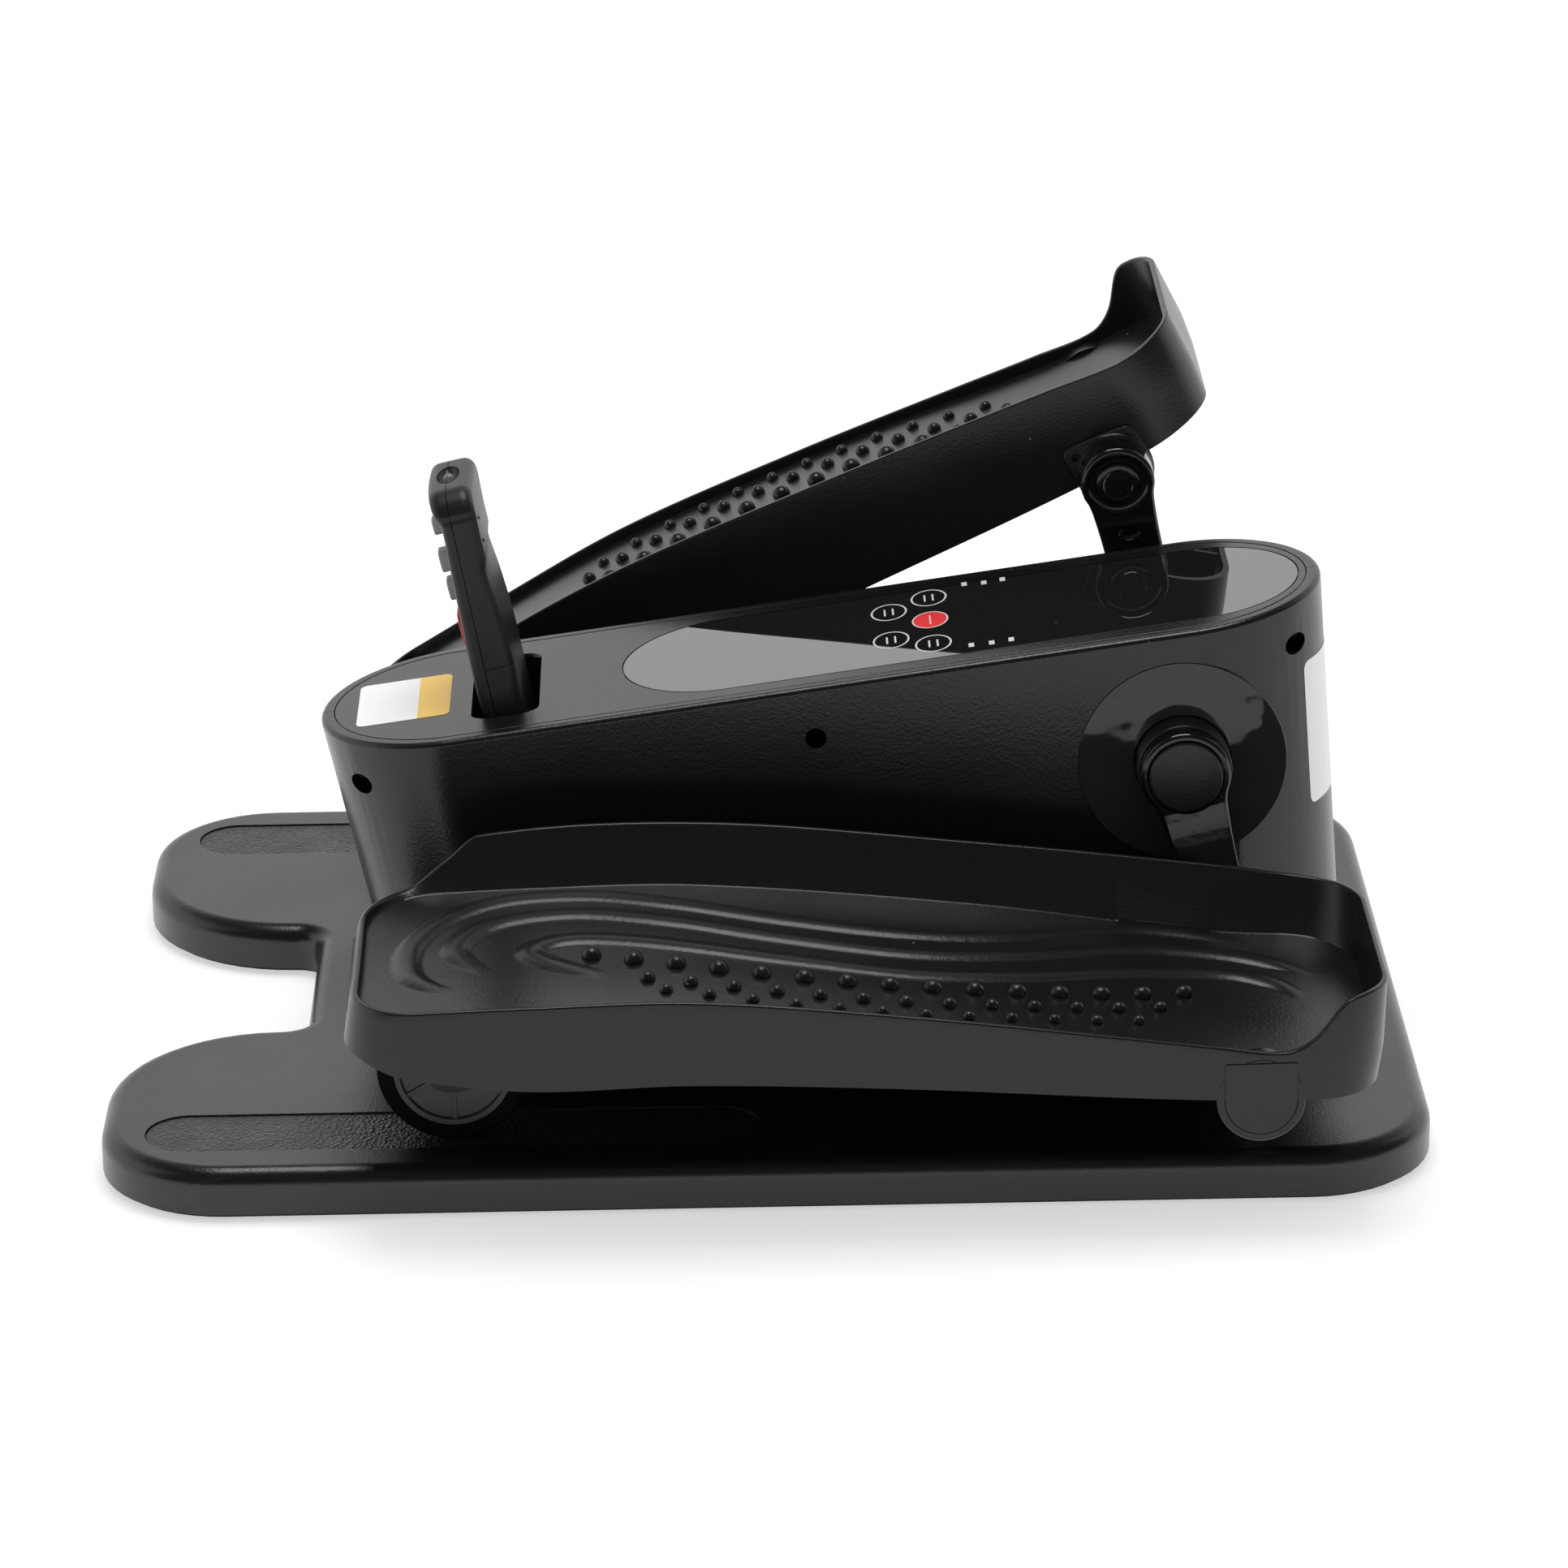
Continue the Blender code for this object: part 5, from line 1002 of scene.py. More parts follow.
def pocket_solid(wall, lift):
    """The remote's pocket as a solid: a snug foot that flares to the slot in the cover."""
    bm = bmesh.new()
    half_l = (REMOTE_THICKNESS + REMOTE_CROWN) / 2 + POCKET_PLAY + wall
    half_w = REMOTE_WIDTH / 2 + POCKET_PLAY + wall
    mouth = push(bm, [box_face(bm, -half_l, half_l, -half_w, half_w, POCKET_CORNER + wall)], (0, 0, 1.0))
    stretch = (POCKET_LENGTH / 2 + wall) / half_l, (POCKET_WIDTH / 2 + wall) / half_w
    slope, into = slope_matrix(), remote_matrix()
    top = {v for f in mouth for v in f.verts}
    for vert in bm.verts:
        x, y, _ = vert.co
        if vert in top:
            vert.co = slope @ Vector((POCKET_X + x * stretch[0], y * stretch[1], lift))
        else:
            vert.co = into @ Vector((x - REMOTE_CROWN / 2, y, -GAP - wall))
    return bm, mouth


def build_housing():
    whole = wedge(0.0, 0.0)
    slope = slope_matrix().inverted()
    soften(whole, RIM_ROUND, 4, 20.0, edges_at(whole, lambda co: (slope @ co).z > -1e-5))
    roof = (COVER_THICKNESS + GAP + LEDGE_THICKNESS) / math.cos(SLOPE)
    whole = carve(whole, wedge(WALL, roof, BASE_TOP - 0.01))
    whole = carve(whole, top_plate(RIM_WIDTH, -COVER_THICKNESS - GAP, 0.02 - COVER_THICKNESS - GAP))
    whole = carve(whole, top_plate(RIM_WIDTH + LEDGE_WIDTH, -0.02, 0.01))
    face_y = HOUSING_WIDTH / 2
    for k, (x, z) in enumerate(SCREW_PLACES):
        reach = BOSS_REACH_FLAT if k == 1 else BOSS_REACH_ROUND
        whole = carve(whole, rod(SCREW_BOSS_RADIUS, -reach, -GAP, x, z), "UNION")
    for x, z in SCREW_PLACES:
        whole = carve(whole, rod(SCREW_HOLE_RADIUS, -face_y - 0.01, -SCREW_SEAT, x, z))
    for side in SIDES.values():
        reach = sorted((side * (face_y - DISC_THICKNESS - GAP), side * (face_y + 0.01)))
        whole = carve(whole, rod(DISC_RADIUS + GAP, *reach, CRANK_X, CRANK_Z, 96))
        reach = sorted((side * (face_y - 0.01), side * (face_y + 0.01)))
        whole = carve(whole, rod(SLEEVE_RADIUS + 2 * GAP, *reach, CRANK_X, CRANK_Z, 64))
    for name, side in SIDES.items():
        low, high = sorted((side * GAP / 2, side * 0.2))
        half = carve(whole.copy(), block((-0.4, low, -0.1), (0.4, high, 0.4)), "INTERSECT")
        rim = edges_at(half, lambda co: abs(co.y) > 0.02 and abs((slope @ co).z) < 1e-4)
        soften(half, RIM_EDGE, 2, 60.0, rim)
        node = f"housing_shell_{name}"
        finish_piece(f"housing_{name}", half, "stand", ["housing plastic"], [node], "shell")
    whole.free()
    dress("dark steel", "housing_screw_rear", "housing_screw_middle", "housing_screw_front")


def build_cover():
    slope = slope_matrix()
    bm = top_plate(RIM_WIDTH + GAP, -COVER_THICKNESS, 0.0)
    flat = slope.inverted()
    soften(bm, COVER_EDGE, 3, chosen=edges_at(bm, lambda co: (flat @ co).z > -1e-6))
    outer, _ = pocket_solid(POCKET_WALL, -COVER_THICKNESS / 2)
    bm = carve(bm, outer, "UNION")
    inner, mouth = pocket_solid(0.0, SLOT_START)
    up = (slope.to_3x3() @ Vector((0, 0, 1))).normalized()
    centre = slope @ Vector((POCKET_X, 0, 0))
    for rise, grow in SLOT_RINGS:
        closed = mouth
        mouth = push(inner, closed, up * rise)
        bmesh.ops.delete(inner, geom=closed, context="FACES_ONLY")
        for vert in {v for f in mouth for v in f.verts}:
            vert.co.x = centre.x + (vert.co.x - centre.x) * grow**1.6
            vert.co.y *= grow
    bm = carve(bm, inner)
    room = 2 * GAP
    seat = stadium_plate(LENS_REAR_X - room, LENS_FRONT_X + room, LENS_WIDTH / 2 + room,
                         -LENS_THICKNESS - GAP, 0.01 - LENS_THICKNESS - GAP)
    bm = carve(bm, moved(seat, slope))
    finish_piece("cover", bm, "stand", ["cover plastic"], ["top_cover"], "shell")


def oval(bm, x, y, length, width, low, high, line=None):
    """Adds an oval plate, or only its rim as a line of the given width."""
    loops = []
    for cut in (0.0, line) if line else (0.0,):
        size = Matrix.Diagonal((length / 2 - cut, width / 2 - cut, 1.0, 1.0))
        place = Matrix.Translation((x, y, low)) @ size
        made = bmesh.ops.create_circle(bm, cap_ends=not line, segments=48, radius=1.0, matrix=place)
        loops += {e for v in made["verts"] for e in v.link_edges}
    if line:
        faces = bmesh.ops.bridge_loops(bm, edges=loops)["faces"]
    else:
        faces = list(made["verts"][0].link_faces)
    push(bm, faces, (0, 0, high - low))


def mark(x, y, half, low=INK_LOW, high=INK_TOP):
    """A small printed bar, centred on x, y."""
    return block((x - half[0], y - half[1], low), (x + half[0], y + half[1], high))


def build_window():
    top = slope_matrix()
    lens = stadium_plate(LENS_REAR_X, LENS_FRONT_X, LENS_WIDTH / 2, -LENS_THICKNESS, 0.0, 40)
    soften(lens, LENS_EDGE, 2, chosen=edges_at(lens, lambda co: co.z > -1e-6))
    finish_piece("window", moved(lens, top), "stand", ["gloss window"], ["display_lens"], "gloss")
    rings = bmesh.new()
    for x, y in KEY_RINGS:
        oval(rings, x, y, RING_LENGTH, RING_WIDTH, INK_LOW, INK_TOP, RING_LINE)
    marks = [rings]
    marks += [mark(x, y, TICK_HALF) for x, y in TICKS]
    marks += [mark(x + step, y, BAR_HALF) for x, y in KEY_RINGS for step in (-BAR_STEP, BAR_STEP)]
    finish_piece("window_marks", moved(merged(*marks), top), "stand", ["white ink"], weighted=False)
    spot = bmesh.new()
    oval(spot, *STOP_SPOT, RING_LENGTH, RING_WIDTH, INK_LOW, INK_TOP)
    finish_piece("window_stop_spot", moved(spot, top), "stand", ["red ink"], weighted=False)
    border = bmesh.new()
    oval(border, *STOP_SPOT, RING_LENGTH, RING_WIDTH, INK_TOP, INK_TOP + INK_ON_INK, STOP_LINE)
    bar = mark(*STOP_SPOT, STOP_BAR_HALF, INK_TOP, INK_TOP + INK_ON_INK)
    finish_piece("window_stop_marks", moved(merged(border, bar), top), "stand", ["white ink"], weighted=False)
    dress("circuit board", "display_board", "control_board")


def build_labels():
    x0, x1, y0, y1 = STICKER
    for name, ink, cut0, cut1 in (
        ("sticker_paper", "white film", STICKER_BAND_X, x1 + BEYOND),
        ("sticker_band", "yellow film", x0 - BEYOND, STICKER_BAND_X + STICKER_LOW),
    ):
        sheet = bmesh.new()
        face = box_face(sheet, x0, x1, y0, y1, STICKER_CORNER, STICKER_LOW)
        push(sheet, [face], (0, 0, STICKER_TOP - STICKER_LOW))
        sheet = carve(sheet, block((cut0, y0 - BEYOND, -BEYOND), (cut1, y1 + BEYOND, BEYOND)))
        finish_piece(name, moved(sheet, slope_matrix()), "stand", [ink], weighted=False)
    build_end_label()


def build_end_label():
    """A bare label bent round the toe end, with a printed border line."""
    radius = HOUSING_WIDTH / 2
    half = LABEL_HALF_ANGLE * radius
    label = bmesh.new()
    face = box_face(label, -half, half, LABEL_LOW, LABEL_HIGH, LABEL_CORNER)
    for thickness, ink in ((LABEL_MARGIN, 0), (LABEL_LINE, 1)):
        made = bmesh.ops.inset_region(label, faces=[face], thickness=thickness, use_even_offset=True)
        for ring in made["faces"]:
            ring.material_index = ink
    slice_along(label, (1, 0, 0), np.linspace(-half, half, 49)[1:-1])
    for vert in label.verts:
        vert.co = wall_point(vert.co.x / radius, vert.co.y, LABEL_PROUD)
    bmesh.ops.solidify(label, geom=label.faces[:], thickness=LABEL_THICKNESS)
    finish_piece("end_label", label, "stand", ["white film", "grey ink"], weighted=False)


def wall_point(angle, z, proud):
    """A point in front of the housing's round toe end, at an angle from +X and a height."""
    reach = HOUSING_WIDTH / 2 + proud
    y = reach * math.sin(angle)
    low_x = SKIRT_FRONT_X - HOUSING_WIDTH / 2 + reach * math.cos(angle)
    top_x = RIM_FRONT_X - HOUSING_WIDTH / 2 + reach * math.cos(angle)
    t = (z - BASE_TOP) / (rim_z(top_x) - BASE_TOP)
    return Vector((low_x + (top_x - low_x) * t, y, z))


# Cranks


def build_discs():
    for name, side in SIDES.items():
        face = HOUSING_WIDTH / 2
        disc = turned([
            (SLEEVE_RADIUS + 2 * GAP, face - DISC_THICKNESS), (DISC_RADIUS, face - DISC_THICKNESS),
            (DISC_RADIUS, face), (SLEEVE_RADIUS + 2 * GAP, face),
        ], 128, closed=True)
        soften(disc, DISC_EDGE, 2)
        moved(mirror_y(disc, side), Matrix.Translation((CRANK_X, 0, CRANK_Z)))
        finish_piece(f"disc_{name}", disc, "stand", ["gloss disc"], [f"side_disc_{name}"], "gloss")
        sleeve = turned([
            (AXLE_RADIUS + GAP, SLEEVE_START), (SLEEVE_RADIUS, SLEEVE_START), (SLEEVE_RADIUS, SLEEVE_END),
            (AXLE_RADIUS + GAP, SLEEVE_END),
        ], 96, closed=True)
        soften(sleeve, SLEEVE_EDGE, 3)
        moved(mirror_y(sleeve, side), crank_matrix())
        node = f"hub_sleeve_{name}"
        finish_piece(f"collar_{name}", sleeve, "crankset", ["fitting plastic"], [node], "shell")


def arm_half_width(s):
    """Half the arm's width at s from the axle to the pin: two round ends and a waist."""
    middle = CRANK_RADIUS * 0.56
    spread = (HUB_RADIUS - ARM_WAIST) * 0.62 / middle**2
    waist = ARM_WAIST + spread * (s - middle) ** 2 if 0 <= s <= CRANK_RADIUS else 0.0
    hub = math.sqrt(max(HUB_RADIUS**2 - s**2, 0.0))
    boss = math.sqrt(max(PIN_BOSS_RADIUS**2 - (s - CRANK_RADIUS) ** 2, 0.0))
    return max(waist, hub, boss)


def arm_faces(s):
    """The inner and outer faces of the arm at s: it steps outwards between hub and pin."""
    t = float(smooth_step((s - HUB_RADIUS * 0.7) / (CRANK_RADIUS - HUB_RADIUS * 0.7 - PIN_BOSS_RADIUS * 0.8)))
    inner_hub = SLEEVE_END + GAP
    thin = 0.0016 * math.sin(math.pi * t)
    return inner_hub + (PIN_BOSS_IN - inner_hub) * t + thin, HUB_FACE + (PIN_BOSS_OUT - HUB_FACE) * t - thin


def arm_blank():
    """The arm's outline at an even thickness, its rims rounded, then bent outwards along its length."""
    stations = [-HUB_RADIUS * math.cos(math.radians(a)) for a in range(6, 90, 7)]
    stations += [CRANK_RADIUS * k / 22 for k in range(0, 23)]
    stations += [CRANK_RADIUS + PIN_BOSS_RADIUS * math.sin(math.radians(a)) for a in range(7, 88, 7)]
    bm = bmesh.new()
    right = [(arm_half_width(s), 0.0, s) for s in stations]
    left = [(-x, y, s) for x, y, s in reversed(right)]
    tips = [(0.0, 0.0, -HUB_RADIUS)], [(0.0, 0.0, CRANK_RADIUS + PIN_BOSS_RADIUS)]
    face = bm.faces.new([bm.verts.new(p) for p in tips[0] + right + tips[1] + left])
    push(bm, [face], (0, ARM_THICKNESS, 0))
    soften(bm, ARM_EDGE, 4, 40.0, edges_at(bm, lambda co: co.y < 1e-6 or co.y > ARM_THICKNESS - 1e-6))
    slice_along(bm, (0, 0, 1), [CRANK_RADIUS * k / 16 for k in range(1, 16)])
    for vert in bm.verts:
        inner, outer = arm_faces(vert.co.z)
        y = vert.co.y
        vert.co.y = inner + y if y < ARM_THICKNESS / 2 else outer - (ARM_THICKNESS - y)
    return bm


def crank_tools():
    """What is cut from a crank arm: the cap's room, the pin's bore, the dish round it and a small recess."""
    pin = Matrix.Translation((0, 0, CRANK_RADIUS))
    behind = PIN_BOSS_IN - BEYOND
    yield turned([
        (0.0, SLEEVE_END - BEYOND), (AXLE_RADIUS + GAP, SLEEVE_END - BEYOND), (AXLE_RADIUS + GAP, CAP_SEAT),
        (CAP_RADIUS + GAP, CAP_SEAT), (CAP_RADIUS + GAP, HUB_FACE - 0.0006),
        (CAP_RADIUS + 0.0009, HUB_FACE + 0.0002),
        (CAP_RADIUS + 0.0009, HUB_FACE + BEYOND), (0.0, HUB_FACE + BEYOND),
    ], 96)
    yield moved(turned([
        (0.0, behind), (SPINDLE_HEAD_RADIUS + GAP, behind),
        (SPINDLE_HEAD_RADIUS + GAP, PIN_BOSS_OUT + BEYOND), (0.0, PIN_BOSS_OUT + BEYOND),
    ], 64), pin)
    yield moved(turned([
        (0.0, behind), (DISH_RADIUS, behind), (DISH_RADIUS, PIN_BOSS_IN - 0.0001),
        (DISH_RADIUS - 0.0005, PIN_BOSS_IN + 0.0006), (DISH_RADIUS - 0.0017, PIN_BOSS_IN + DISH_DEPTH),
        (0.0, PIN_BOSS_IN + DISH_DEPTH),
    ], 64), pin)
    recess = bmesh.new()
    ball(recess, (0, arm_faces(RECESS_AT)[0], RECESS_AT), RECESS_SIZE)
    yield recess


def crank_cap():
    face = HUB_FACE + CAP_PROUD
    return turned([
        (0.0, CAP_SEAT + GAP), (CAP_RADIUS, CAP_SEAT + GAP), (CAP_RADIUS, face - 0.0016),
        (CAP_RADIUS - 0.0004, face - 0.0006), (CAP_RADIUS - 0.0014, face), (0.0, face),
    ], 96)


def pedal_pin():
    """The spindle with its slotted head, on its own axis."""
    head = PIN_BOSS_IN - 0.0016
    end = TRAY_OUTER - D_COVER_THICKNESS - 2 * GAP - 0.0012
    spindle = turned([
        (0.0, head + 0.0004), (0.0062, head + 0.0004), (0.0068, head), (SPINDLE_HEAD_RADIUS - 0.0012, head),
        (SPINDLE_HEAD_RADIUS - 0.0003, head + 0.0004), (SPINDLE_HEAD_RADIUS, head + 0.0014),
        (SPINDLE_HEAD_RADIUS, PIN_BOSS_OUT - GAP), (SPINDLE_RADIUS, PIN_BOSS_OUT - GAP),
        (SPINDLE_RADIUS, end), (0.0, end),
    ], 64)
    slit = block((-0.0044, head - BEYOND, -0.0007), (0.0044, head + 0.0012, 0.0007))
    return carve(spindle, moved(slit, Matrix.Rotation(SLIT_TURN, 4, "Y")))


def build_cranks():
    for name, side in SIDES.items():
        arm = arm_blank()
        for tool in crank_tools():
            arm = carve(arm, tool)
        turn = Matrix.Identity(4) if side == FAR else Matrix.Rotation(math.pi, 4, "X")
        place = crank_matrix() @ turn
        arm = moved(arm, place)
        finish_piece(f"crank_{name}", arm, "crankset", ["crank paint"], [f"crank_arm_{name}"], "paint")
        cap = moved(crank_cap(), place)
        finish_piece(f"hub_cap_{name}", cap, "crankset", ["fitting plastic"], [f"crank_cap_{name}"], "shell")
        pin = moved(pedal_pin(), place @ Matrix.Translation((0, 0, CRANK_RADIUS)))
        finish_piece(f"pin_{name}", pin, "crankset", ["crank paint"], [f"pedal_spindle_{name}"], "paint")
    dress("plated steel", "crank_axle", "bearing_near", "bearing_far")
    dress("plated steel", "motor_pulley", "gear_motor", "drive_frame")
    dress("black rubber", "drive_pulley", "drive_belt", "power_jack", "power_switch")


# Foot trays


def tray_line(edge, inset, steps):
    """u and v along one long side of the tray, from the straight of the heel to the straight of the toe."""
    line, inward, heel, toe = edge
    corner = steps // 12
    a = np.radians(np.linspace(0, 90, corner + 1))
    line = line + inward * inset
    heel_u = TRAY_HEEL + heel - (heel - inset) * np.cos(a)
    heel_v = line + inward * (heel - inset) * (1 - np.sin(a))
    toe_u = TRAY_TOE - toe + (toe - inset) * np.sin(a)
    toe_v = line + inward * (toe - inset) * (1 - np.cos(a))
    count = steps - 2 * corner
    side_u = np.linspace(TRAY_HEEL + heel, TRAY_TOE - toe, count + 1)[1:-1]
    return (
        np.concatenate([heel_u, side_u, toe_u]),
        np.concatenate([heel_v, np.full(len(side_u), line), toe_v]),
    )


def tray_points(station, across, inset, steps, inner_extra=0.0):
    """u, v where a station along the tray and a share across it meet; inner_extra moves the inner end out."""
    inner_u, inner_v = tray_line(INNER_EDGE, inset, steps)
    outer_u, outer_v = tray_line(OUTER_EDGE, inset, steps)
    u = inner_u[station] * (1 - across) + outer_u[station] * across
    v = (inner_v[station] + inner_extra) * (1 - across) + outer_v[station] * across
    return u, v


def near_line(points, u, v):
    """How far u, v are from a smooth line, how far along it the nearest place is, and its length."""
    knots = np.array(points)
    dense = []
    count = len(knots)
    for k in range(count - 1):
        a, b = knots[k], knots[k + 1]
        before, after = knots[max(k - 1, 0)], knots[min(k + 2, count - 1)]
        for t in np.linspace(0, 1, 6, endpoint=False):
            dense.append(0.5 * ((2 * a) + (b - before) * t + (2 * before - 5 * a + 4 * b - after) * t**2
                                + (3 * a - before - 3 * b + after) * t**3))
    dense.append(knots[-1])
    dense = np.array(dense)
    lengths = np.concatenate([[0.0], np.cumsum(np.linalg.norm(np.diff(dense, axis=0), axis=1))])
    best = np.full(u.shape, 1.0)
    along = np.zeros(u.shape)
    for k in range(len(dense) - 1):
        a, step = dense[k], dense[k + 1] - dense[k]
        span = step @ step
        t = np.clip(((u - a[0]) * step[0] + (v - a[1]) * step[1]) / span, 0, 1)
        gap = np.hypot(u - a[0] - t * step[0], v - a[1] - t * step[1])
        closer = gap < best
        best = np.where(closer, gap, best)
        along = np.where(closer, lengths[k] + t * math.sqrt(span), along)
    return best, along, lengths[-1]


def tray_relief(u, v):
    """Height of the ridges over the plain floor."""
    height = bpy.context.scene.trainer_sizes.ridge_height
    total = np.zeros(u.shape)
    for ridge in RIDGES:
        gap, along, length = near_line(ridge, u, v)
        fade = smooth_step(np.minimum(along, length - along) / RIDGE_FADE)
        half = RIDGE_HALF_WIDTH * (0.55 + 0.45 * fade)
        crest = np.clip(1 - (gap / half) ** 2, 0, 1) ** RIDGE_ROUNDNESS
        total = np.maximum(total, height * fade * crest)
    return total


def floor_drop(v):
    """How much lower the floor lies towards the outside."""
    return FLOOR_DROP * smooth_step((np.asarray(v) - FLOOR_DROP_FROM) / (FLOOR_DROP_TO - FLOOR_DROP_FROM))


def floor_height(u, v):
    drop = floor_drop(v)
    return curve(FLOOR_TOP, u) - drop + tray_relief(u, v + DROP_SHIFT * drop)


def end_lean(u, share):
    """u on a wall, moved for the lean of the tray's ends; share is 0 at the skirt and 1 at the rim."""
    at_heel = 1.0 - smooth_step((u - TRAY_HEEL) / END_LEAN_REACH)
    at_toe = smooth_step((u - TRAY_TOE + END_LEAN_REACH) / END_LEAN_REACH)
    return u + HEEL_LEAN * share * at_heel - TOE_LEAN * (1.0 - share) * at_toe


def nub_places():
    for count, radius, height, (u0, v0), (u1, v1), bow in NUB_ROWS:
        for k in range(count):
            t = k / (count - 1)
            v = v0 + (v1 - v0) * t + 4 * bow * t * (1 - t)
            yield u0 + (u1 - u0) * t, v - DROP_SHIFT * float(floor_drop(v)), radius, height


def tray_shell(side):
    """The floor with its ridges, the walls round it and the skirt below, as one skin."""
    steps = TRAY_STATIONS
    bm = bmesh.new()
    bmesh.ops.create_grid(bm, x_segments=steps, y_segments=TRAY_ACROSS, size=1.0)
    verts = list(bm.verts)
    grid = np.array([v.co for v in verts])
    station = np.rint((grid[:, 0] + 1) / 2 * steps).astype(int)
    across = (grid[:, 1] + 1) / 2
    u, v = tray_points(station, across, TRAY_WALL, steps, INNER_WALL_LEAN)
    w = floor_height(u, v) + INNER_FILLET * (across < 1e-6)
    u = end_lean(u, 0.6)
    edge_of = {}
    rim = [e for e in bm.edges if len(e.link_faces) == 1]
    rim_verts = {vert for e in rim for vert in e.verts}
    for k, vert in enumerate(verts):
        vert.co = (u[k], v[k], w[k])
        if vert in rim_verts:
            edge_of[tuple(round(c, 6) for c in vert.co)] = (station[k], across[k])
    loops = []
    # Each ring from the floor's edge over the rim, down the outside and in under the floor: its inset,
    # its level, how much of the inner wall's lean it takes and its share of the ends' lean
    for inset, level, lean, share in (
        (TRAY_WALL, "top", 1.0, 1.0), (0.0, "top", 1.0, 1.0), (0.0, "floor", 0.0, 0.6),
        (0.0, "skirt", 0.0, 0.0), (TRAY_WALL, "skirt", 0.0, 0.0), (TRAY_WALL, "under", 0.0, 0.5),
    ):
        made = bmesh.ops.extrude_edge_only(bm, edges=rim)["geom"]
        rim = [g for g in made if isinstance(g, bmesh.types.BMEdge)]
        new = [g for g in made if isinstance(g, bmesh.types.BMVert)]
        places = [edge_of[tuple(round(c, 6) for c in vert.co)] for vert in new]
        s = np.array([p[0] for p in places])
        a = np.array([p[1] for p in places])
        pu, pv = tray_points(s, a, inset, steps)
        top = curve(INNER_WALL_TOP, pu) * (1 - a) + curve(OUTER_RIM_TOP, pu) * a
        floor = curve(FLOOR_TOP, pu) - floor_drop(pv)
        level_w = {
            "top": top, "floor": np.minimum(floor, top - RIM_OVER_FLOOR),
            "skirt": curve(SKIRT_LOW, pu), "under": floor - FLOOR_THICKNESS,
        }[level]
        height = np.clip((top - floor) / FULL_LEAN_HEIGHT, 0, 1.2)
        shift = lean * INNER_WALL_LEAN * height * np.clip(1 - 1.6 * a, 0, 1)
        pu = end_lean(pu, share)
        edge_of = {}
        for k, vert in enumerate(new):
            vert.co = (pu[k], pv[k] - shift[k], level_w[k])
            edge_of[tuple(round(c, 6) for c in vert.co)] = places[k]
        loops.append(rim)
    under = bmesh.ops.holes_fill(bm, edges=rim, sides=0)["faces"]
    bmesh.ops.triangulate(bm, faces=under, quad_method="BEAUTY", ngon_method="BEAUTY")
    for vert in bm.verts:
        vert.co.y *= side
    if side == NEAR:
        bmesh.ops.reverse_faces(bm, faces=bm.faces)
    rims = loops[0] + loops[1]
    bmesh.ops.bevel(bm, geom=rims, offset=TRAY_RIM_ROUND, offset_type="OFFSET", affect="EDGES",
                    segments=3, profile=0.5, material=-1, clamp_overlap=True)
    return bm


def tray_nubs(side):
    """Round nubs that stand on the floor in three rows."""
    bm = bmesh.new()
    for u, v, radius, height in nub_places():
        ground = float(floor_height(np.array([u]), np.array([v]))[0])
        slope = math.atan((float(curve(FLOOR_TOP, u + 0.002)) - float(curve(FLOOR_TOP, u - 0.002))) / 0.004)
        place = Matrix.Translation((u, side * v, ground)) @ Matrix.Rotation(-slope, 4, "Y")
        local = place.inverted()
        for vert in ball(bm, place, (radius, radius, height), 24, 14):
            spot = local @ vert.co
            if spot.z < -NUB_SUNK:
                vert.co = place @ Vector((spot.x, spot.y, -NUB_SUNK))
    return bm


def tray_underside(side):
    """The ribbed web under the floor, with a clear bay for the roller."""
    start = -PIVOT_TO_ROLLER + ROLLER_RADIUS + 0.012
    end = TRAY_TOE - TRAY_WALL - TOE_LEAN
    lines_u = {TRAY_HEEL + TRAY_WALL * 0.5, start - WEB_RIB, end}
    for k in range(WEB_CELLS):
        at = start + (end - start) * k / WEB_CELLS
        lines_u |= {at, at + WEB_RIB}
    lines_u = sorted(lines_u)
    lines_a = [0.0]
    for k in range(1, WEB_ROWS):
        lines_a += [k / WEB_ROWS - WEB_ROW_HALF, k / WEB_ROWS + WEB_ROW_HALF]
    lines_a.append(1.0)
    bm = bmesh.new()
    nu, na = len(lines_u) - 1, len(lines_a) - 1
    bmesh.ops.create_grid(bm, x_segments=nu, y_segments=na, size=1.0)
    ribs = []
    for face in bm.faces:
        centre = face.calc_center_median()
        i = int((centre.x + 1) / 2 * nu)
        j = int((centre.y + 1) / 2 * na)
        narrow_u = lines_u[i + 1] - lines_u[i] < 1.5 * WEB_RIB
        if (narrow_u or j % 2) and lines_u[i] > start - 2 * WEB_RIB:
            ribs.append(face)
    inner, outer = (tray_line(edge, TRAY_WALL * 0.6, 240) for edge in (INNER_EDGE, OUTER_EDGE))
    for vert in bm.verts:
        u = lines_u[round((vert.co.x + 1) / 2 * nu)]
        a = lines_a[round((vert.co.y + 1) / 2 * na)]
        low_v = float(np.interp(u, *inner))
        high_v = float(np.interp(u, *outer))
        v = low_v + (high_v - low_v) * a
        vert.co = (u, v, float(curve(FLOOR_TOP, u) - floor_drop(v)) - WEB_SUNK)
    made = bmesh.ops.extrude_face_region(bm, geom=ribs)["geom"]
    for vert in {g for g in made if isinstance(g, bmesh.types.BMVert)}:
        vert.co.z = min(float(curve(SKIRT_LOW, vert.co.x)) + WEB_SHORT, vert.co.z - 0.001)
    for vert in bm.verts:
        vert.co.y *= side
    return bm


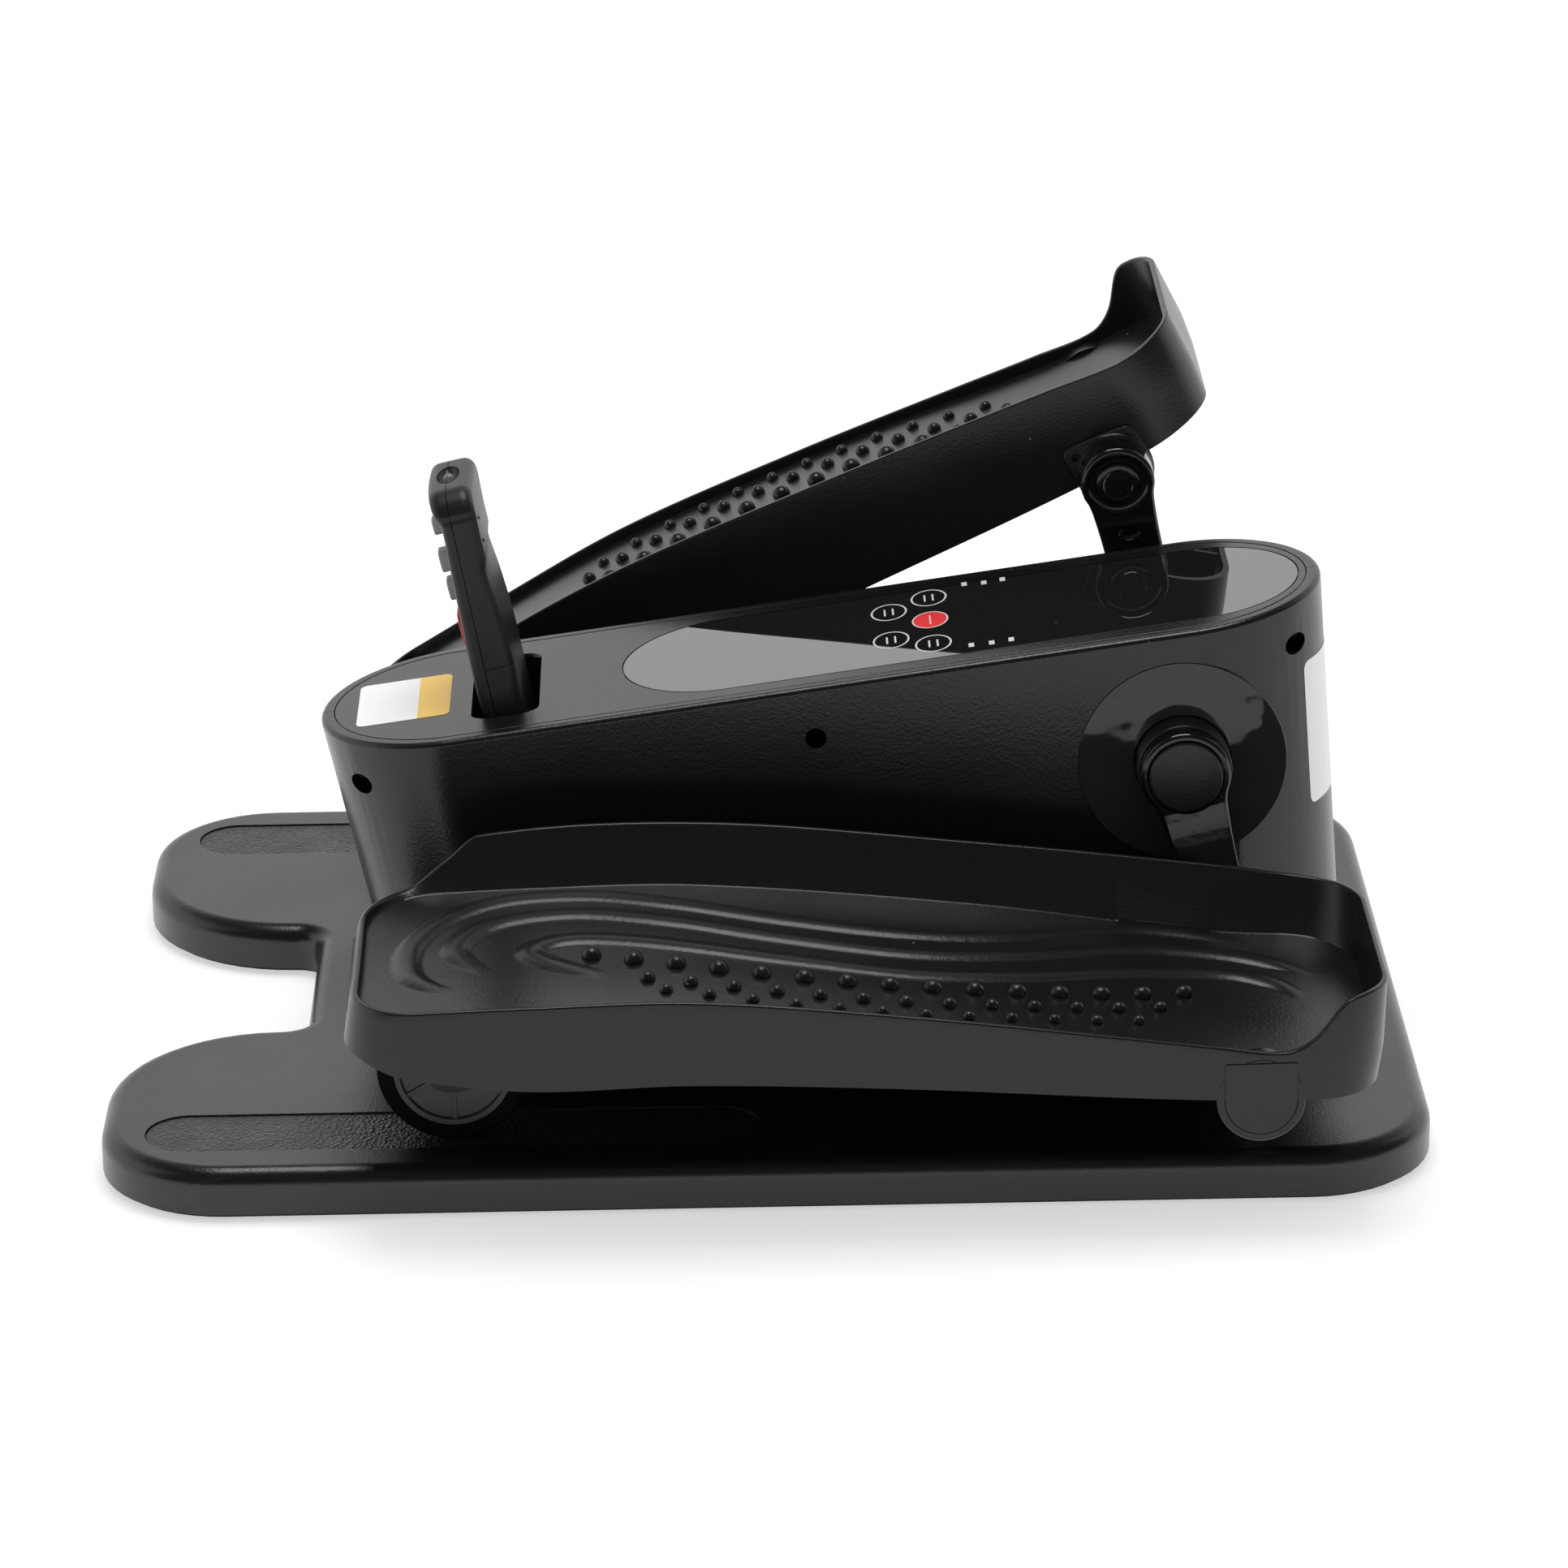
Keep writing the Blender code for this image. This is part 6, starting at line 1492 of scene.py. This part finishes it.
def build_trays():
    for name, side in SIDES.items():
        place = tray_matrix(side)
        boss = turned([
            (0.0, TRAY_OUTER - 0.012), (OUTER_BOSS_RADIUS, TRAY_OUTER - 0.012),
            (OUTER_BOSS_RADIUS, TRAY_OUTER - 0.0003), (OUTER_BOSS_RADIUS - 0.0006, TRAY_OUTER + GAP),
            (0.0, TRAY_OUTER + GAP),
        ], 96)
        boss = carve(boss, cover_plate(GAP, TRAY_OUTER - D_COVER_THICKNESS, TRAY_OUTER + BEYOND, 0.0))
        whole = moved(merged(tray_shell(side), tray_nubs(side), mirror_y(boss, side)), place)
        body = f"pedal_{name}"
        finish_piece(f"tray_{name}", whole, body, ["tray plastic"], [f"pedal_tray_{name}"], "shell",
                     sharp=TRAY_SHARP, weighted=False, recalc=False)
        under = moved(tray_underside(side), place)
        finish_piece(f"tray_web_{name}", under, body, ["tray plastic"], (), "shell", weighted=False)


def cover_plate(grow, low, high, edge):
    """The spindle cover's D: straight sides, a round foot and a flat top."""
    bm = bmesh.new()
    half = COVER_HALF_WIDTH + grow
    face = rounded_face(bm, [
        (-half, -half, half - 1e-5), (half, -half, half - 1e-5), (half, COVER_FLAT + grow, COVER_CORNER),
        (-half, COVER_FLAT + grow, COVER_CORNER),
    ], 0.0, 24)
    push(bm, [face], (0, 0, high - low))
    if edge:
        soften(bm, edge, 2, 40.0)
    upright = Matrix(((1, 0, 0, 0), (0, 0, 1, 0), (0, 1, 0, 0), (0, 0, 0, 1)))
    return moved(bm, Matrix.Translation((0, low, 0)) @ upright)


def bracket_plate(inner, outer):
    """The bracket's sheet with its ears, the holes in them and the opening for the collar."""
    plate = bmesh.new()
    ears = [(u, w, BRACKET_EAR_RADIUS) for u, w in BRACKET_EARS]
    rim = hull_outline([(0.0, 0.0, BRACKET_COLLAR + 0.001)] + ears)
    face = plate.faces.new([plate.verts.new((x, inner, z)) for x, z in rim])
    push(plate, [face], (0, outer - inner, 0))
    soften(plate, BRACKET_EDGE, 3, 40.0, edges_at(plate, lambda co: co.y < inner + 1e-6))
    for u, w in BRACKET_EARS:
        plate = carve(plate, rod(BRACKET_HOLE_RADIUS, inner - BEYOND, outer + BEYOND, u, w))
    plate = carve(plate, rod(BRACKET_COLLAR - 0.001, inner - BEYOND, outer + BEYOND, 0.0, 0.0, 96))
    return moved(plate, Matrix.Rotation(-BRACKET_TILT, 4, "Y"))


def bracket_collar(inner, outer):
    end = PIN_BOSS_OUT + 2 * GAP
    return turned([
        (SPINDLE_RADIUS + GAP, end), (BRACKET_COLLAR - 0.0010, end), (BRACKET_COLLAR - 0.0003, end + 0.0004),
        (BRACKET_COLLAR, end + 0.0012), (BRACKET_COLLAR, inner - 0.0008),
        (BRACKET_COLLAR + 0.0007, inner + 0.0002), (BRACKET_COLLAR + 0.0007, outer - 0.0002),
        (SPINDLE_RADIUS + GAP, outer - 0.0002),
    ], 96, closed=True)


def build_brackets():
    outer = TRAY_INNER - GAP
    inner = outer - BRACKET_SHEET
    for name, side in SIDES.items():
        bracket = mirror_y(merged(bracket_plate(inner, outer), bracket_collar(inner, outer)), side)
        cover = cover_plate(0.0, TRAY_OUTER + GAP - D_COVER_THICKNESS, TRAY_OUTER + 2 * GAP, D_COVER_EDGE)
        body = f"pedal_{name}"
        for piece, bm, node in (
            (f"bracket_{name}", bracket, f"spindle_bracket_{name}"),
            (f"d_cover_{name}", mirror_y(cover, side), f"spindle_cover_{name}"),
        ):
            finish_piece(piece, moved(bm, tray_matrix(side)), body, ["fitting plastic"], [node], "shell")


def hull_outline(circles, steps=64):
    """The outline that a belt takes round the circles, as x, z points in order."""
    points = []
    for x, z, radius in circles:
        points += [
            (x + radius * math.cos(2 * math.pi * k / steps), z + radius * math.sin(2 * math.pi * k / steps))
            for k in range(steps)
        ]
    points.sort()

    def bends_in(a, b, c):
        return (b[0] - a[0]) * (c[1] - a[1]) - (b[1] - a[1]) * (c[0] - a[0]) <= 0

    def half(ordered):
        kept = []
        for point in ordered:
            while len(kept) > 1 and bends_in(kept[-2], kept[-1], point):
                kept.pop()
            kept.append(point)
        return kept[:-1]

    return half(points) + half(points[::-1])


# Heel rollers


def roller_tyre():
    half = ROLLER_WIDTH / 2
    inner = HUB_RIM_RADIUS + GAP
    return turned([
        (inner, -half), (ROLLER_RADIUS - 0.0016, -half), (ROLLER_RADIUS - 0.0004, -half + 0.0008),
        (ROLLER_RADIUS, -half + 0.0024), (ROLLER_RADIUS, half - 0.0024),
        (ROLLER_RADIUS - 0.0004, half - 0.0008), (ROLLER_RADIUS - 0.0016, half), (inner, half),
    ], 96, closed=True)


def roller_hub():
    """A rim and a boss joined by a sunken web, with spokes on it."""
    half = ROLLER_WIDTH / 2
    web = half - HUB_WEB_SUNK
    bore = ROLLER_AXLE_RADIUS + GAP
    hub = turned([
        (bore, -half), (ROLLER_AXLE_RADIUS + 0.0036, -half), (ROLLER_AXLE_RADIUS + 0.0042, -web),
        (HUB_RIM_RADIUS - 0.0030, -web), (HUB_RIM_RADIUS - 0.0022, -half), (HUB_RIM_RADIUS, -half),
        (HUB_RIM_RADIUS, half), (HUB_RIM_RADIUS - 0.0022, half), (HUB_RIM_RADIUS - 0.0030, web),
        (ROLLER_AXLE_RADIUS + 0.0042, web), (ROLLER_AXLE_RADIUS + 0.0036, half), (bore, half),
    ], 96, closed=True)
    spokes = []
    for k in range(SPOKES):
        spoke = block((ROLLER_AXLE_RADIUS + 0.003, -half * 0.97, -SPOKE_HALF),
                      (HUB_RIM_RADIUS - 0.0024, half * 0.97, SPOKE_HALF))
        soften(spoke, SPOKE_EDGE, 2)
        spokes.append(moved(spoke, Matrix.Rotation(math.pi * k / 3 + math.pi / 6, 4, "Y")))
    return merged(hub, *spokes)


def build_rollers():
    for name, side in SIDES.items():
        place = tray_matrix(side) @ Matrix.Translation((-PIVOT_TO_ROLLER, side * ROLLER_CENTRE, 0))
        body = f"roller_{name}"
        for piece, bm, ink, slot in (
            ("tyre", roller_tyre(), "tyre rubber", "tyre"), ("hub", roller_hub(), "roller plastic", "shell"),
        ):
            node = f"roller_{piece}_{name}"
            finish_piece(f"{piece}_{name}", moved(bm, place), body, [ink], [node], slot)
    dress("black rubber", "roller_fork_near", "roller_fork_far")
    dress("dark steel", "roller_axle_near", "roller_axle_far")


# Remote control


def remote_blank(low, high, edge, bottom, top=REMOTE_LENGTH):
    """The remote's outline pushed from one level of its thickness to another, one rim rounded."""
    bm = bmesh.new()
    half = REMOTE_WIDTH / 2
    face = rounded_face(bm, [
        (-half, bottom, REMOTE_FOOT_CORNER), (half, bottom, REMOTE_FOOT_CORNER),
        (half, top, REMOTE_CORNER), (-half, top, REMOTE_CORNER),
    ], low, 14)
    push(bm, [face], (0, 0, high - low))
    soften(bm, edge, 6, 40.0, edges_at(bm, lambda co: abs(co.z - high) < 1e-6))
    slice_along(bm, (0, 1, 0), np.linspace(0.004, top - 0.004, 54))
    slice_along(bm, (1, 0, 0), np.linspace(-half * 0.85, half * 0.85, 13))
    return bm


def remote_place():
    """Turns a blank (across, along, thickness) into the remote's own frame and then into place."""
    return remote_matrix() @ Matrix(((0, 0, 1, 0), (1, 0, 0, 0), (0, 1, 0, 0), (0, 0, 0, 1)))


def shape_remote(bm, front):
    """The crowned front, the waist and belly of the back, and the head, which is wider than the body."""
    half = REMOTE_WIDTH / 2
    for vert in bm.verts:
        y, t, x = vert.co
        body = 1.0 - float(smooth_step((t - HEAD_FROM) / 0.006))
        vert.co.x = y * (1 - HEAD_PROUD * body / half)
        shift = remote_shift(t)
        if front:
            share = (REMOTE_PARTING - x) / (REMOTE_PARTING + REMOTE_THICKNESS / 2)
            crown = REMOTE_CROWN * (1 - (y / half) ** 2)
            vert.co.z = x + shift - share * (crown - FRONT_SUNK + float(curve(REMOTE_FRONT, t)))
        else:
            share = (x - REMOTE_PARTING) / (REMOTE_THICKNESS / 2 - REMOTE_PARTING)
            vert.co.z = x + shift + share * float(curve(REMOTE_BACK, t))
    return bm


def remote_shift(t):
    """How far the upper part stands further back, because it is more upright."""
    return REMOTE_UPRIGHT * max(t - REMOTE_TURNS_AT, 0.0)


def build_remote():
    place = remote_place()
    back_face = REMOTE_THICKNESS / 2
    front = shape_remote(remote_blank(REMOTE_PARTING, -back_face, REMOTE_EDGE, 0.0), True)
    back = shape_remote(remote_blank(REMOTE_PARTING + GAP, back_face, REMOTE_BACK_EDGE, 0.0), False)
    for t, size, _ in KEY_PLACES.values():
        room = key_blank(size + 2 * GAP, REMOTE_PARTING + 0.0004 + remote_shift(t), -back_face - BEYOND, 0.0)
        front = carve(front, moved(room, Matrix.Translation((0, t, 0))))
    top = REMOTE_PARTING + remote_shift(REMOTE_LENGTH) + 0.0006
    scoop = bmesh.new()
    ball(scoop, (0, REMOTE_LENGTH + 0.0006, top), SCOOP_SIZE, 64, 32)
    front = carve(front, scoop.copy())
    back = carve(back, scoop)
    below = block((-0.05, -0.01, -0.02), (0.05, DOOR_HEIGHT, 0.02))
    above = block((-0.05, DOOR_HEIGHT + GAP, -0.02), (0.05, 0.2, 0.02))
    door = carve(back.copy(), below, "INTERSECT")
    upper = carve(back, above, "INTERSECT")
    for name, bm, node in (
        ("remote_front", front, "remote_front_shell"), ("remote_back", upper, "remote_back_shell"),
        ("remote_door", door, "remote_battery_door"),
    ):
        finish_piece(name, moved(bm, place), "remote", ["remote plastic"], [node], "shell")
    pegs = bmesh.new()
    for y, t in PEGS:
        ball(pegs, (y, t, back_face + remote_shift(t) - 0.0004), [PEG_RADIUS] * 3, 16, 10)
    finish_piece("remote_pegs", moved(pegs, place), "remote", ["black rubber"])
    lamp = bmesh.new()
    ball(lamp, (0, REMOTE_LENGTH - 0.0020, top), [LAMP_RADIUS] * 3)
    finish_piece("remote_lamp", moved(lamp, place), "remote", ["clear resin"], ["remote_emitter"], "clear")
    for name, (t, size, proud) in KEY_PLACES.items():
        key = key_blank(size, REMOTE_PARTING - 0.0012, -back_face - REMOTE_CROWN - proud, KEY_EDGE)
        moved(key, place @ Matrix.Translation((0, t, 0)))
        ink, slot = ("stop rubber", "key_red") if name == "remote_key_stop" else ("key rubber", "key_grey")
        finish_piece(f"{name}_cap", key, name, [ink], [name], slot)


def key_blank(size, low, high, edge):
    """A square key with round corners; the rim at the high level is rounded if an edge is given."""
    bm = bmesh.new()
    half = size / 2
    push(bm, [box_face(bm, -half, half, -half, half, size * 0.3, low)], (0, 0, high - low))
    if edge:
        soften(bm, edge, 3, 40.0, edges_at(bm, lambda co: abs(co.z - high) < 1e-6))
    return bm


# Stage


def seen_directly(tree):
    """The light path, and 1 for rays that show a surface to the camera, in a reflection or through glass."""
    path = put(tree, "ShaderNodeLightPath")
    seen = math_node(tree, "MAXIMUM", path.outputs["Is Camera Ray"], path.outputs["Is Glossy Ray"])
    return path, math_node(tree, "MAXIMUM", seen, path.outputs["Is Transmission Ray"])


def studio_world():
    """Even light; in reflections the backdrop is white, the ceiling and the room behind the camera dark."""
    world = bpy.data.worlds.new("studio")
    world.use_nodes = True
    tree = world.node_tree
    tree.nodes.clear()
    path, seen = seen_directly(tree)
    ambient = put(tree, "ShaderNodeBackground", {"Color": WHITE, "Strength": AMBIENT})
    towards = put(tree, "ShaderNodeTexCoord").outputs["Generated"]
    axes = put(tree, "ShaderNodeSeparateXYZ", {"Vector": towards})
    sideways = math_node(tree, "MAXIMUM", axes.outputs["X"], 0.0)
    sideways = math_node(tree, "MULTIPLY", sideways, ROOM_TURN)
    turned_y = math_node(tree, "SUBTRACT", axes.outputs["Y"], sideways)
    behind = ramp(tree, turned_y, *ROOM_BEHIND)
    room = math_node(tree, "MULTIPLY", behind, ramp(tree, axes.outputs["Z"], *ROOM_FOOT))
    room = math_node(tree, "MAXIMUM", room, ramp(tree, axes.outputs["Z"], *ROOM_CEILING))
    room = math_node(tree, "MULTIPLY", room, path.outputs["Is Glossy Ray"])
    level = math_node(tree, "SUBTRACT", 1.0, math_node(tree, "MULTIPLY", room, ROOM_DARK))
    white = put(tree, "ShaderNodeBackground", {"Color": WHITE, "Strength": level})
    mix = put(tree, "ShaderNodeMixShader", {0: seen, 1: ambient.outputs[0], 2: white.outputs[0]})
    put(tree, "ShaderNodeOutputWorld", {"Surface": mix.outputs[0]})
    return world


def floor_finish():
    """White to the camera and in reflections, with the object's soft shadow; pale paint to the light."""
    material = bpy.data.materials.new("studio floor")
    material.use_nodes = True
    tree = material.node_tree
    tree.nodes.clear()
    place = put(tree, "ShaderNodeTexCoord").outputs["Object"]
    mottle = put(tree, "ShaderNodeTexNoise", {"Vector": place, "Scale": 3.0, "Detail": 4.0})
    shade = put(tree, "ShaderNodeMix", {"Factor": mottle.outputs["Fac"]}, data_type="RGBA")
    for socket, tone in zip((6, 7), FLOOR_TONES):
        shade.inputs[socket].default_value = (tone, tone, tone, 1.0)
    soft = put(tree, "ShaderNodeBsdfDiffuse", {"Color": shade.outputs[2]})
    lift = put(tree, "ShaderNodeEmission", {"Color": WHITE, "Strength": FLOOR_LIFT})
    bright = put(tree, "ShaderNodeAddShader", {0: soft.outputs[0], 1: lift.outputs[0]})
    plain = put(tree, "ShaderNodeBsdfDiffuse", {"Color": (FLOOR_BOUNCE, FLOOR_BOUNCE, FLOOR_BOUNCE, 1.0)})
    _, seen = seen_directly(tree)
    mix = put(tree, "ShaderNodeMixShader", {0: seen, 1: plain.outputs[0], 2: bright.outputs[0]})
    put(tree, "ShaderNodeOutputMaterial", {"Surface": mix.outputs[0]})
    return material


def build_stage():
    scene = bpy.context.scene
    floor = bmesh.new()
    bmesh.ops.create_grid(floor, x_segments=2, y_segments=2, size=12.0)
    ground = as_object(floor, "floor", recalc=False)
    ground.data.materials.append(floor_finish())
    scene.world = studio_world()
    light = bpy.data.lights.new("softbox_top", "AREA")
    light.shape = "SQUARE"
    light.size = SOFTBOX_SIZE
    light.energy = scene.trainer_sizes.softbox
    lamp = bpy.data.objects.new("softbox_top", light)
    lamp.location = SOFTBOX_PLACE
    lamp.rotation_euler = (Vector(SOFTBOX_TARGET) - Vector(SOFTBOX_PLACE)).to_track_quat("-Z", "Y").to_euler()
    scene.collection.objects.link(lamp)
    data = bpy.data.cameras.new("camera")
    data.lens = CAMERA_LENS
    data.sensor_width = 36.0
    data.sensor_fit = "HORIZONTAL"
    data.clip_start = 0.05
    data.clip_end = 100.0
    camera = bpy.data.objects.new("camera", data)
    camera.location = CAMERA_PLACE
    camera.rotation_euler = [math.radians(a) for a in CAMERA_TURN]
    scene.collection.objects.link(camera)
    scene.camera = camera
    scene.view_settings.view_transform = "Standard"


# Operators, panel and start


class PieceBuilder:
    """What the operators share: each one runs the function that it holds."""

    def execute(self, context):
        self.build()
        return {"FINISHED"}


class TRAINER_OT_base(PieceBuilder, bpy.types.Operator):
    """Build the base, its roller tracks and the plate under it"""

    bl_idname = "trainer.base"
    bl_label = "Base and tracks"
    build = staticmethod(build_base)


class TRAINER_OT_housing(PieceBuilder, bpy.types.Operator):
    """Build the two halves of the wedge housing with their screw holes"""

    bl_idname = "trainer.housing"
    bl_label = "Housing halves"
    build = staticmethod(build_housing)


class TRAINER_OT_cover(PieceBuilder, bpy.types.Operator):
    """Build the top cover with the remote's pocket"""

    bl_idname = "trainer.cover"
    bl_label = "Top cover"
    build = staticmethod(build_cover)


class TRAINER_OT_window(PieceBuilder, bpy.types.Operator):
    """Build the gloss window and the key marks on it"""

    bl_idname = "trainer.window"
    bl_label = "Display window"
    build = staticmethod(build_window)


class TRAINER_OT_labels(PieceBuilder, bpy.types.Operator):
    """Build the bare stickers on the cover and the toe end"""

    bl_idname = "trainer.labels"
    bl_label = "Stickers"
    build = staticmethod(build_labels)


class TRAINER_OT_discs(PieceBuilder, bpy.types.Operator):
    """Build the gloss discs and the collars on the crank axle"""

    bl_idname = "trainer.discs"
    bl_label = "Discs and collars"
    build = staticmethod(build_discs)


class TRAINER_OT_cranks(PieceBuilder, bpy.types.Operator):
    """Build the crank arms, their caps and the pedal spindles"""

    bl_idname = "trainer.cranks"
    bl_label = "Cranks"
    build = staticmethod(build_cranks)


class TRAINER_OT_trays(PieceBuilder, bpy.types.Operator):
    """Build the two foot trays with their ridges and nubs"""

    bl_idname = "trainer.trays"
    bl_label = "Foot trays"
    build = staticmethod(build_trays)


class TRAINER_OT_brackets(PieceBuilder, bpy.types.Operator):
    """Build the spindle brackets and the covers on the trays' outer walls"""

    bl_idname = "trainer.brackets"
    bl_label = "Brackets and covers"
    build = staticmethod(build_brackets)


class TRAINER_OT_rollers(PieceBuilder, bpy.types.Operator):
    """Build the heel rollers"""

    bl_idname = "trainer.rollers"
    bl_label = "Heel rollers"
    build = staticmethod(build_rollers)


class TRAINER_OT_remote(PieceBuilder, bpy.types.Operator):
    """Build the remote control with its keys"""

    bl_idname = "trainer.remote"
    bl_label = "Remote control"
    build = staticmethod(build_remote)


class TRAINER_OT_stage(PieceBuilder, bpy.types.Operator):
    """Build the floor, the light and the camera"""

    bl_idname = "trainer.stage"
    bl_label = "Stage"
    build = staticmethod(build_stage)


OPERATORS = (
    TRAINER_OT_base, TRAINER_OT_housing, TRAINER_OT_cover, TRAINER_OT_window, TRAINER_OT_labels,
    TRAINER_OT_discs, TRAINER_OT_cranks, TRAINER_OT_trays, TRAINER_OT_brackets, TRAINER_OT_rollers,
    TRAINER_OT_remote, TRAINER_OT_stage,
)


class TRAINER_PT_panel(bpy.types.Panel):
    """Lists the pieces in the 3D view's sidebar"""

    bl_idname = "TRAINER_PT_panel"
    bl_label = "Mini elliptical trainer"
    bl_space_type = "VIEW_3D"
    bl_region_type = "UI"
    bl_category = "Trainer"

    def draw(self, context):
        for operator in OPERATORS:
            self.layout.operator(operator.bl_idname)


CLASSES = (TrainerColours, TrainerSizes, *OPERATORS, TRAINER_PT_panel)


def register():
    for cls in CLASSES:
        bpy.utils.register_class(cls)
    bpy.types.Scene.trainer_colours = PointerProperty(type=TrainerColours)
    bpy.types.Scene.trainer_sizes = PointerProperty(type=TrainerSizes)


def unregister():
    del bpy.types.Scene.trainer_colours
    del bpy.types.Scene.trainer_sizes
    for cls in reversed(CLASSES):
        bpy.utils.unregister_class(cls)


def main():
    register()
    for operator in OPERATORS:
        group, name = operator.bl_idname.split(".")
        getattr(getattr(bpy.ops, group), name)()


if __name__ == "__main__":
    main()
